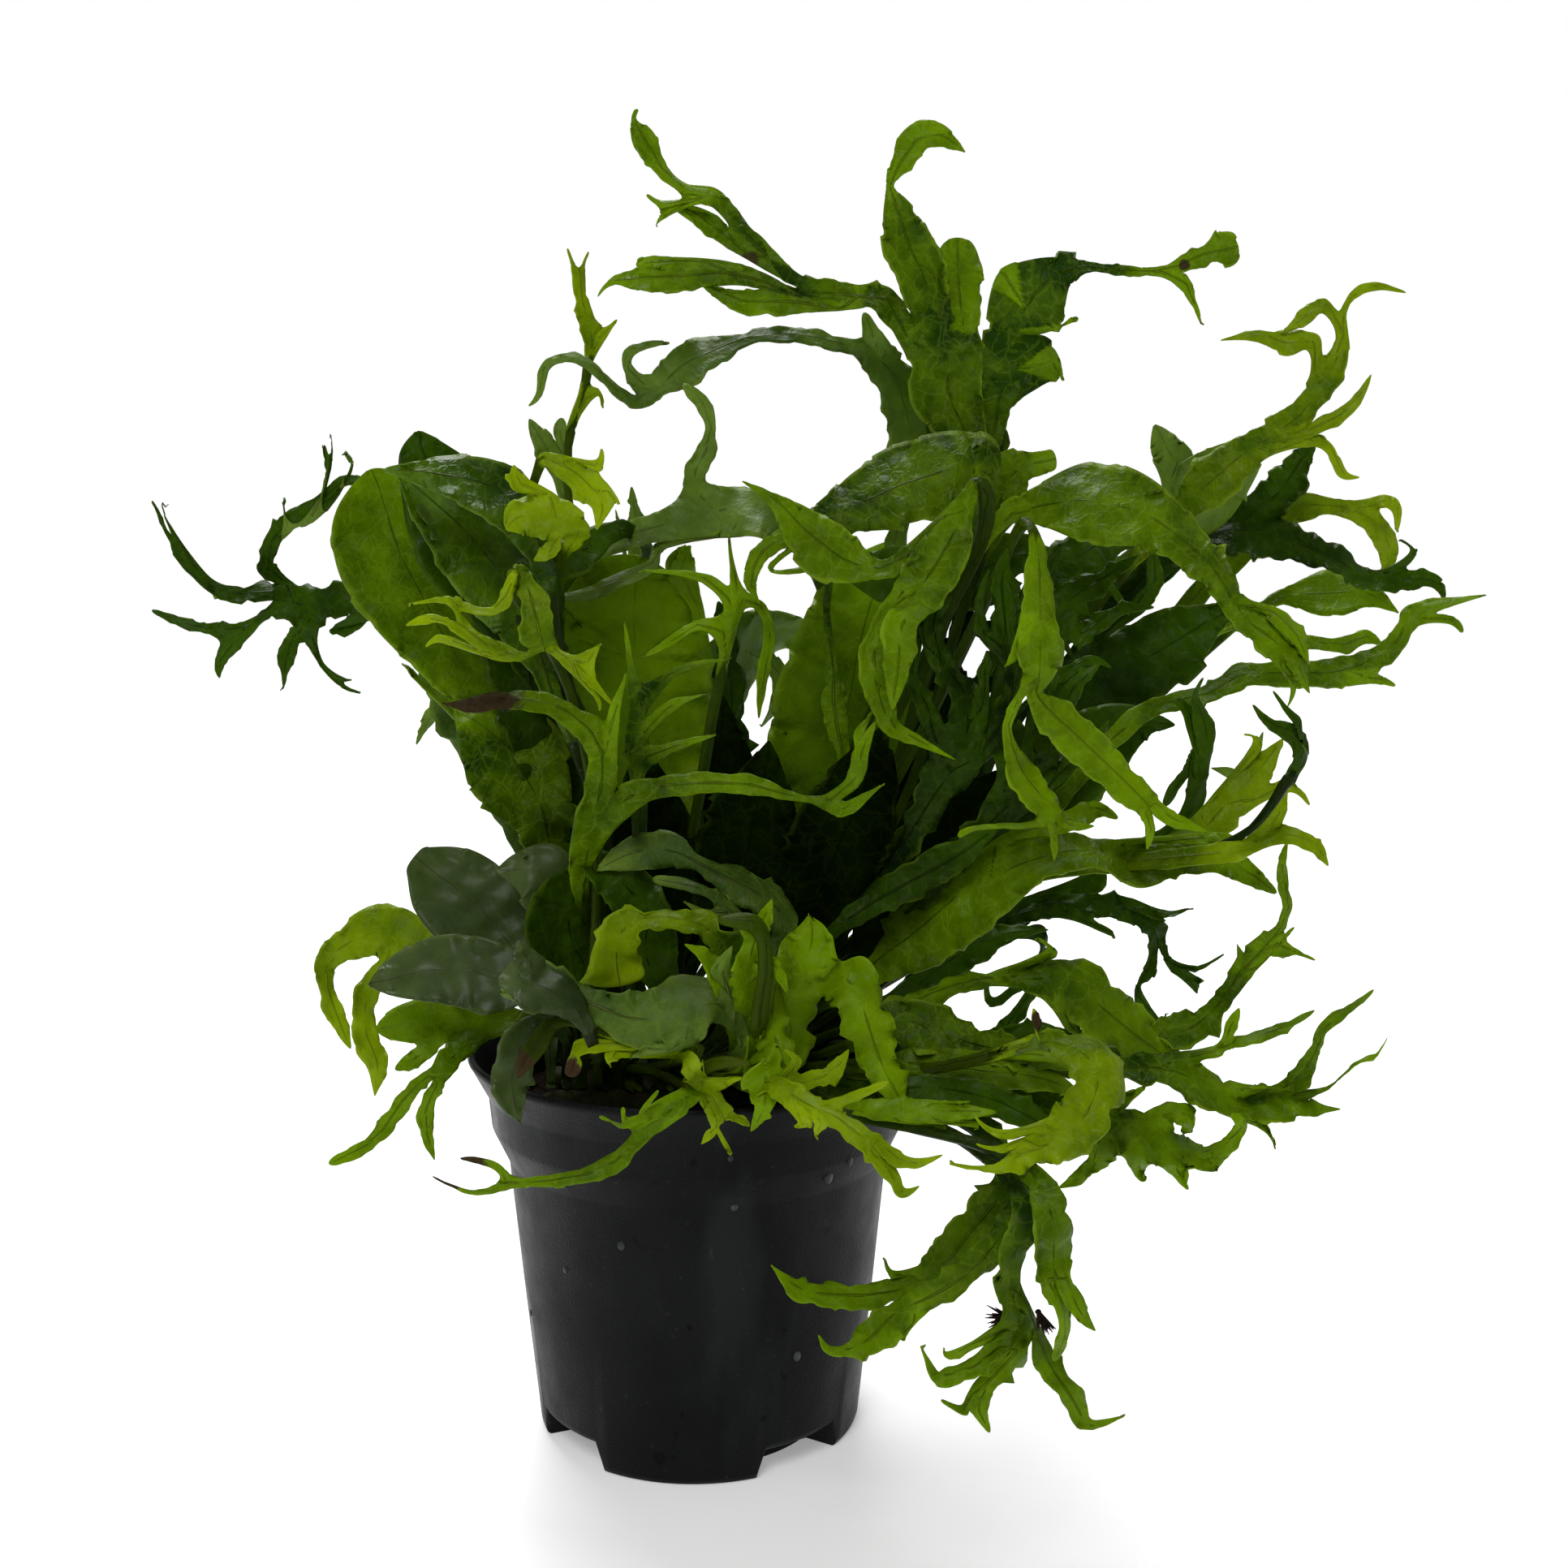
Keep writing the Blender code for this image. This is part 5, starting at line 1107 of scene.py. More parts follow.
def frond(name, row, place, rows, *fingers, tilt=(0.3, 0.3), turn=0.0, face="mid", back="under", tone=0.45,
          tips=30.0, dead=(), cup=0.12, ruffle=1.0, teeth=1.0, twist=0.4):
    """A frond on a place of a row of rhizome. Its rows follow row 0, the top of the stalk's start."""
    global leaf_count, triangle_count
    rng = np.random.default_rng(sum(ord(letter) * (k + 3) for k, letter in enumerate(name)))
    cage = Cage((row, place), tilt, turn)
    cage.carry_on((2, 3), rows, fingers, 0.0, stalk=True)
    piece = cage.piece
    bpy.ops.object.mode_set(mode="OBJECT")
    firm_up(piece.data)
    widest = max(rib[7] for rib in cage.ribs)
    smooth = 4 if widest > BROAD_LEAF else 3
    apply(piece, "smooth", "SUBSURF", levels=smooth, render_levels=smooth)
    mesh = piece.data
    found = shape_blade(mesh, np.array(cage.ribs), turn, rng, cup, ruffle, teeth, twist)

    youth = np.clip(1.0 - found["left"] / tips, 0.0, 1.0) ** 0.8
    store(mesh, "tone", tone + (1.0 - tone) * 0.75 * youth * (1.0 - found["stalk"]))
    store(mesh, "rib", np.where(found["half"] > 0.8, found["rib"], 3.0))
    store(mesh, "chevron", found["along"] + 0.6 * found["gap"])
    store(mesh, "edge", found["share"])
    store(mesh, "stem", found["stalk"])
    spots = all_places(mesh) / MM
    burn = np.zeros(len(spots))
    for across, up, near, reach in dead:
        far = np.linalg.norm(spots - np.array(seen(across, up, near, turn)), axis=1)
        burn = np.maximum(burn, 1.0 - far / reach)
    store(mesh, "burn", np.clip(burn * 1.6, 0.0, 1.0))
    group = piece.vertex_groups.new(name="thickness")
    weights = np.clip(leaf_thickness(found), THINNEST, 1.0)
    for number, weight in enumerate(weights):
        group.add((number,), float(weight), "REPLACE")
    mesh.materials.append(LEAF[face])
    mesh.materials.append(LEAF[back])
    apply(piece, "thickness", "SOLIDIFY", thickness=STALK_THICKNESS * MM, offset=0.0,
          vertex_group="thickness", thickness_vertex_group=0.0, material_offset=1, material_offset_rim=0)
    piece.vertex_groups.clear()
    bpy.ops.object.mode_set(mode="EDIT")
    packed = "frond_" + name
    finish(piece, name + "_frond", [], [packed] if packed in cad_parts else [])
    leaf_count += 1
    triangle_count += triangles(piece)


def tell():
    print(leaf_count, "fronds so far, with", triangle_count, "triangles")


tell()

# %% [markdown]
# The tallest fronds end in crests of forked fingers. The crown is the broadest of them, with a brown rib.
# Its fingers stay narrow for a long way, so they are drawn with many rows and small half widths.

# %% Upper fronds
frond("crown", "back", 9, [(30, 110, 0.9, -16), (44, 150, 1, -18), (52, 178, 1.3, -20), (53.5, 189, 2.6),
    (50.6, 196, 5), (47.8, 202.5, 7), (47.4, 208.5, 7), (47.6, 214.4, 6.2)],
    left(7, [(36, 219, 2.8), (31, 219.6, 2.1), (25, 220.3, 3, -19), (20, 221, 2.6)],
        left(2, [(18, 218.8, 2.3, -18), (9, 218.9, 2), (1.5, 222, 0.3)]), fork([(13, 222.5, 1.4),
        (6.5, 224, 2.1), (-2, 223.4, 2.6, -18), (-9, 222.9, 2.3), (-15, 222.6, 0.7), (-17.7, 220.2, 0.2)],
        right(2, [(-7, 226, 1.1), (-10.5, 225.6, 0.4)])), fork([(14.5, 226.2, 1.9, -21),
        (8.2, 232.6, 1.8, -22), (3.6, 237.9, 1.6), (-1.5, 239, 1.2), (-6, 243, 1.3), (-9.2, 248.3, 2.1),
        (-10.8, 251.6, 0.5), (-10.4, 253.4, 0.4)], left(3, [(-6, 236.5, 0.7), (-8.3, 238, 0.3)],
        left(0, [(-6, 234, 0.4, -22), (-6.8, 232.6, 0.2)])), left(1, [(5, 231.5, 1.8, -24), (1, 234.3, 1.6),
        (-3.5, 236.3, 0.5)]))),
    fork([(43.4, 222, 4.6, -19), (40.3, 229, 4.6), (38.2, 235.5, 2.8), (36.8, 239.8, 0.7),
        (38.4, 243.5, 1.9, -18), (41.5, 248, 2.6, -17), (46, 248.9, 2.2, -16), (50.1, 246.4, 0.3)]),
    fork([(49.6, 221.6, 4.6, -24), (49.4, 226.6, 4, -25), (49.4, 230, 2)]),
    tone=0.15, tips=45, cup=0.18, dead=[(10.5, 226.5, -21, 2.4)])
frond("crown_right", "back", 9.6, [(30, 112, 0.9, -22), (45, 150, 1, -24), (54, 180, 1.2, -25),
    (56, 190, 1.3), (57, 196, 2.2), (57.8, 201.4, 3.4), (61, 206.3, 7, -24), (61, 210.4, 6.6),
    (60, 213.6, 5.2), (62.4, 217.4, 7.6, -23), (65.2, 221.6, 6.4, -22), (69.8, 224.6, 2.8, -21),
    (74.5, 225.2, 1), (80, 224.5, 0.9), (86.5, 224.3, 0.8), (91, 225.4, 1.2), (95.5, 227.4, 2.4),
    (99.6, 228.2, 2.9), (101.8, 228.8, 1.6)],
    right(7, [(69.4, 205.2, 0.3)]),
    left(10, [(57.4, 224.2, 0.4, -22)]),
    right(9, [(71, 215.4, 0.5, -23)]),
    right(15, [(92.5, 221.8, 1.2), (95.2, 215.7, 0.2)]),
    tone=0.05, tips=36, cup=0.18, teeth=1.8, dead=[(92, 225.4, -21, 1.7)])
frond("arch", "back", 7, [(16, 105, 0.9, -48), (29, 140, 0.9, -58), (34.5, 160, 1), (38.5, 176, 1.8, -42),
    (41, 190, 4.6, -36), (40, 198, 3.8), (38, 204.3, 3.8), (35, 208.3, 3.3), (30.5, 210.4, 1.9),
    (25, 211.7, 1.4, -35), (17, 212.8, 1.4, -34), (9.5, 211.9, 1.3, -33), (3, 209.3, 3, -32),
    (-2, 207, 3.8, -31), (-6.5, 203.6, 2.6, -30), (-11, 200.6, 1.2, -29), (-15, 202.6, 1, -28),
    (-19.5, 207, 0.9, -27), (-24.5, 208.6, 0.9, -26), (-28.2, 206.5, 0.8), (-29.2, 202, 0.7),
    (-31, 199.8, 0.2)],
    right(8, [(32.4, 216, 0.8)]),
    right(15, [(-12.4, 206.5, 1), (-11.5, 210, 1), (-5.8, 211.3, 0.3)]),
    tilt=(0.2, 0.9), face="under", back="mid", tone=0.3, teeth=1.6)
frond("left_arch", "middle", 6, [(12, 108, 0.9, -46), (23, 138, 0.9, -57), (25.5, 158, 0.9),
    (21.5, 171, 1.2, -34), (15.5, 176, 2.4, -17), (10, 179.5, 4.6, -18), (4, 180, 4.8, -19),
    (-2, 178.6, 4, -20), (-9, 176.3, 2.7, -21), (-17, 174, 2.6, -22), (-24, 172, 3.6, -23),
    (-30, 169.2, 2.8, -24), (-36, 166, 0.4, -25)],
    right(7, [(0.3, 187.3, 2, -21), (2.1, 191, 1.9, -22), (3.1, 195.5, 1, -23), (1.4, 200, 1.4, -25),
        (-1.6, 203.2, 0.6, -26)]),
    left(6, [(-6, 173.5, 0.8, -19), (-8, 170, 1.2), (-17, 165.6, 1.4), (-24, 163.6, 0.8), (-31, 164, 0.2)]),
    tilt=(0.2, 0.9), face="under", back="mid", tone=0.5)
frond("thin_upright", "back", 3, [(-14, 115, 0.7, -42), (-22, 155, 0.7, -46), (-24, 180, 0.7, -47),
    (-24, 192, 0.7), (-22.2, 198.3, 0.9), (-20.4, 204, 0.8), (-19.4, 209.5, 1.2), (-19.4, 214, 1.8),
    (-21.1, 219, 1.3), (-21.6, 225, 1.2)],
    right(7, [(-15, 214.9, 0.3)]),
    right(5, [(-18.1, 202, 0.6), (-17.4, 199.7, 0.2)]),
    fork([(-23.4, 228, 0.2)]),
    fork([(-19.8, 227.5, 0.2)]),
    tilt=(0.8, 0.2), face="young", tone=0.4, teeth=1.5)
tell()

# %% [markdown]
# Four fronds meet where their crests cross at the upper middle. Their blades show the net of veins best,
# so they are cupped away from the eye, which catches the lamp along the rib. Small leaves close the
# gaps behind the place where they meet, as in the photograph.

# %% Middle fronds
frond("veined", "middle", 7, [(18, 110, 0.9, -3), (38, 150, 1, 2), (51, 173, 1.3, 6), (53, 187.5, 6.4, 8),
    (47, 187, 7.6, 9), (40, 184.8, 7.4), (33.5, 182, 6.4), (27.5, 179, 4.6), (22.5, 177, 3), (17.5, 175, 1.9),
    (13.2, 172.5, 1.7), (11.2, 169, 1.5), (10.6, 165.8, 1), (12, 162.8, 0.2)],
    left(8, [(25.6, 167, 0.8, 8), (25.4, 157, 0.7), (26.7, 148, 1.5), (26.6, 143.5, 2.5), (27.7, 137, 1.8),
        (28.6, 131.5, 1.3)], fork([(30.6, 128.2, 0.2)]), fork([(26.1, 127, 0.2)])),
    left(9, [(14.5, 169.5, 0.6, 8), (19, 168.5, 0.5), (24, 169.5, 0.2)]),
    tilt=(0.1, 0.7), tone=0.2, tips=22, cup=-0.2)
frond("hub", "middle", 8, [(22, 108, 0.9, 8), (42, 148, 1, 14), (54, 172, 1.3, 18), (55.5, 183, 1.5, 20),
    (53.5, 184.5, 1.6, 22), (51, 180, 2.6, 24), (48.4, 173.5, 4.4, 25), (45.5, 168.4, 5.2, 26),
    (41.8, 163.6, 4.6, 27)],
    right(6, [(41.5, 171.8, 1.9), (35.6, 169, 1.8, 23), (30, 169.9, 4.2, 22), (25, 172.8, 5.5),
        (20, 177, 4, 21), (15.5, 181.6, 1.6), (10, 185, 0.2)]),
    fork([(39.8, 158.5, 3.2, 28), (39, 152, 3), (38.4, 146.5, 1.8), (38, 142.5, 0.4)]),
    fork([(35.9, 158, 2, 25), (34.2, 152.5, 2.8), (34.6, 147, 2.6), (35.8, 142.4, 2.2), (38, 138.6, 1.7),
        (42, 136.3, 1.1), (49, 132.8, 0.2)], left(3, [(31.8, 138, 0.8), (31.4, 134, 0.6),
        (29.8, 129.5, 0.2)])),
    tilt=(0.2, 0.6), tone=0.4, tips=30, twist=0.5)
frond("broad_right", "middle", 10, [(30, 112, 0.9, -6), (44, 148, 1, -4), (54, 172, 1.2, 0),
    (60.5, 179.5, 2.2, 2), (66.5, 181, 4, 4), (74, 181.6, 7.2, 6), (81.5, 180.3, 7.4, 7), (88, 177.8, 5.6, 8),
    (94.5, 173, 4.2, 9), (100, 167.6, 3.2, 10), (103.6, 162, 2.4, 11), (107.6, 158, 3, 12),
    (112.4, 153.8, 2.8, 13), (116, 149.8, 1.8, 14), (118.1, 145.8, 0.3)],
    left(11, [(111, 160.5, 1.4), (115.5, 156, 1.5, 12), (117.8, 151.5, 0.3, 13)]),
    right(13, [(115.3, 146.8, 0.6), (114.6, 143, 0.2)]),
    tilt=(0.1, 0.8), tone=0.45, cup=-0.15, ruffle=1.5, teeth=1.4, twist=0.7)
frond("drooping_tip", "middle", 9, [(26, 108, 0.9, 2), (46, 142, 0.9, 10), (58, 168, 1, 19),
    (62.5, 177.5, 1.2, 24), (64.8, 175, 1.1, 28), (65.6, 168, 2.4, 31), (65.8, 160, 3.4, 33),
    (66.2, 153.5, 4.4, 34), (65.9, 148, 3), (65.6, 144.8, 1.6), (68.5, 141.2, 3.4), (72.8, 137.2, 4),
    (78.2, 132.2, 3.8), (83.6, 127.1, 3.1), (88.1, 122.6, 2.6)],
    right(7, [(61.8, 153, 1.2, 34), (60, 150.6, 0.2)]),
    right(9, [(61.9, 143.2, 0.9), (60.3, 139, 0.9), (61, 134.5, 1.3, 33), (62.9, 129.8, 2.9, 32),
        (65.5, 126.3, 3.1), (68.2, 122.6, 2.4), (69.8, 119.8, 1.9)], right(6, [(63, 119.2, 0.6, 31),
        (55, 118.9, 0.5, 30), (51.3, 117.4, 0.6)]), fork([(73, 119.2, 0.9), (76.8, 119.1, 0.3)]),
        fork([(69.7, 116.2, 0.8), (69.8, 112.8, 0.2)])),
    fork([(92.2, 120.8, 1.5), (98.5, 118.4, 0.3)]),
    fork([(88.4, 118.8, 0.9), (88, 115.2, 0.3)]),
    tilt=(0.5, 0.4), face="mid", tone=0.6, tips=50)
frond("hub_lobe", "middle", 9.5, [(34, 112, 0.9, -8), (48, 150, 1, -10), (55, 172, 1.6, -12),
    (58, 181, 4.6, -13), (60.5, 187, 3.8), (65.5, 189, 2.2), (68.4, 189.6, 1.6)],
    tilt=(0.2, 0.6), tone=0.35, tips=16)
frond("hub_behind", "back", 8.5, [(36, 120, 0.9, -22), (56, 150, 1.1, -26), (66, 166, 2.4), (63, 171.5, 4.4),
    (56, 169, 6.4), (49, 167.4, 7), (41, 167.4, 6), (33, 168.6, 4), (27, 170.4, 0.8)],
    tilt=(0.1, 0.5), face="deep", tone=0.75)
frond("neck_leaf", "back", 10.5, [(34, 116, 0.9, -24), (47, 156, 1.1, -27), (51, 178, 4, -28),
    (52, 188, 7.5, -29), (51, 197, 7), (49, 204, 4), (48, 208, 0.6)],
    tilt=(0.2, 0.5), face="deep", tone=0.4, tips=8)
tell()

# %% [markdown]
# The right side is a fan of long fronds, the lower ones nearer the eye. Pale undersides and yellow young
# fingers alternate there, which is done with the finish of each side and with the tone.

# %% Right hand fronds
frond("right_top", "back", 12, [(32, 112, 0.9, -26), (60, 142, 0.9, -42), (82, 168, 1, -46),
    (92.5, 179.5, 2.6, -36), (97, 184.3, 4.4, -32), (101.5, 188.2, 4.4), (106.5, 192, 3), (110.5, 194.8, 2.8),
    (114.6, 197.8, 2.6, -33), (118.5, 203.2, 2.7, -34), (121, 208, 2.5, -35), (122.2, 212.5, 1.1, -36),
    (122, 216.8, 0.8), (123.8, 219.8, 0.8), (128, 221.6, 0.7), (133, 220.7, 0.2)],
    left(12, [(118.5, 218.2, 1.5), (115, 215.9, 1.4), (111.2, 213.3, 0.2)]),
    left(10, [(116.8, 211.3, 1.7, -36), (112, 211.1, 2.2), (106.5, 212.5, 1.1), (100.3, 211.9, 0.2)]),
    right(8, [(119.3, 196.3, 1.6, -31), (123, 198.2, 1.2, -30), (126, 201.6, 0.9), (127.7, 204.9, 0.2)]),
    right(7, [(116.6, 193.2, 1.2, -31), (121, 191, 0.9), (123.2, 187, 0.8), (126, 186.2, 0.2)]),
    tilt=(0.4, 0.6), face="young", tone=0.3)
frond("right_folded", "back", 11, [(28, 116, 0.9, -34), (54, 145, 1.1, -40), (76, 166, 1.2, -44),
    (87, 173.4, 2, -45), (93, 178.6, 5.4), (97, 183.6, 7), (101.6, 187.8, 5.4), (105.6, 191.4, 3),
    (108.6, 194.8, 0.6)],
    left(5, [(91.4, 189, 3.6), (88.6, 193.4, 2.2), (87.4, 195.8, 0.4)]),
    tilt=(0.9, 0.2), face="under", back="mid", tone=0.55, cup=-0.3, twist=0.5)
frond("right_grey", "back", 13, [(36, 110, 0.9, -40), (62, 140, 1.2, -46), (82, 163, 2, -50),
    (93, 173.5, 4, -52), (103, 176.6, 5), (111, 174.8, 4), (117.5, 172.7, 2.9), (124, 169.8, 2.3),
    (130, 166.7, 2), (136, 167, 2.2), (141, 166.7, 1.4), (143.4, 164.2, 0.5), (143.6, 162.3, 0.2)],
    left(5, [(110.5, 182.5, 3.9, -54), (114.5, 188, 3, -56), (117.6, 192.6, 0.4, -57)]),
    left(9, [(137.4, 171.8, 0.8), (135.2, 174.2, 0.2)]),
    tilt=(0.1, 0.9), face="deep", back="under", tone=0.25, tips=34, teeth=1.7)
frond("right_yellow", "back", 14, [(38, 104, 0.9, -48), (74, 138, 1.2, -58), (98, 166, 2.4, -64),
    (110, 178, 3.4, -66), (118, 181, 2.2), (125, 180.2, 1.7), (129.6, 177.6, 2.2), (132.2, 173.5, 2),
    (132.4, 169.5, 1.2), (131.2, 167.4, 0.3)],
    left(6, [(131, 181.7, 1.2), (133.8, 180.3, 0.9), (134, 176.4, 0.3)]),
    tilt=(0.3, 0.8), face="young", tone=0.3)
frond("right_lens", "back", 15, [(44, 102, 0.9, -58), (76, 132, 1.1, -70), (101, 156, 1.1, -78),
    (112.5, 163.4, 1.5, -80), (118, 164, 3.8), (124, 164.3, 4.1), (129.5, 163.9, 2.4), (134.4, 161, 0.3)],
    tilt=(0.1, 0.9), tone=0.5)
frond("right_dark", "back", 16, [(42, 98, 0.9, -36), (56, 120, 2, -40), (66, 134, 4.6, -42),
    (74, 143.5, 7.2, -43), (82, 149, 7.6, -44), (90, 153.5, 7.4), (97, 158, 4.8), (102, 160.6, 1.8),
    (106, 159.6, 0.4)],
    left(4, [(84.5, 161.5, 1.6, -40), (88, 167, 1.6, -38), (87.5, 173, 0.4)]),
    tilt=(0.3, 0.7), face="deep", tone=0.4)
tell()

# %% [markdown]
# Behind the fan, darker leaves fill the space between the fronds. Little of them shows, so they are
# plain, except where a ragged margin stands against the white.

# %% Leaves behind the right hand fronds
frond("right_shade", "back", 15.5, [(44, 104, 0.9, -52), (58, 136, 1.4, -56), (66, 155, 1.4, -58),
    (73, 160.5, 2.6), (81, 164.5, 3.2), (88, 167.6, 2.6), (94, 171.5, 0.6)],
    left(3, [(76, 168, 2, -56), (83, 170.5, 1.2), (86, 174, 0.5)]),
    tilt=(0.3, 0.7), face="deep", tone=0.4)
frond("right_mass", "back", 13.5, [(38, 110, 0.9, -30), (54, 142, 1.2, -33), (63, 160, 2.4, -34),
    (69, 167.5, 4.6), (75.5, 172.5, 4.8), (82, 176, 3.4), (89, 178.5, 0.8)],
    right(4, [(78, 166.6, 1.1, -32), (81, 163.5, 0.7), (83, 160.5, 0.2)]),
    right(3, [(71.5, 161.5, 1.2, -32), (70.2, 157, 0.9), (72.4, 152.5, 0.3)]),
    tilt=(0.3, 0.7), face="deep", tone=0.6, teeth=1.4)
frond("ragged_top", "back", 12.6, [(44, 116, 1, -6), (55, 136, 1.8), (61, 149, 3.2), (66, 157.4, 4),
    (72.4, 163.4, 3.2), (79, 167.4, 1.8), (84, 171, 0.4)],
    left(3, [(58.4, 157, 1.8), (60.6, 164, 1.6), (59, 170, 0.4)]),
    right(4, [(74.4, 156.6, 2.2), (80.4, 160.6, 1.3), (87, 161.6, 0.4)]),
    left(4, [(66.8, 166.4, 2), (69.6, 173, 0.5)]),
    right(3, [(69, 148.4, 1.6), (75, 151.4, 1), (79.4, 150.4, 0.3)]),
    tilt=(0.3, 0.7), face="deep", tone=0.5, teeth=2.2, ruffle=1.4)
frond("right_under_leaf", "middle", 11, [(36, 96, 0.9, -16), (52, 110, 2, -20), (61, 119, 5, -22),
    (69, 127, 7.6, -23), (76, 133.5, 8, -24), (82, 138, 5.6), (87.5, 139.4, 2.6), (92, 139, 0.5)],
    tilt=(0.3, 0.7), face="deep", tone=0.8, tips=14)
frond("right_ruffle", "middle", 12.5, [(44, 104, 0.9, -52), (78, 142, 0.9, -60), (98, 156, 1),
    (104, 158.5, 1.4, -56), (110, 155.5, 1.4, -20), (116, 155, 1.7), (120, 154.8, 1.1), (125, 154.4, 1.6),
    (129, 156, 1.4), (131.8, 154.5, 0.3)],
    tilt=(0.3, 0.7), tone=0.5)
frond("right_strand", "middle", 13.5, [(44, 92, 0.8, -6), (58, 105, 0.8, -7), (76, 111.5, 0.9, -8),
    (92, 114, 1.4), (99, 117.5, 1.8), (104, 122, 1.8), (107, 127, 1.4)],
    fork([(104.5, 129.2, 0.9), (100.6, 130.4, 0.2)]),
    fork([(108.6, 132.5, 0.9), (109.6, 137, 0.2)]),
    tilt=(0.3, 0.7), face="under", back="mid", tone=0.3)
tell()

# %% [markdown]
# The long fronds of the far right end in claws, which are forked fingers that curl up or down. The dark
# claw hangs in front of the pale one, and lower down the fans are so thin that they look like twigs.

# %% Long fronds and claws
frond("right_long", "back", 17, [(46, 94, 0.9, -20), (66, 118, 1.3, -18), (82, 137.5, 2, -17),
    (91, 143.2, 1.7, -16), (99, 145, 1.8), (105, 148.3, 2.3), (112, 148.8, 2.3), (119, 148.8, 2.8),
    (125.5, 149.3, 2.9), (131, 151.8, 2.3), (135.2, 155.2, 2), (137.4, 159.6, 2.2), (142, 161.9, 1.3),
    (150.3, 163.7, 0.2)],
    right(9, [(132, 147.7, 0.8), (134.6, 146.7, 0.3)]),
    right(12, [(145, 159.2, 0.8), (147.3, 157.2, 0.4)]),
    tilt=(0.1, 0.9), tone=0.5)
frond("dark_forks", "middle", 13, [(46, 98, 0.9, -2), (62, 109.5, 0.9, -1), (78, 113.5, 1, 0),
    (90, 116.5, 1.5), (96, 121.8, 1.8), (97.4, 127, 2), (98.2, 132, 1.3), (98.7, 137, 2), (97.4, 141, 1.6),
    (96.5, 144.6, 0.5), (97.6, 147.6, 0.2)],
    left(6, [(96.3, 133.6, 0.9), (95.4, 130.6, 0.8), (93.6, 127.8, 1), (91.4, 123.8, 0.7)]),
    left(7, [(95.2, 141, 1), (93, 143.8, 0.6)]),
    tilt=(0.8, 0.3), face="deep", tone=0.5)
frond("right_arch", "middle", 12, [(26, 84, 1.3, 6), (34, 91, 4, 10), (42.5, 97.5, 7.4, 13),
    (50, 104, 8.6, 15), (57.5, 109, 7.6, 16), (65, 112.3, 5, 17), (73, 114, 3.7, 18), (80, 113.4, 3.1),
    (87, 111.6, 4.8), (95, 112.5, 2.8), (103, 112, 2.8), (108.5, 109.3, 1.9), (112.8, 106.3, 0.6)],
    left(5, [(72, 120, 2.2, 18), (78, 122.4, 1.6), (81.5, 121, 0.5)]),
    left(8, [(98, 116.6, 1.2, 19), (104, 116.6, 0.8, 20), (108, 115, 0.3)]),
    tilt=(0.1, 0.9), tone=0.45, twist=0.4, ruffle=1.6)
frond("right_bunch", "middle", 14, [(44, 94, 0.9, 1), (58, 106, 1.1, 4), (76, 112.5, 1.4, 5), (89, 114.5, 2),
    (98, 118, 3.2, 6), (104, 123.8, 3.7), (109, 129.4, 3), (112, 133.8, 1.4), (113.5, 136, 0.3)],
    left(5, [(108.2, 133.8, 1.1), (106.8, 137, 0.3)]),
    right(6, [(115, 127, 1.2), (118.8, 124, 0.3)]),
    tilt=(0.2, 0.8), face="young", tone=0, teeth=1.5)
frond("right_claw", "middle", 15, [(30, 84, 0.9, 2), (46, 98, 0.9, 6), (62, 108, 1.2, 8),
    (80, 111.5, 1.6, 14), (102, 113.8, 2, 30), (109, 116, 2), (114.5, 117.5, 1.8), (119, 116.2, 1.6),
    (121.8, 113.8, 1), (123.2, 111.6, 0.2)],
    left(6, [(113.3, 121.5, 1.4), (114.2, 125.3, 0.8), (114.6, 128.6, 0.2)]),
    tilt=(0.2, 0.8), face="young", tone=0.3)
frond("right_claw_dark", "middle", 17, [(34, 86, 0.9, 2), (50, 100, 0.9, 6), (68, 110, 1, 9),
    (86, 112, 1, 14), (100, 114.5, 0.9, 26), (108, 118.5, 0.6, 32), (111.8, 123.2, 0.7, 36),
    (114, 127, 0.9, 38), (116, 130, 1.1), (117.3, 133.2, 1.4), (116, 136.5, 1.6), (113, 138.3, 1.4),
    (110.3, 139.8, 0.9), (108, 142.4, 0.2)],
    right(9, [(116.6, 138.6, 0.6), (115, 141, 0.7), (112, 144.8, 0.2)]),
    tilt=(0.8, 0.3), face="deep", tone=0.4)
frond("far_right_low", "back", 18, [(38, 94, 0.9, -44), (52, 98, 2, -58), (62, 101.2, 3, -66),
    (70, 103.8, 2.8, -68), (78, 103.5, 2.6, -69), (84.5, 102.6, 2.4, -70), (89.6, 99.3, 2.2, -71),
    (90.6, 95, 1.8, -72)],
    left(6, [(91.5, 101.6, 0.8), (95.6, 102.5, 0.3)]),
    right(2, [(66.6, 98, 1.8, -66), (67.4, 92, 1.2), (66, 86.5, 1.2), (61, 79, 1.5), (56, 75, 1.4)],
        right(2, [(58.5, 84, 1.1), (57, 88, 0.5)])),
    left(3, [(76.5, 107.6, 2.2, -67), (78, 111, 2, -66)]),
    right(4, [(81, 98, 0.6)]),
    fork([(93, 92, 0.9), (95.6, 89.8, 1), (98.4, 86.2, 0.3)], left(1, [(98.6, 90.9, 0.5), (103, 93.3, 0.2)]),
        left(2, [(99.6, 88.3, 0.2)])),
    fork([(89, 90.5, 1.2), (87.2, 87.8, 0.5), (87.2, 85, 1), (88.6, 80.6, 0.8), (92.4, 78.2, 0.3)],
        left(3, [(91.4, 80, 0.5), (92.4, 81.4, 0.2)])),
    tilt=(0.2, 0.8), face="deep", tone=0.4, teeth=1.5)
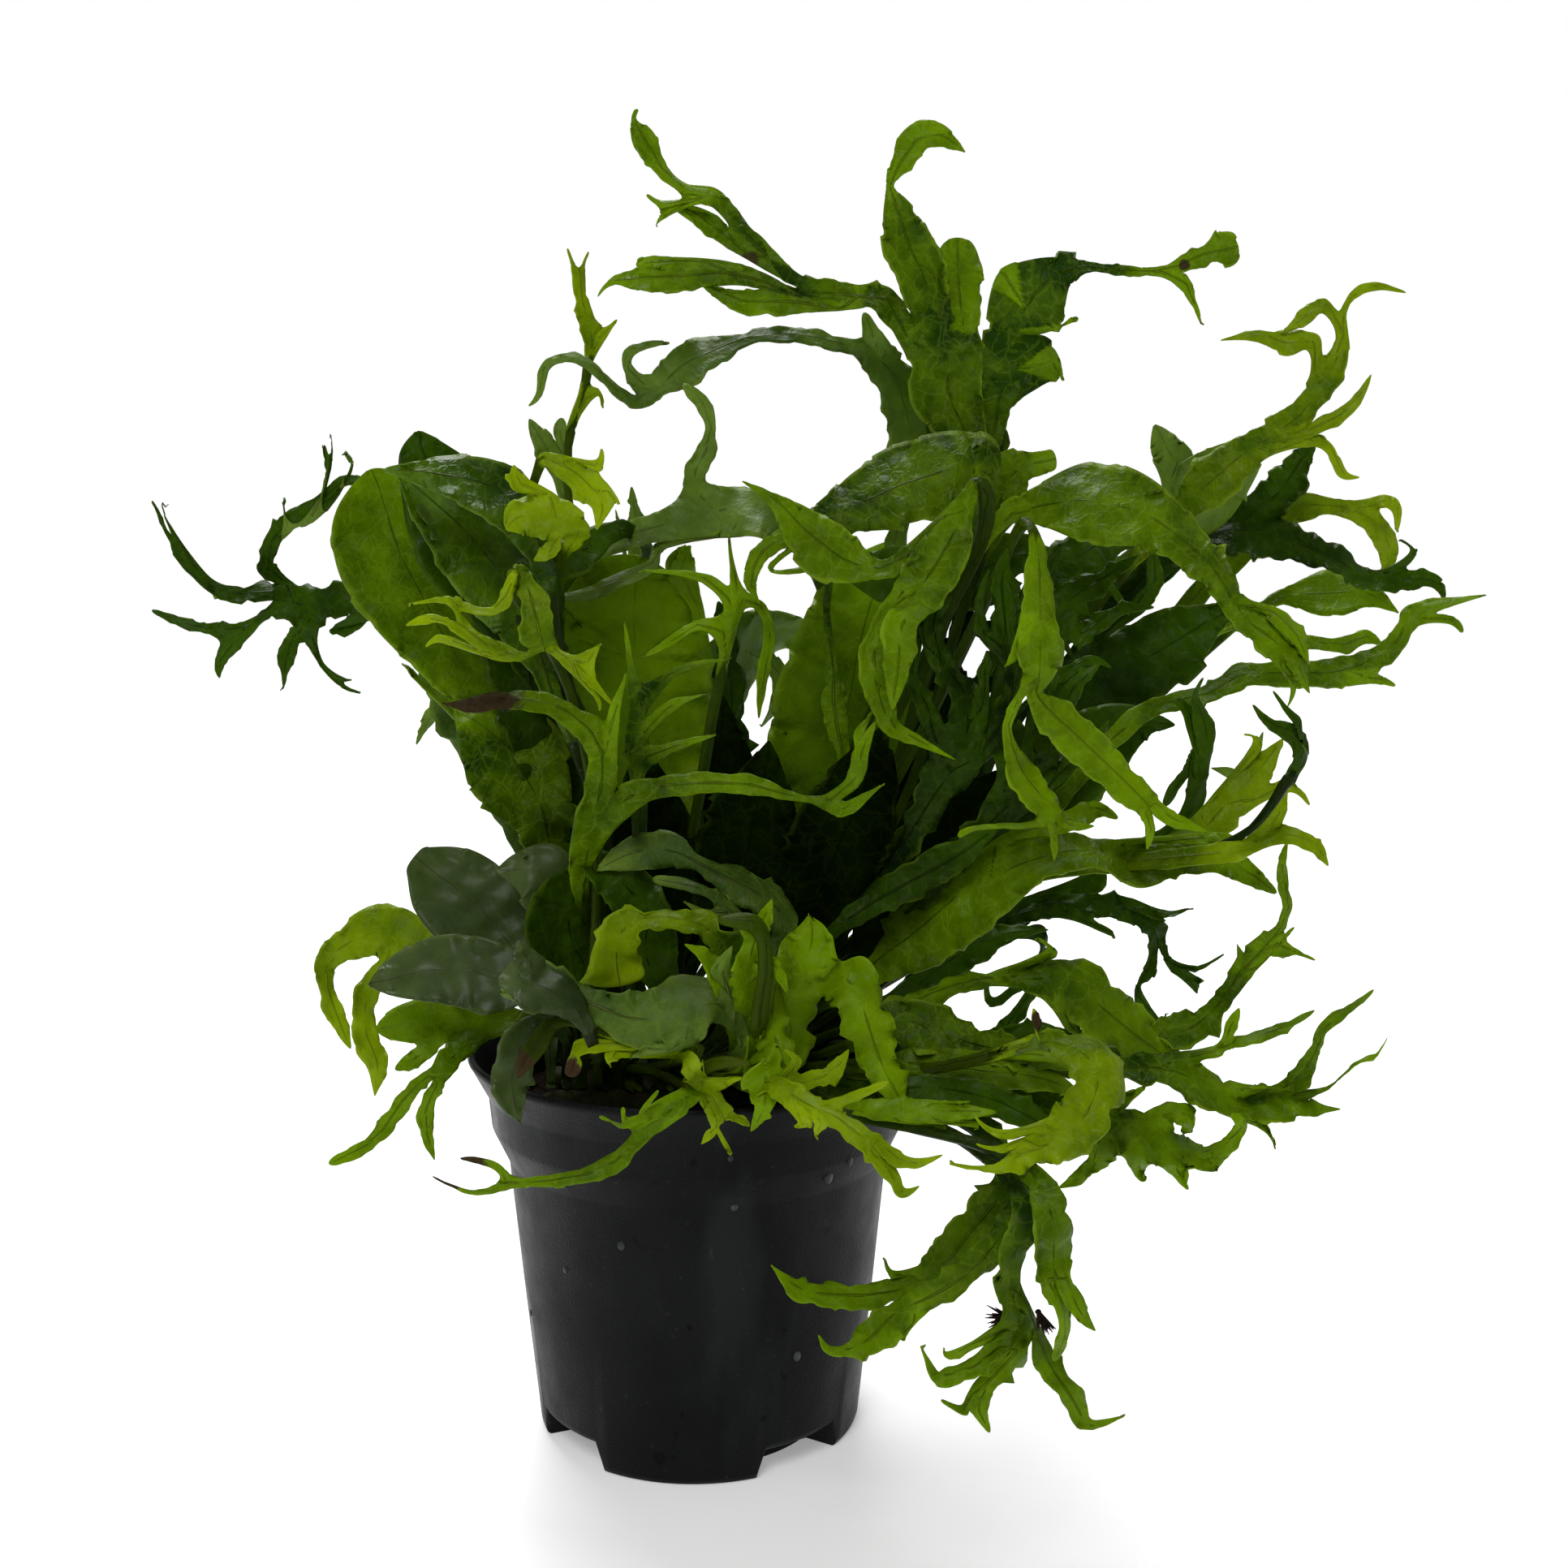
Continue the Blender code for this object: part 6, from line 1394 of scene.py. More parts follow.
frond("far_low_leaf", "back", 17.5, [(36, 84, 0.9, -34), (44, 88, 3, -44), (50, 92.5, 4, -50),
    (56, 96.2, 3.4, -54), (62, 98, 1.6, -56), (68, 98.5, 0.3, -57)],
    tilt=(0.2, 0.8), face="deep", tone=0.6)
tell()

# %% [markdown]
# These lean out over the rim and rise again at their tips. Their forks are the raggedest of the plant,
# and a few plain leaves lie behind them like an open fan.

# %% Low right fronds
frond("low_bow", "middle", 16, [(34, 80, 1.2, 24), (42, 83.5, 1.8, 30), (50, 86.8, 2, 32),
    (59, 88.9, 1.5, 33), (66, 88.8, 3.2), (71, 88, 5), (76, 85.6, 5.6), (81, 81.5, 5.6), (86, 77.3, 4.8),
    (91, 73.6, 3.6), (96.5, 70.4, 1.8), (100, 68.8, 0.3)],
    left(4, [(69.6, 94, 1.4, 34), (67, 96.6, 0.3)]),
    right(6, [(76, 76.4, 1.4, 34), (77.6, 73, 0.3)]),
    tilt=(0.1, 0.9), tone=0.45, teeth=2.2, ruffle=1.8, twist=0.9)
frond("low_rising", "middle", 18, [(40, 74.5, 1, 20), (64, 75, 1.6, 24), (80, 75.3, 2.8, 25),
    (91, 76, 3.8, 26), (98.5, 79.3, 3.4), (103.6, 84.2, 2), (107.2, 90.2, 2.1), (111, 94.8, 2.1),
    (114.3, 99, 1.1), (115.7, 103, 0.9), (115, 107, 1), (114.3, 111, 0.9), (115, 115.3, 0.3)],
    right(8, [(117.4, 94.2, 0.7), (121, 92.7, 0.2)]),
    right(7, [(116.2, 98, 0.3)]),
    tilt=(0.3, 0.7), teeth=2.2, ruffle=1.5, tone=0.25)
frond("low_long", "front", 18, [(38, 69, 0.9, 32), (60, 71, 1.4, 40), (80, 70.8, 2.3, 43),
    (91.5, 70.6, 3.2, 44), (98, 68.4, 3.6, 45), (104, 64.9, 3.4), (110, 62.6, 2.6), (116, 63, 3.3),
    (121, 62.4, 1.8), (126.6, 62.2, 0.3)],
    left(4, [(102.5, 74, 1.2), (107, 76, 1.1), (114, 78, 1.1), (120.8, 81.7, 0.4)], left(1, [(105.4, 79, 1.2),
        (106.7, 82.3, 0.4)])),
    left(7, [(118, 67.4, 1.8, 46), (120.8, 71.5, 1.9), (122.7, 75.5, 1.2), (124, 79, 1.1), (130.5, 84, 0.7),
        (133.1, 86.3, 0.2)]),
    left(8, [(125, 66.5, 0.35), (130, 71.3, 0.3), (134, 73, 0.25), (136.2, 76.3, 0.1)]),
    left(6, [(113.6, 66.8, 0.4, 46), (109, 66.4, 0.15)]),
    right(6, [(112, 59.2, 0.8), (114.8, 55.2, 0.2)]),
    tilt=(0.2, 0.8), tone=0.2, teeth=2.2, ruffle=1.5)
frond("low_bright", "front", 16, [(31, 69.2, 0.9, 36), (49, 71, 1.1, 50), (62, 74.5, 1.2, 58),
    (70, 76, 2.2, 62), (77, 72.8, 4, 66), (79, 67, 5.4, 69), (77, 61.5, 6.2, 71), (73, 57, 5, 73),
    (68, 54, 3.6, 74), (63.5, 52, 2.2, 75), (59, 49.8, 1), (50.7, 50.9, 0.2)],
    right(8, [(60.5, 57, 0.9, 74), (55.6, 60, 0.2)]),
    right(9, [(60.5, 54, 0.8, 75), (56, 54.8, 0.2)]),
    right(3, [(67, 79.4, 0.8, 61), (66.4, 82.4, 0.2)]),
    tilt=(0.4, 0.6), face="young", tone=0.35, teeth=2.6, ruffle=2, twist=0.8, dead=[(67.5, 80, 61, 2.6)])
frond("low_crest", "front", 17, [(36, 68, 0.9, 34), (54, 68, 1.4, 42), (68, 65, 3, 46), (78, 61, 4.2, 50),
    (86, 57.5, 5.2), (93, 54.8, 4.2), (99, 52, 2.6), (104.5, 54, 2), (108, 58.5, 1.2), (106.4, 61, 0.6)],
    right(5, [(88, 49.6, 1.2), (89, 47.6, 0.6)]),
    right(4, [(79, 50.6, 2), (75.5, 47.8, 1.2), (72.2, 46, 0.2)]),
    left(5, [(96.5, 61, 2, 49), (98, 57.6, 0.4)]),
    right(6, [(96, 48.6, 1.2), (97.6, 46, 0.3)]),
    left(4, [(84, 63.4, 1.8, 49), (88.4, 66.6, 0.4)]),
    right(7, [(103.5, 49.6, 0.3)]),
    tilt=(0.3, 0.7), tone=0.23, teeth=2.4, ruffle=1.8, twist=0.8)
frond("low_fan_top", "front", 13.5, [(30, 75, 1.4, 34), (36, 79.4, 4, 38), (43, 79.6, 5.2, 40),
    (50, 77, 4.4, 42), (58, 74.6, 3.4, 44), (66, 73, 2.6, 45), (72, 71.8, 1.6), (77, 70.5, 0.4)],
    right(4, [(68, 77, 1, 44), (73, 77, 0.3)]),
    tilt=(0.1, 0.8), tone=0.3, tips=20, cup=0.2, teeth=1.8, ruffle=1.6, twist=0.7)
frond("low_fan_middle", "front", 12.5, [(32, 71, 1.4, 40), (42, 71.4, 3, 46), (52, 70.6, 3.6, 48),
    (62, 69.4, 3, 49), (70, 67.6, 2.2, 50), (75, 65.6, 0.5)],
    left(3, [(68, 73, 1.1, 49), (74, 72.6, 0.3)]),
    tilt=(0.1, 0.8), tone=0.35, tips=24, teeth=1.8, ruffle=1.6, twist=0.7)
frond("low_fan_low", "front", 11.5, [(30, 66.4, 1.4, 44), (42, 66.4, 2.8, 52), (52, 65.6, 3.4, 54),
    (60, 63.4, 3.2, 55), (66.5, 60, 2.4, 56), (71, 56.6, 0.6)],
    tilt=(0.1, 0.8), face="deep", tone=0.55, tips=24)
frond("low_fan_curls", "front", 10.5, [(26, 63.6, 1.2, 50), (36, 62.4, 2.4, 58), (44, 61.8, 2.4, 60),
    (52, 61.6, 1.6, 61), (58, 61.6, 0.5)],
    right(2, [(47.8, 58.6, 0.6, 61), (48.3, 57.4, 0.3)]),
    right(3, [(54.5, 59.2, 0.7, 61), (55.2, 58.2, 0.3)]),
    left(3, [(53, 63.6, 0.2, 61)]),
    tilt=(0.1, 0.8), tone=0.4, teeth=1.8)
frond("low_dark_fold", "front", 14.5, [(34, 70, 1.2, 30), (50, 72.6, 2, 34), (62, 76, 3.4, 37),
    (68, 77, 3, 38), (73, 74.8, 2.2, 39), (77, 71, 0.6)],
    tilt=(0.2, 0.8), face="deep", tone=0.4)
tell()

# %% [markdown]
# Four fronds hang down beside the pot. They are older, so they start dark and get paler along the last
# part only.

# %% Trailing fronds
frond("trailing_arm", "front", 15, [(28, 67.5, 0.9, 38), (45, 65.5, 1, 47), (57.5, 59, 1.5, 53),
    (61.5, 50, 2, 57), (59, 42.5, 4, 59), (54, 36.5, 4.6, 60), (50, 31, 4, 61), (45, 27, 3), (39, 24.3, 2.6),
    (32, 23.2, 2.6), (25, 23.3, 2.5), (19.5, 25, 1.8), (15, 29.2, 0.2)],
    right(8, [(38.6, 28, 0.8), (37.4, 30.6, 0.2)]),
    tilt=(0.2, 0.5), teeth=1.6, ruffle=1.3, twist=0.6, tone=0.1, tips=50)
frond("trailing_strap", "front", 14, [(25, 66, 0.9, 42), (46, 62.5, 1, 54), (60, 54, 1.3, 58),
    (65.5, 45, 2.4, 65), (62, 38, 3, 69), (57, 31.5, 2.8), (51, 26.3, 3), (44, 21.8, 3), (38.5, 18.5, 3.6),
    (34.5, 14, 3.6), (30, 11.8, 1.6), (26, 12, 0.8), (24.2, 14.6, 0.2)],
    left(8, [(41.3, 15.6, 0.8), (41.1, 14, 0.4)]),
    tilt=(0.2, 0.5), teeth=1.6, ruffle=1.3, twist=0.6, tone=0.06, tips=50)
frond("trailing_stem", "front", 13, [(22, 65, 0.9, 46), (44, 60, 1, 57), (59, 51, 1.4, 64), (65, 42, 2.6, 75),
    (63.5, 33, 2.8), (62.3, 25, 2.6), (64, 18, 3.2), (62.3, 12.5, 4)],
    left(6, [(70, 10, 2.2, 74), (74, 4, 2.2), (77, -1, 2.1), (79.6, -4.2, 1.3), (85.5, -2.4, 0.2)]),
    right(7, [(51.5, 11, 1, 76), (49.4, 12, 0.2)]),
    fork([(58, 4.5, 2.4), (56.7, -1, 1.8), (58.5, -5, 0.5)], right(1, [(53.6, -1, 1.2, 76),
        (49.6, 0.8, 0.4)])),
    fork([(55.5, 8.2, 2, 76), (50, 6.3, 2), (47.4, 6.6, 1), (45, 12, 0.2)]),
    tilt=(0.3, 0.4), teeth=1.6, ruffle=1.3, twist=0.6, tone=0.06, tips=40)
frond("trailing_leaf", "front", 12, [(18, 64.5, 0.9, 48), (42, 58.5, 1, 60), (59, 54, 1.3, 67),
    (67, 48.5, 2.4, 76), (70.4, 40.5, 3.5, 83), (71, 33.5, 3.7), (71.6, 27, 3.5)],
    fork([(76, 20.8, 1.7), (79.4, 16.5, 0.3)]),
    fork([(73, 20.8, 1.3), (73.6, 15, 1.1), (71.9, 10.3, 0.7)]),
    tilt=(0.7, 0.3), teeth=1.6, ruffle=1.3, twist=0.6, tone=0.1, tips=40)
tell()

# %% [markdown]
# A tangle of young leaves spills over the front of the rim. They are the brightest, and two are rolled
# so that the dull grey-green underside shows.

# %% Front fronds
frond("hood", "front", 11, [(16, 70, 1.6, 32), (18, 78, 4, 36), (19.4, 86, 5, 38), (22, 93, 6.2),
    (22.4, 98, 3.6, 37), (22, 101, 0.4)],
    left(3, [(14.6, 82, 3.2, 42), (15.6, 75.4, 3, 47), (17.6, 70, 1.8, 50), (19.4, 66.6, 0.3, 51)]),
    right(3, [(30, 88, 5.4, 41), (33.4, 80, 4.8, 46), (35.6, 73, 3.8, 51), (38.6, 66.5, 2.4, 55),
        (42, 61.2, 0.3, 57)]),
    tilt=(0.3, 0.4), face="mid", tone=0.75, cup=-0.3, twist=0.8, teeth=2.2, ruffle=1.8)
frond("front_bright", "front", 10, [(9, 67, 1.2, 44), (14, 67.5, 2.2, 54), (19, 64.6, 2.8, 59),
    (23.5, 62, 2.4, 62), (27.5, 60.4, 2, 65), (31, 57.4, 2.2, 68), (34.8, 54.6, 2.5, 70)],
    right(3, [(20.8, 59.2, 1.2, 62), (19.4, 58.6, 0.3)]),
    right(4, [(23.4, 57, 0.3)]),
    left(4, [(31.5, 65, 1, 66), (37, 67.4, 0.5, 67)]),
    fork([(39.5, 52, 1.5, 71), (43.5, 51, 1.1, 72), (48, 52.5, 0.3)]),
    fork([(37.8, 49.4, 1.5, 71), (40.6, 45, 1.2, 72), (43.6, 46, 0.3)]),
    tilt=(0.3, 0.4), face="young", tone=0.5, teeth=1.7)
frond("pale_front", "front", 6, [(7, 73, 1.2, 38), (7, 80, 2.2, 43), (3.4, 83.6, 4.6, 45),
    (-1.6, 82.6, 7, 45.6), (-7, 80.8, 6.8, 46), (-12, 80.6, 5.6), (-17, 82, 4.4), (-23.3, 84.6, 2.8),
    (-28, 86.6, 4.6), (-32.4, 87.6, 6), (-36, 87, 3.6), (-38.6, 85.8, 0.5)],
    right(2, [(4.6, 90, 2.4, 45), (6.4, 94.6, 0.4)]),
    left(4, [(-9.6, 74.6, 1.4, 46), (-13, 73, 0.3)]),
    tilt=(0.1, 0.6), face="under", back="mid", tone=0.35, tips=8, cup=-0.3, twist=0.9, teeth=1.4, ruffle=1.6)
frond("dark_fold", "front", 3.5, [(-20, 73, 1, 42), (-21.6, 78, 1.4, 47), (-24.2, 82.4, 2.6, 50.5),
    (-28.2, 85.4, 4.6, 52), (-32.4, 87.6, 5.6), (-36.2, 88.6, 4), (-38.8, 87.8, 1.2)],
    right(5, [(-34.6, 94.4, 1.8), (-35.2, 96, 0.4)]),
    tilt=(0.1, 0.6), face="wet", back="under", tone=0.2, tips=8, cup=-0.3, twist=0.5)
frond("front_fingers", "front", 7.5, [(-1, 72, 1, 38), (-4, 76.6, 1.6, 44), (-12, 76.6, 1.6),
    (-19, 78.6, 1.6), (-25, 80.8, 1.6), (-29, 79.6, 1.6, 45), (-31.4, 76, 1.9, 46), (-34, 72.4, 1.8, 47),
    (-35.8, 69, 0.5, 48)],
    left(2, [(-21.4, 75.2, 1.5, 46), (-24.2, 72.6, 1.5, 47), (-25.4, 69.4, 1.2)]),
    left(1, [(-15.6, 73.8, 1.3, 46), (-17.6, 71.4, 0.3, 47)]),
    left(0, [(-2.6, 72, 2.1, 50), (0.6, 67.6, 1.9, 51), (3.4, 63, 2.2), (5, 60, 2.8)], fork([(8.6, 60.1, 1),
        (9.9, 58.9, 0.3)]), fork([(2.5, 57.4, 1), (0.8, 55.3, 0.2)]), right(2, [(5.6, 54.4, 0.5)])),
    tilt=(0.1, 0.6), face="young", tone=0.25, teeth=1.6, dead=[(-36.5, 68.5, 48, 7), (-25.3, 68.5, 47, 5)])
tell()

# %% [markdown]
# Between them lie small curls. Each is short and drawn with few rows, but their margins have strong
# ruffles, so that light and shade change quickly, as in the photograph.

# %% Small curls at the front
frond("yellow_arc", "front", 7, [(3, 76, 1, 30), (6, 88, 1.6, 33), (5.5, 95, 2.6, 34), (1.5, 99, 2.6, 35),
    (-4, 100.6, 1.8, 36), (-9.6, 100.8, 2.2, 37), (-14.6, 98.6, 3.6), (-16.4, 93.4, 4.8), (-15.6, 88, 4.6)],
    tilt=(0.2, 0.5), face="young", tone=0.1, ruffle=2.4, teeth=2.6, twist=0.8)
frond("front_strap", "front", 8.5, [(8, 69, 1.2, 42), (12, 80, 1.8, 46), (13.4, 90, 1.5, 47),
    (13, 96.4, 1.4, 48), (10.4, 100, 1.8), (5, 100.4, 0.8)],
    right(0, [(13.4, 74, 2.6, 49), (13.4, 69, 3.6, 52), (13.2, 64, 2.4, 54), (12, 60.4, 1.4),
        (10.6, 58, 0.3)]),
    tilt=(0.2, 0.5), face="mid", tone=0.85, teeth=2.4, twist=0.9)
frond("front_mid_leaf", "front", 8, [(6, 72, 1.4, 30), (8, 80, 3.2, 40), (9.4, 88, 3.6, 44),
    (10.6, 94.6, 2.6, 45), (12.6, 99.4, 2), (14.4, 104, 0.4, 44)],
    left(2, [(3.6, 91.4, 2.4, 43), (-1.6, 95.2, 0.4)]),
    right(3, [(15, 91.6, 1.8, 45), (17.4, 86.6, 0.4, 46)]),
    tilt=(0.2, 0.5), tone=0.8, tips=14, ruffle=2, teeth=2, twist=1)
frond("front_curl", "front", 9.5, [(9, 68, 1.2, 46), (15, 67, 1.8, 52), (20, 67.6, 2.1, 55),
    (24.6, 68.8, 2, 56), (28, 71.4, 1.2), (29.6, 74, 0.3)],
    left(2, [(19.6, 72, 1.2, 55), (17.6, 74, 0.3)]),
    tilt=(0.2, 0.5), face="young", tone=0.2, teeth=2.2)
frond("front_small_curls", "front", 5.5, [(0, 66.6, 1, 44), (0.6, 69.6, 1.3, 50), (5, 71.8, 1.2, 52),
    (10, 71.4, 0.5, 53)],
    right(1, [(8, 68.6, 0.6, 53), (5.4, 67.4, 0.3)]),
    tilt=(0.1, 0.5), face="young", tone=0.6)
frond("front_inner", "front", 4.5, [(-7, 84, 1.6, 16), (-10, 92, 5.6, 18), (-10, 99, 6, 20), (-13, 106, 5),
    (-19, 111, 3.4), (-24, 114.4, 0.6)],
    tilt=(0.2, 0.5), face="deep", tone=0.6, tips=10)
frond("middle_leaf", "front", 9, [(9, 80, 1.4, 22), (14.5, 91, 2.2), (17.2, 97.5, 2.6), (15.5, 102.5, 3.2),
    (10.5, 106.2, 3.6), (5, 109, 2.6, 21), (0, 112, 1.6), (-5, 114.2, 3.4), (-12, 113.8, 3.4),
    (-19, 110.8, 0.6)],
    left(1, [(9, 97, 1.5, 25), (7, 101.5, 1.6, 26), (3.8, 104.8, 1.2), (-0.5, 107, 1), (-7.5, 108.5, 0.9)],
        left(2, [(2.2, 101.6, 0.9, 27), (-2, 103.8, 0.2)])),
    tilt=(0.2, 0.6), face="under", back="mid", tone=0, tips=8, cup=-0.3)
frond("rim_strap", "front", 5, [(-1, 67, 1, 42), (-2.5, 64.5, 2.4, 54), (-7, 60.8, 2.2, 57),
    (-12, 56.5, 1.9, 58), (-16.5, 51.5, 2), (-22.5, 48.6, 1.6), (-29.5, 47.5, 1.2), (-36, 47, 1.1),
    (-40.5, 46, 0.9), (-46, 45.1, 0.4), (-52.3, 47.8, 0.2)],
    right(2, [(-11, 61.6, 1.1, 59), (-8.6, 65.2, 0.4)]),
    right(3, [(-14.6, 59.4, 1.4, 59), (-15, 62, 0.5)], left(0, [(-18.8, 60.3, 0.4, 59)])),
    right(8, [(-39.6, 49.6, 0.8), (-43, 51.4, 0.7), (-47, 52, 0.3)]),
    tilt=(0.1, 0.5), tone=0.55, dead=[(-48, 52, 58, 6), (-53, 48, 58, 6)])
frond("rim_leaf", "front", 1, [(-26, 77, 1.4, 30), (-32.5, 79, 2.6, 38), (-35.6, 74.5, 3.3, 42),
    (-37.2, 69, 4, 43), (-36.9, 64, 3, 44), (-35.8, 59.8, 0.4)],
    tilt=(0.4, 0.4), face="wet", back="under", tone=0.3)
tell()

# %% [markdown]
# On the left, dark wet leaves lie low over the rim. They are broad and smooth, with hardly any net, so
# their finish has a thin clear coat and a greyer colour, which is partly a painted sheen of the wet
# surface. A young yellow frond is ruffled beside them.

# %% Low leaves on the left
frond("round_dark", "middle", 0, [(-33, 89, 2, 2), (-37, 95.6, 6.6, 0), (-41.6, 101, 9.2, -1),
    (-46.4, 105.4, 9.4, -2), (-50.8, 109.2, 7.6, -3), (-54, 112, 4), (-55.2, 113, 2)],
    tilt=(0.4, 0.5), face="wet", back="under", tone=0.3, ruffle=0.5, teeth=0.4)
frond("grey_fold", "middle", 1.5, [(-26, 90, 1.4, 8), (-27.4, 99, 3, 9), (-28.6, 106, 6.4), (-31, 110, 6.6),
    (-35.6, 110.4, 3.4), (-39, 110.4, 0.5)],
    tilt=(0.4, 0.5), face="wet", back="under", tone=0.75, ruffle=0.6, teeth=0.5)
frond("left_inner", "middle", 2.5, [(-20, 84, 2, 12), (-23, 92, 6.6, 14), (-25.6, 99, 8), (-24, 106, 6),
    (-21, 111, 1)],
    tilt=(0.4, 0.5), face="deep", tone=0.35, tips=8, dead=[(-30, 97, 14, 3), (-20, 99, 14, 2)])
frond("wet_dark", "front", 0, [(-30, 84, 3, 20), (-36, 87.6, 6.2), (-44, 89.8, 7.5, 19),
    (-51.5, 90.4, 6.6, 18), (-58, 89.2, 4.7, 17), (-63, 88, 2, 16), (-64.8, 87.5, 0.3)],
    tilt=(0.2, 0.6), face="wet", back="under", tone=0.4, ruffle=0.7, teeth=0.5)
frond("wet_low", "middle", 1, [(-34, 80, 2.2, 6), (-42, 79.8, 4), (-50, 80, 4.4), (-57, 79.7, 4),
    (-62.6, 78.6, 1.6)],
    left(2, [(-49, 72.6, 2.4, 16), (-52.5, 68.4, 2.4, 18)], fork([(-54.3, 62, 1.6), (-54.2, 57, 1.3),
        (-53, 52.4, 0.3)]), fork([(-58.5, 64.2, 1.6), (-62.6, 58.2, 1.6), (-66.5, 54.6, 1.3),
        (-72.8, 51.4, 0.9)])),
    left(3, [(-55.6, 73, 1.8), (-59.5, 70.6, 0.7)]),
    tilt=(0.2, 0.6), face="mid", tone=0.5, teeth=1.5)
frond("yellow_ruffle", "back", 0, [(-40, 92, 1.2, -30), (-51, 96.6, 2, -34), (-58, 98.6, 4.8, -35),
    (-64, 97.6, 5, -36), (-70, 95, 3, -37), (-73.5, 91, 2.2), (-73.2, 86.6, 1.4), (-71.8, 82, 2),
    (-69.3, 75.6, 0.6)],
    left(3, [(-64, 88.4, 2.3, -34), (-66, 83, 2.2, -33), (-65.8, 77, 2.6), (-63.8, 71.6, 2.3),
        (-64.2, 65.8, 0.4)]),
    tilt=(0.3, 0.5), face="young", tone=0.5, ruffle=1.6)
frond("low_left", "middle", 2, [(-22, 98, 2, 2), (-26.6, 108, 3.8, -2), (-29, 115, 4.6, -3),
    (-30, 121.5, 6.6, -4), (-32.6, 127, 9.4, -5), (-35.6, 132, 10.6, -6), (-39.4, 136.6, 8.6, -7),
    (-43.6, 140, 4.6), (-46.4, 141.6, 1, -8)],
    tilt=(0.4, 0.4), face="mid", tone=0.15, tips=10, teeth=1.6, ruffle=1.4)
tell()

# %% [markdown]
# Bright young forks cross the left side. One has a tip that died off brown, and one is like a comb:
# many thin fingers leave one side of a narrow blade.

# %% Young forks on the left
frond("burnt", "front", 3, [(-19, 90, 1.2, 8), (-22.6, 105, 1.6, 16), (-21.4, 116, 3.2, 24),
    (-18.5, 127, 3.2, 26), (-18.3, 133, 3, 27), (-20.6, 138, 2.8, 28), (-26, 141.8, 2.2, 29),
    (-32, 143.5, 1.9, 30), (-38, 143.7, 1.7, 31), (-43, 142.8, 1.5), (-48.3, 143, 0.2)],
    right(3, [(-13, 124.8, 2.8, 26), (-6, 127, 2.1, 27), (4.5, 127.6, 2, 28), (11, 127.2, 1.9, 29),
        (17.5, 125.3, 1, 30), (24, 124.2, 1, 31), (28.5, 122.4, 1.6, 32), (35.2, 126.6, 0.2, 33)],
        left(6, [(30.6, 128.4, 1.4, 33), (32, 133.5, 1.5), (34.3, 138.8, 0.4)])),
    right(5, [(-15.6, 142, 1.1), (-13.8, 147.8, 0.2)]),
    tilt=(0.4, 0.4), tone=0.4, dead=[(-48, 143, 31, 17)])
frond("pinnate", "front", 4, [(-13, 88, 0.9, 18), (-11.5, 108, 1.1, 17), (-11.2, 124, 1.6, 16),
    (-11.4, 130, 2), (-11.5, 135.5, 2.2), (-11.4, 141, 1.8), (-11.8, 147, 1.4), (-13.4, 157, 0.3)],
    right(4, [(-4, 134.8, 1, 17), (3, 136.8, 0.2)]),
    right(5, [(-5, 142.5, 1, 17), (0.7, 144.6, 0.2)]),
    right(6, [(-4.5, 149, 1, 17), (4.8, 151.4, 0.2)]),
    tilt=(0.3, 0.4), tone=0.05, tips=14, teeth=1.8)
frond("left_yellow", "front", 2, [(-20, 100, 0.8, 20), (-20.4, 126, 0.8, 21), (-24.6, 146, 0.8, 26),
    (-31, 159, 1, 34), (-34.6, 166, 1.6, 39), (-33.2, 168, 1.9, 41), (-31.4, 163, 2.5, 43),
    (-30.3, 157.6, 3.2, 44), (-29.4, 153.2, 3)],
    fork([(-24, 151.3, 1.7), (-20.4, 148, 1.2), (-16.8, 143.6, 0.3)], left(1, [(-18.6, 154.2, 0.3)]),
        right(1, [(-19.4, 144.6, 0.4), (-18.6, 142, 0.2)])),
    fork([(-36, 152.6, 1.5), (-41, 154.7, 1.6), (-46, 158.8, 1.6)], left(1, [(-47.6, 155.4, 0.8),
        (-51.6, 154.4, 0.3)]), fork([(-50.7, 159.4, 0.9), (-55, 158.4, 0.3)]), fork([(-47.6, 163, 0.8),
        (-54.5, 162.2, 0.2)], right(0, [(-43.6, 161.4, 0.8, 44), (-39, 160.8, 0.8), (-36.4, 163.6, 1.2, 43),
        (-34.6, 168, 0.8, 42)]))),
    tilt=(0.4, 0.4), face="young", tone=0.15, teeth=1.6)
tell()

# %% [markdown]
# Broad old blades stand behind the forks and nearly hide each other. The backing leaves are only there
# to close the gaps between them. Two small yellow tabs show the colour of the youngest leaves.

# %% Broad leaves on the left
frond("broad_left", "middle", 3, [(-28, 112, 1.6, -16), (-37, 134, 3.6, -19), (-42, 145, 5.2, -21),
    (-47.2, 153.2, 7.6, -22), (-52, 162, 10.6, -23), (-56.5, 171, 12.2, -24), (-58.8, 179, 11, -25),
    (-60.5, 184.5, 6.8), (-61.5, 187.4, 1.6)],
    left(2, [(-54.6, 148.8, 0.5, -22)]),
    tilt=(0.5, 0.4), tone=0.5, tips=12)
frond("hump_left", "middle", 4, [(-19, 110, 1.2, -14), (-24, 135, 2, -15), (-30, 151, 5, -13),
    (-34, 163, 9.4, -11), (-40, 173, 12.4), (-46, 181, 10.4), (-50, 187.5, 6.6, -12), (-52, 192, 4),
    (-52.3, 194.6, 0.8)],
    tilt=(0.4, 0.5), face="deep", tone=0.6, cup=0.25, tips=10)
frond("left_wing", "middle", 6.2, [(-10, 104, 0.9, -40), (-12, 140, 0.9, -44), (-11, 162, 0.9),
    (-9, 172.4, 1.2, -32), (-14, 176.4, 1.8, -16), (-21, 172.6, 3.4, -6), (-28, 169.8, 3.8, -4),
    (-33, 170.4, 2.2), (-35.6, 172, 0.4)],
    tilt=(0.2, 0.5), face="deep", tone=0.6, tips=8)
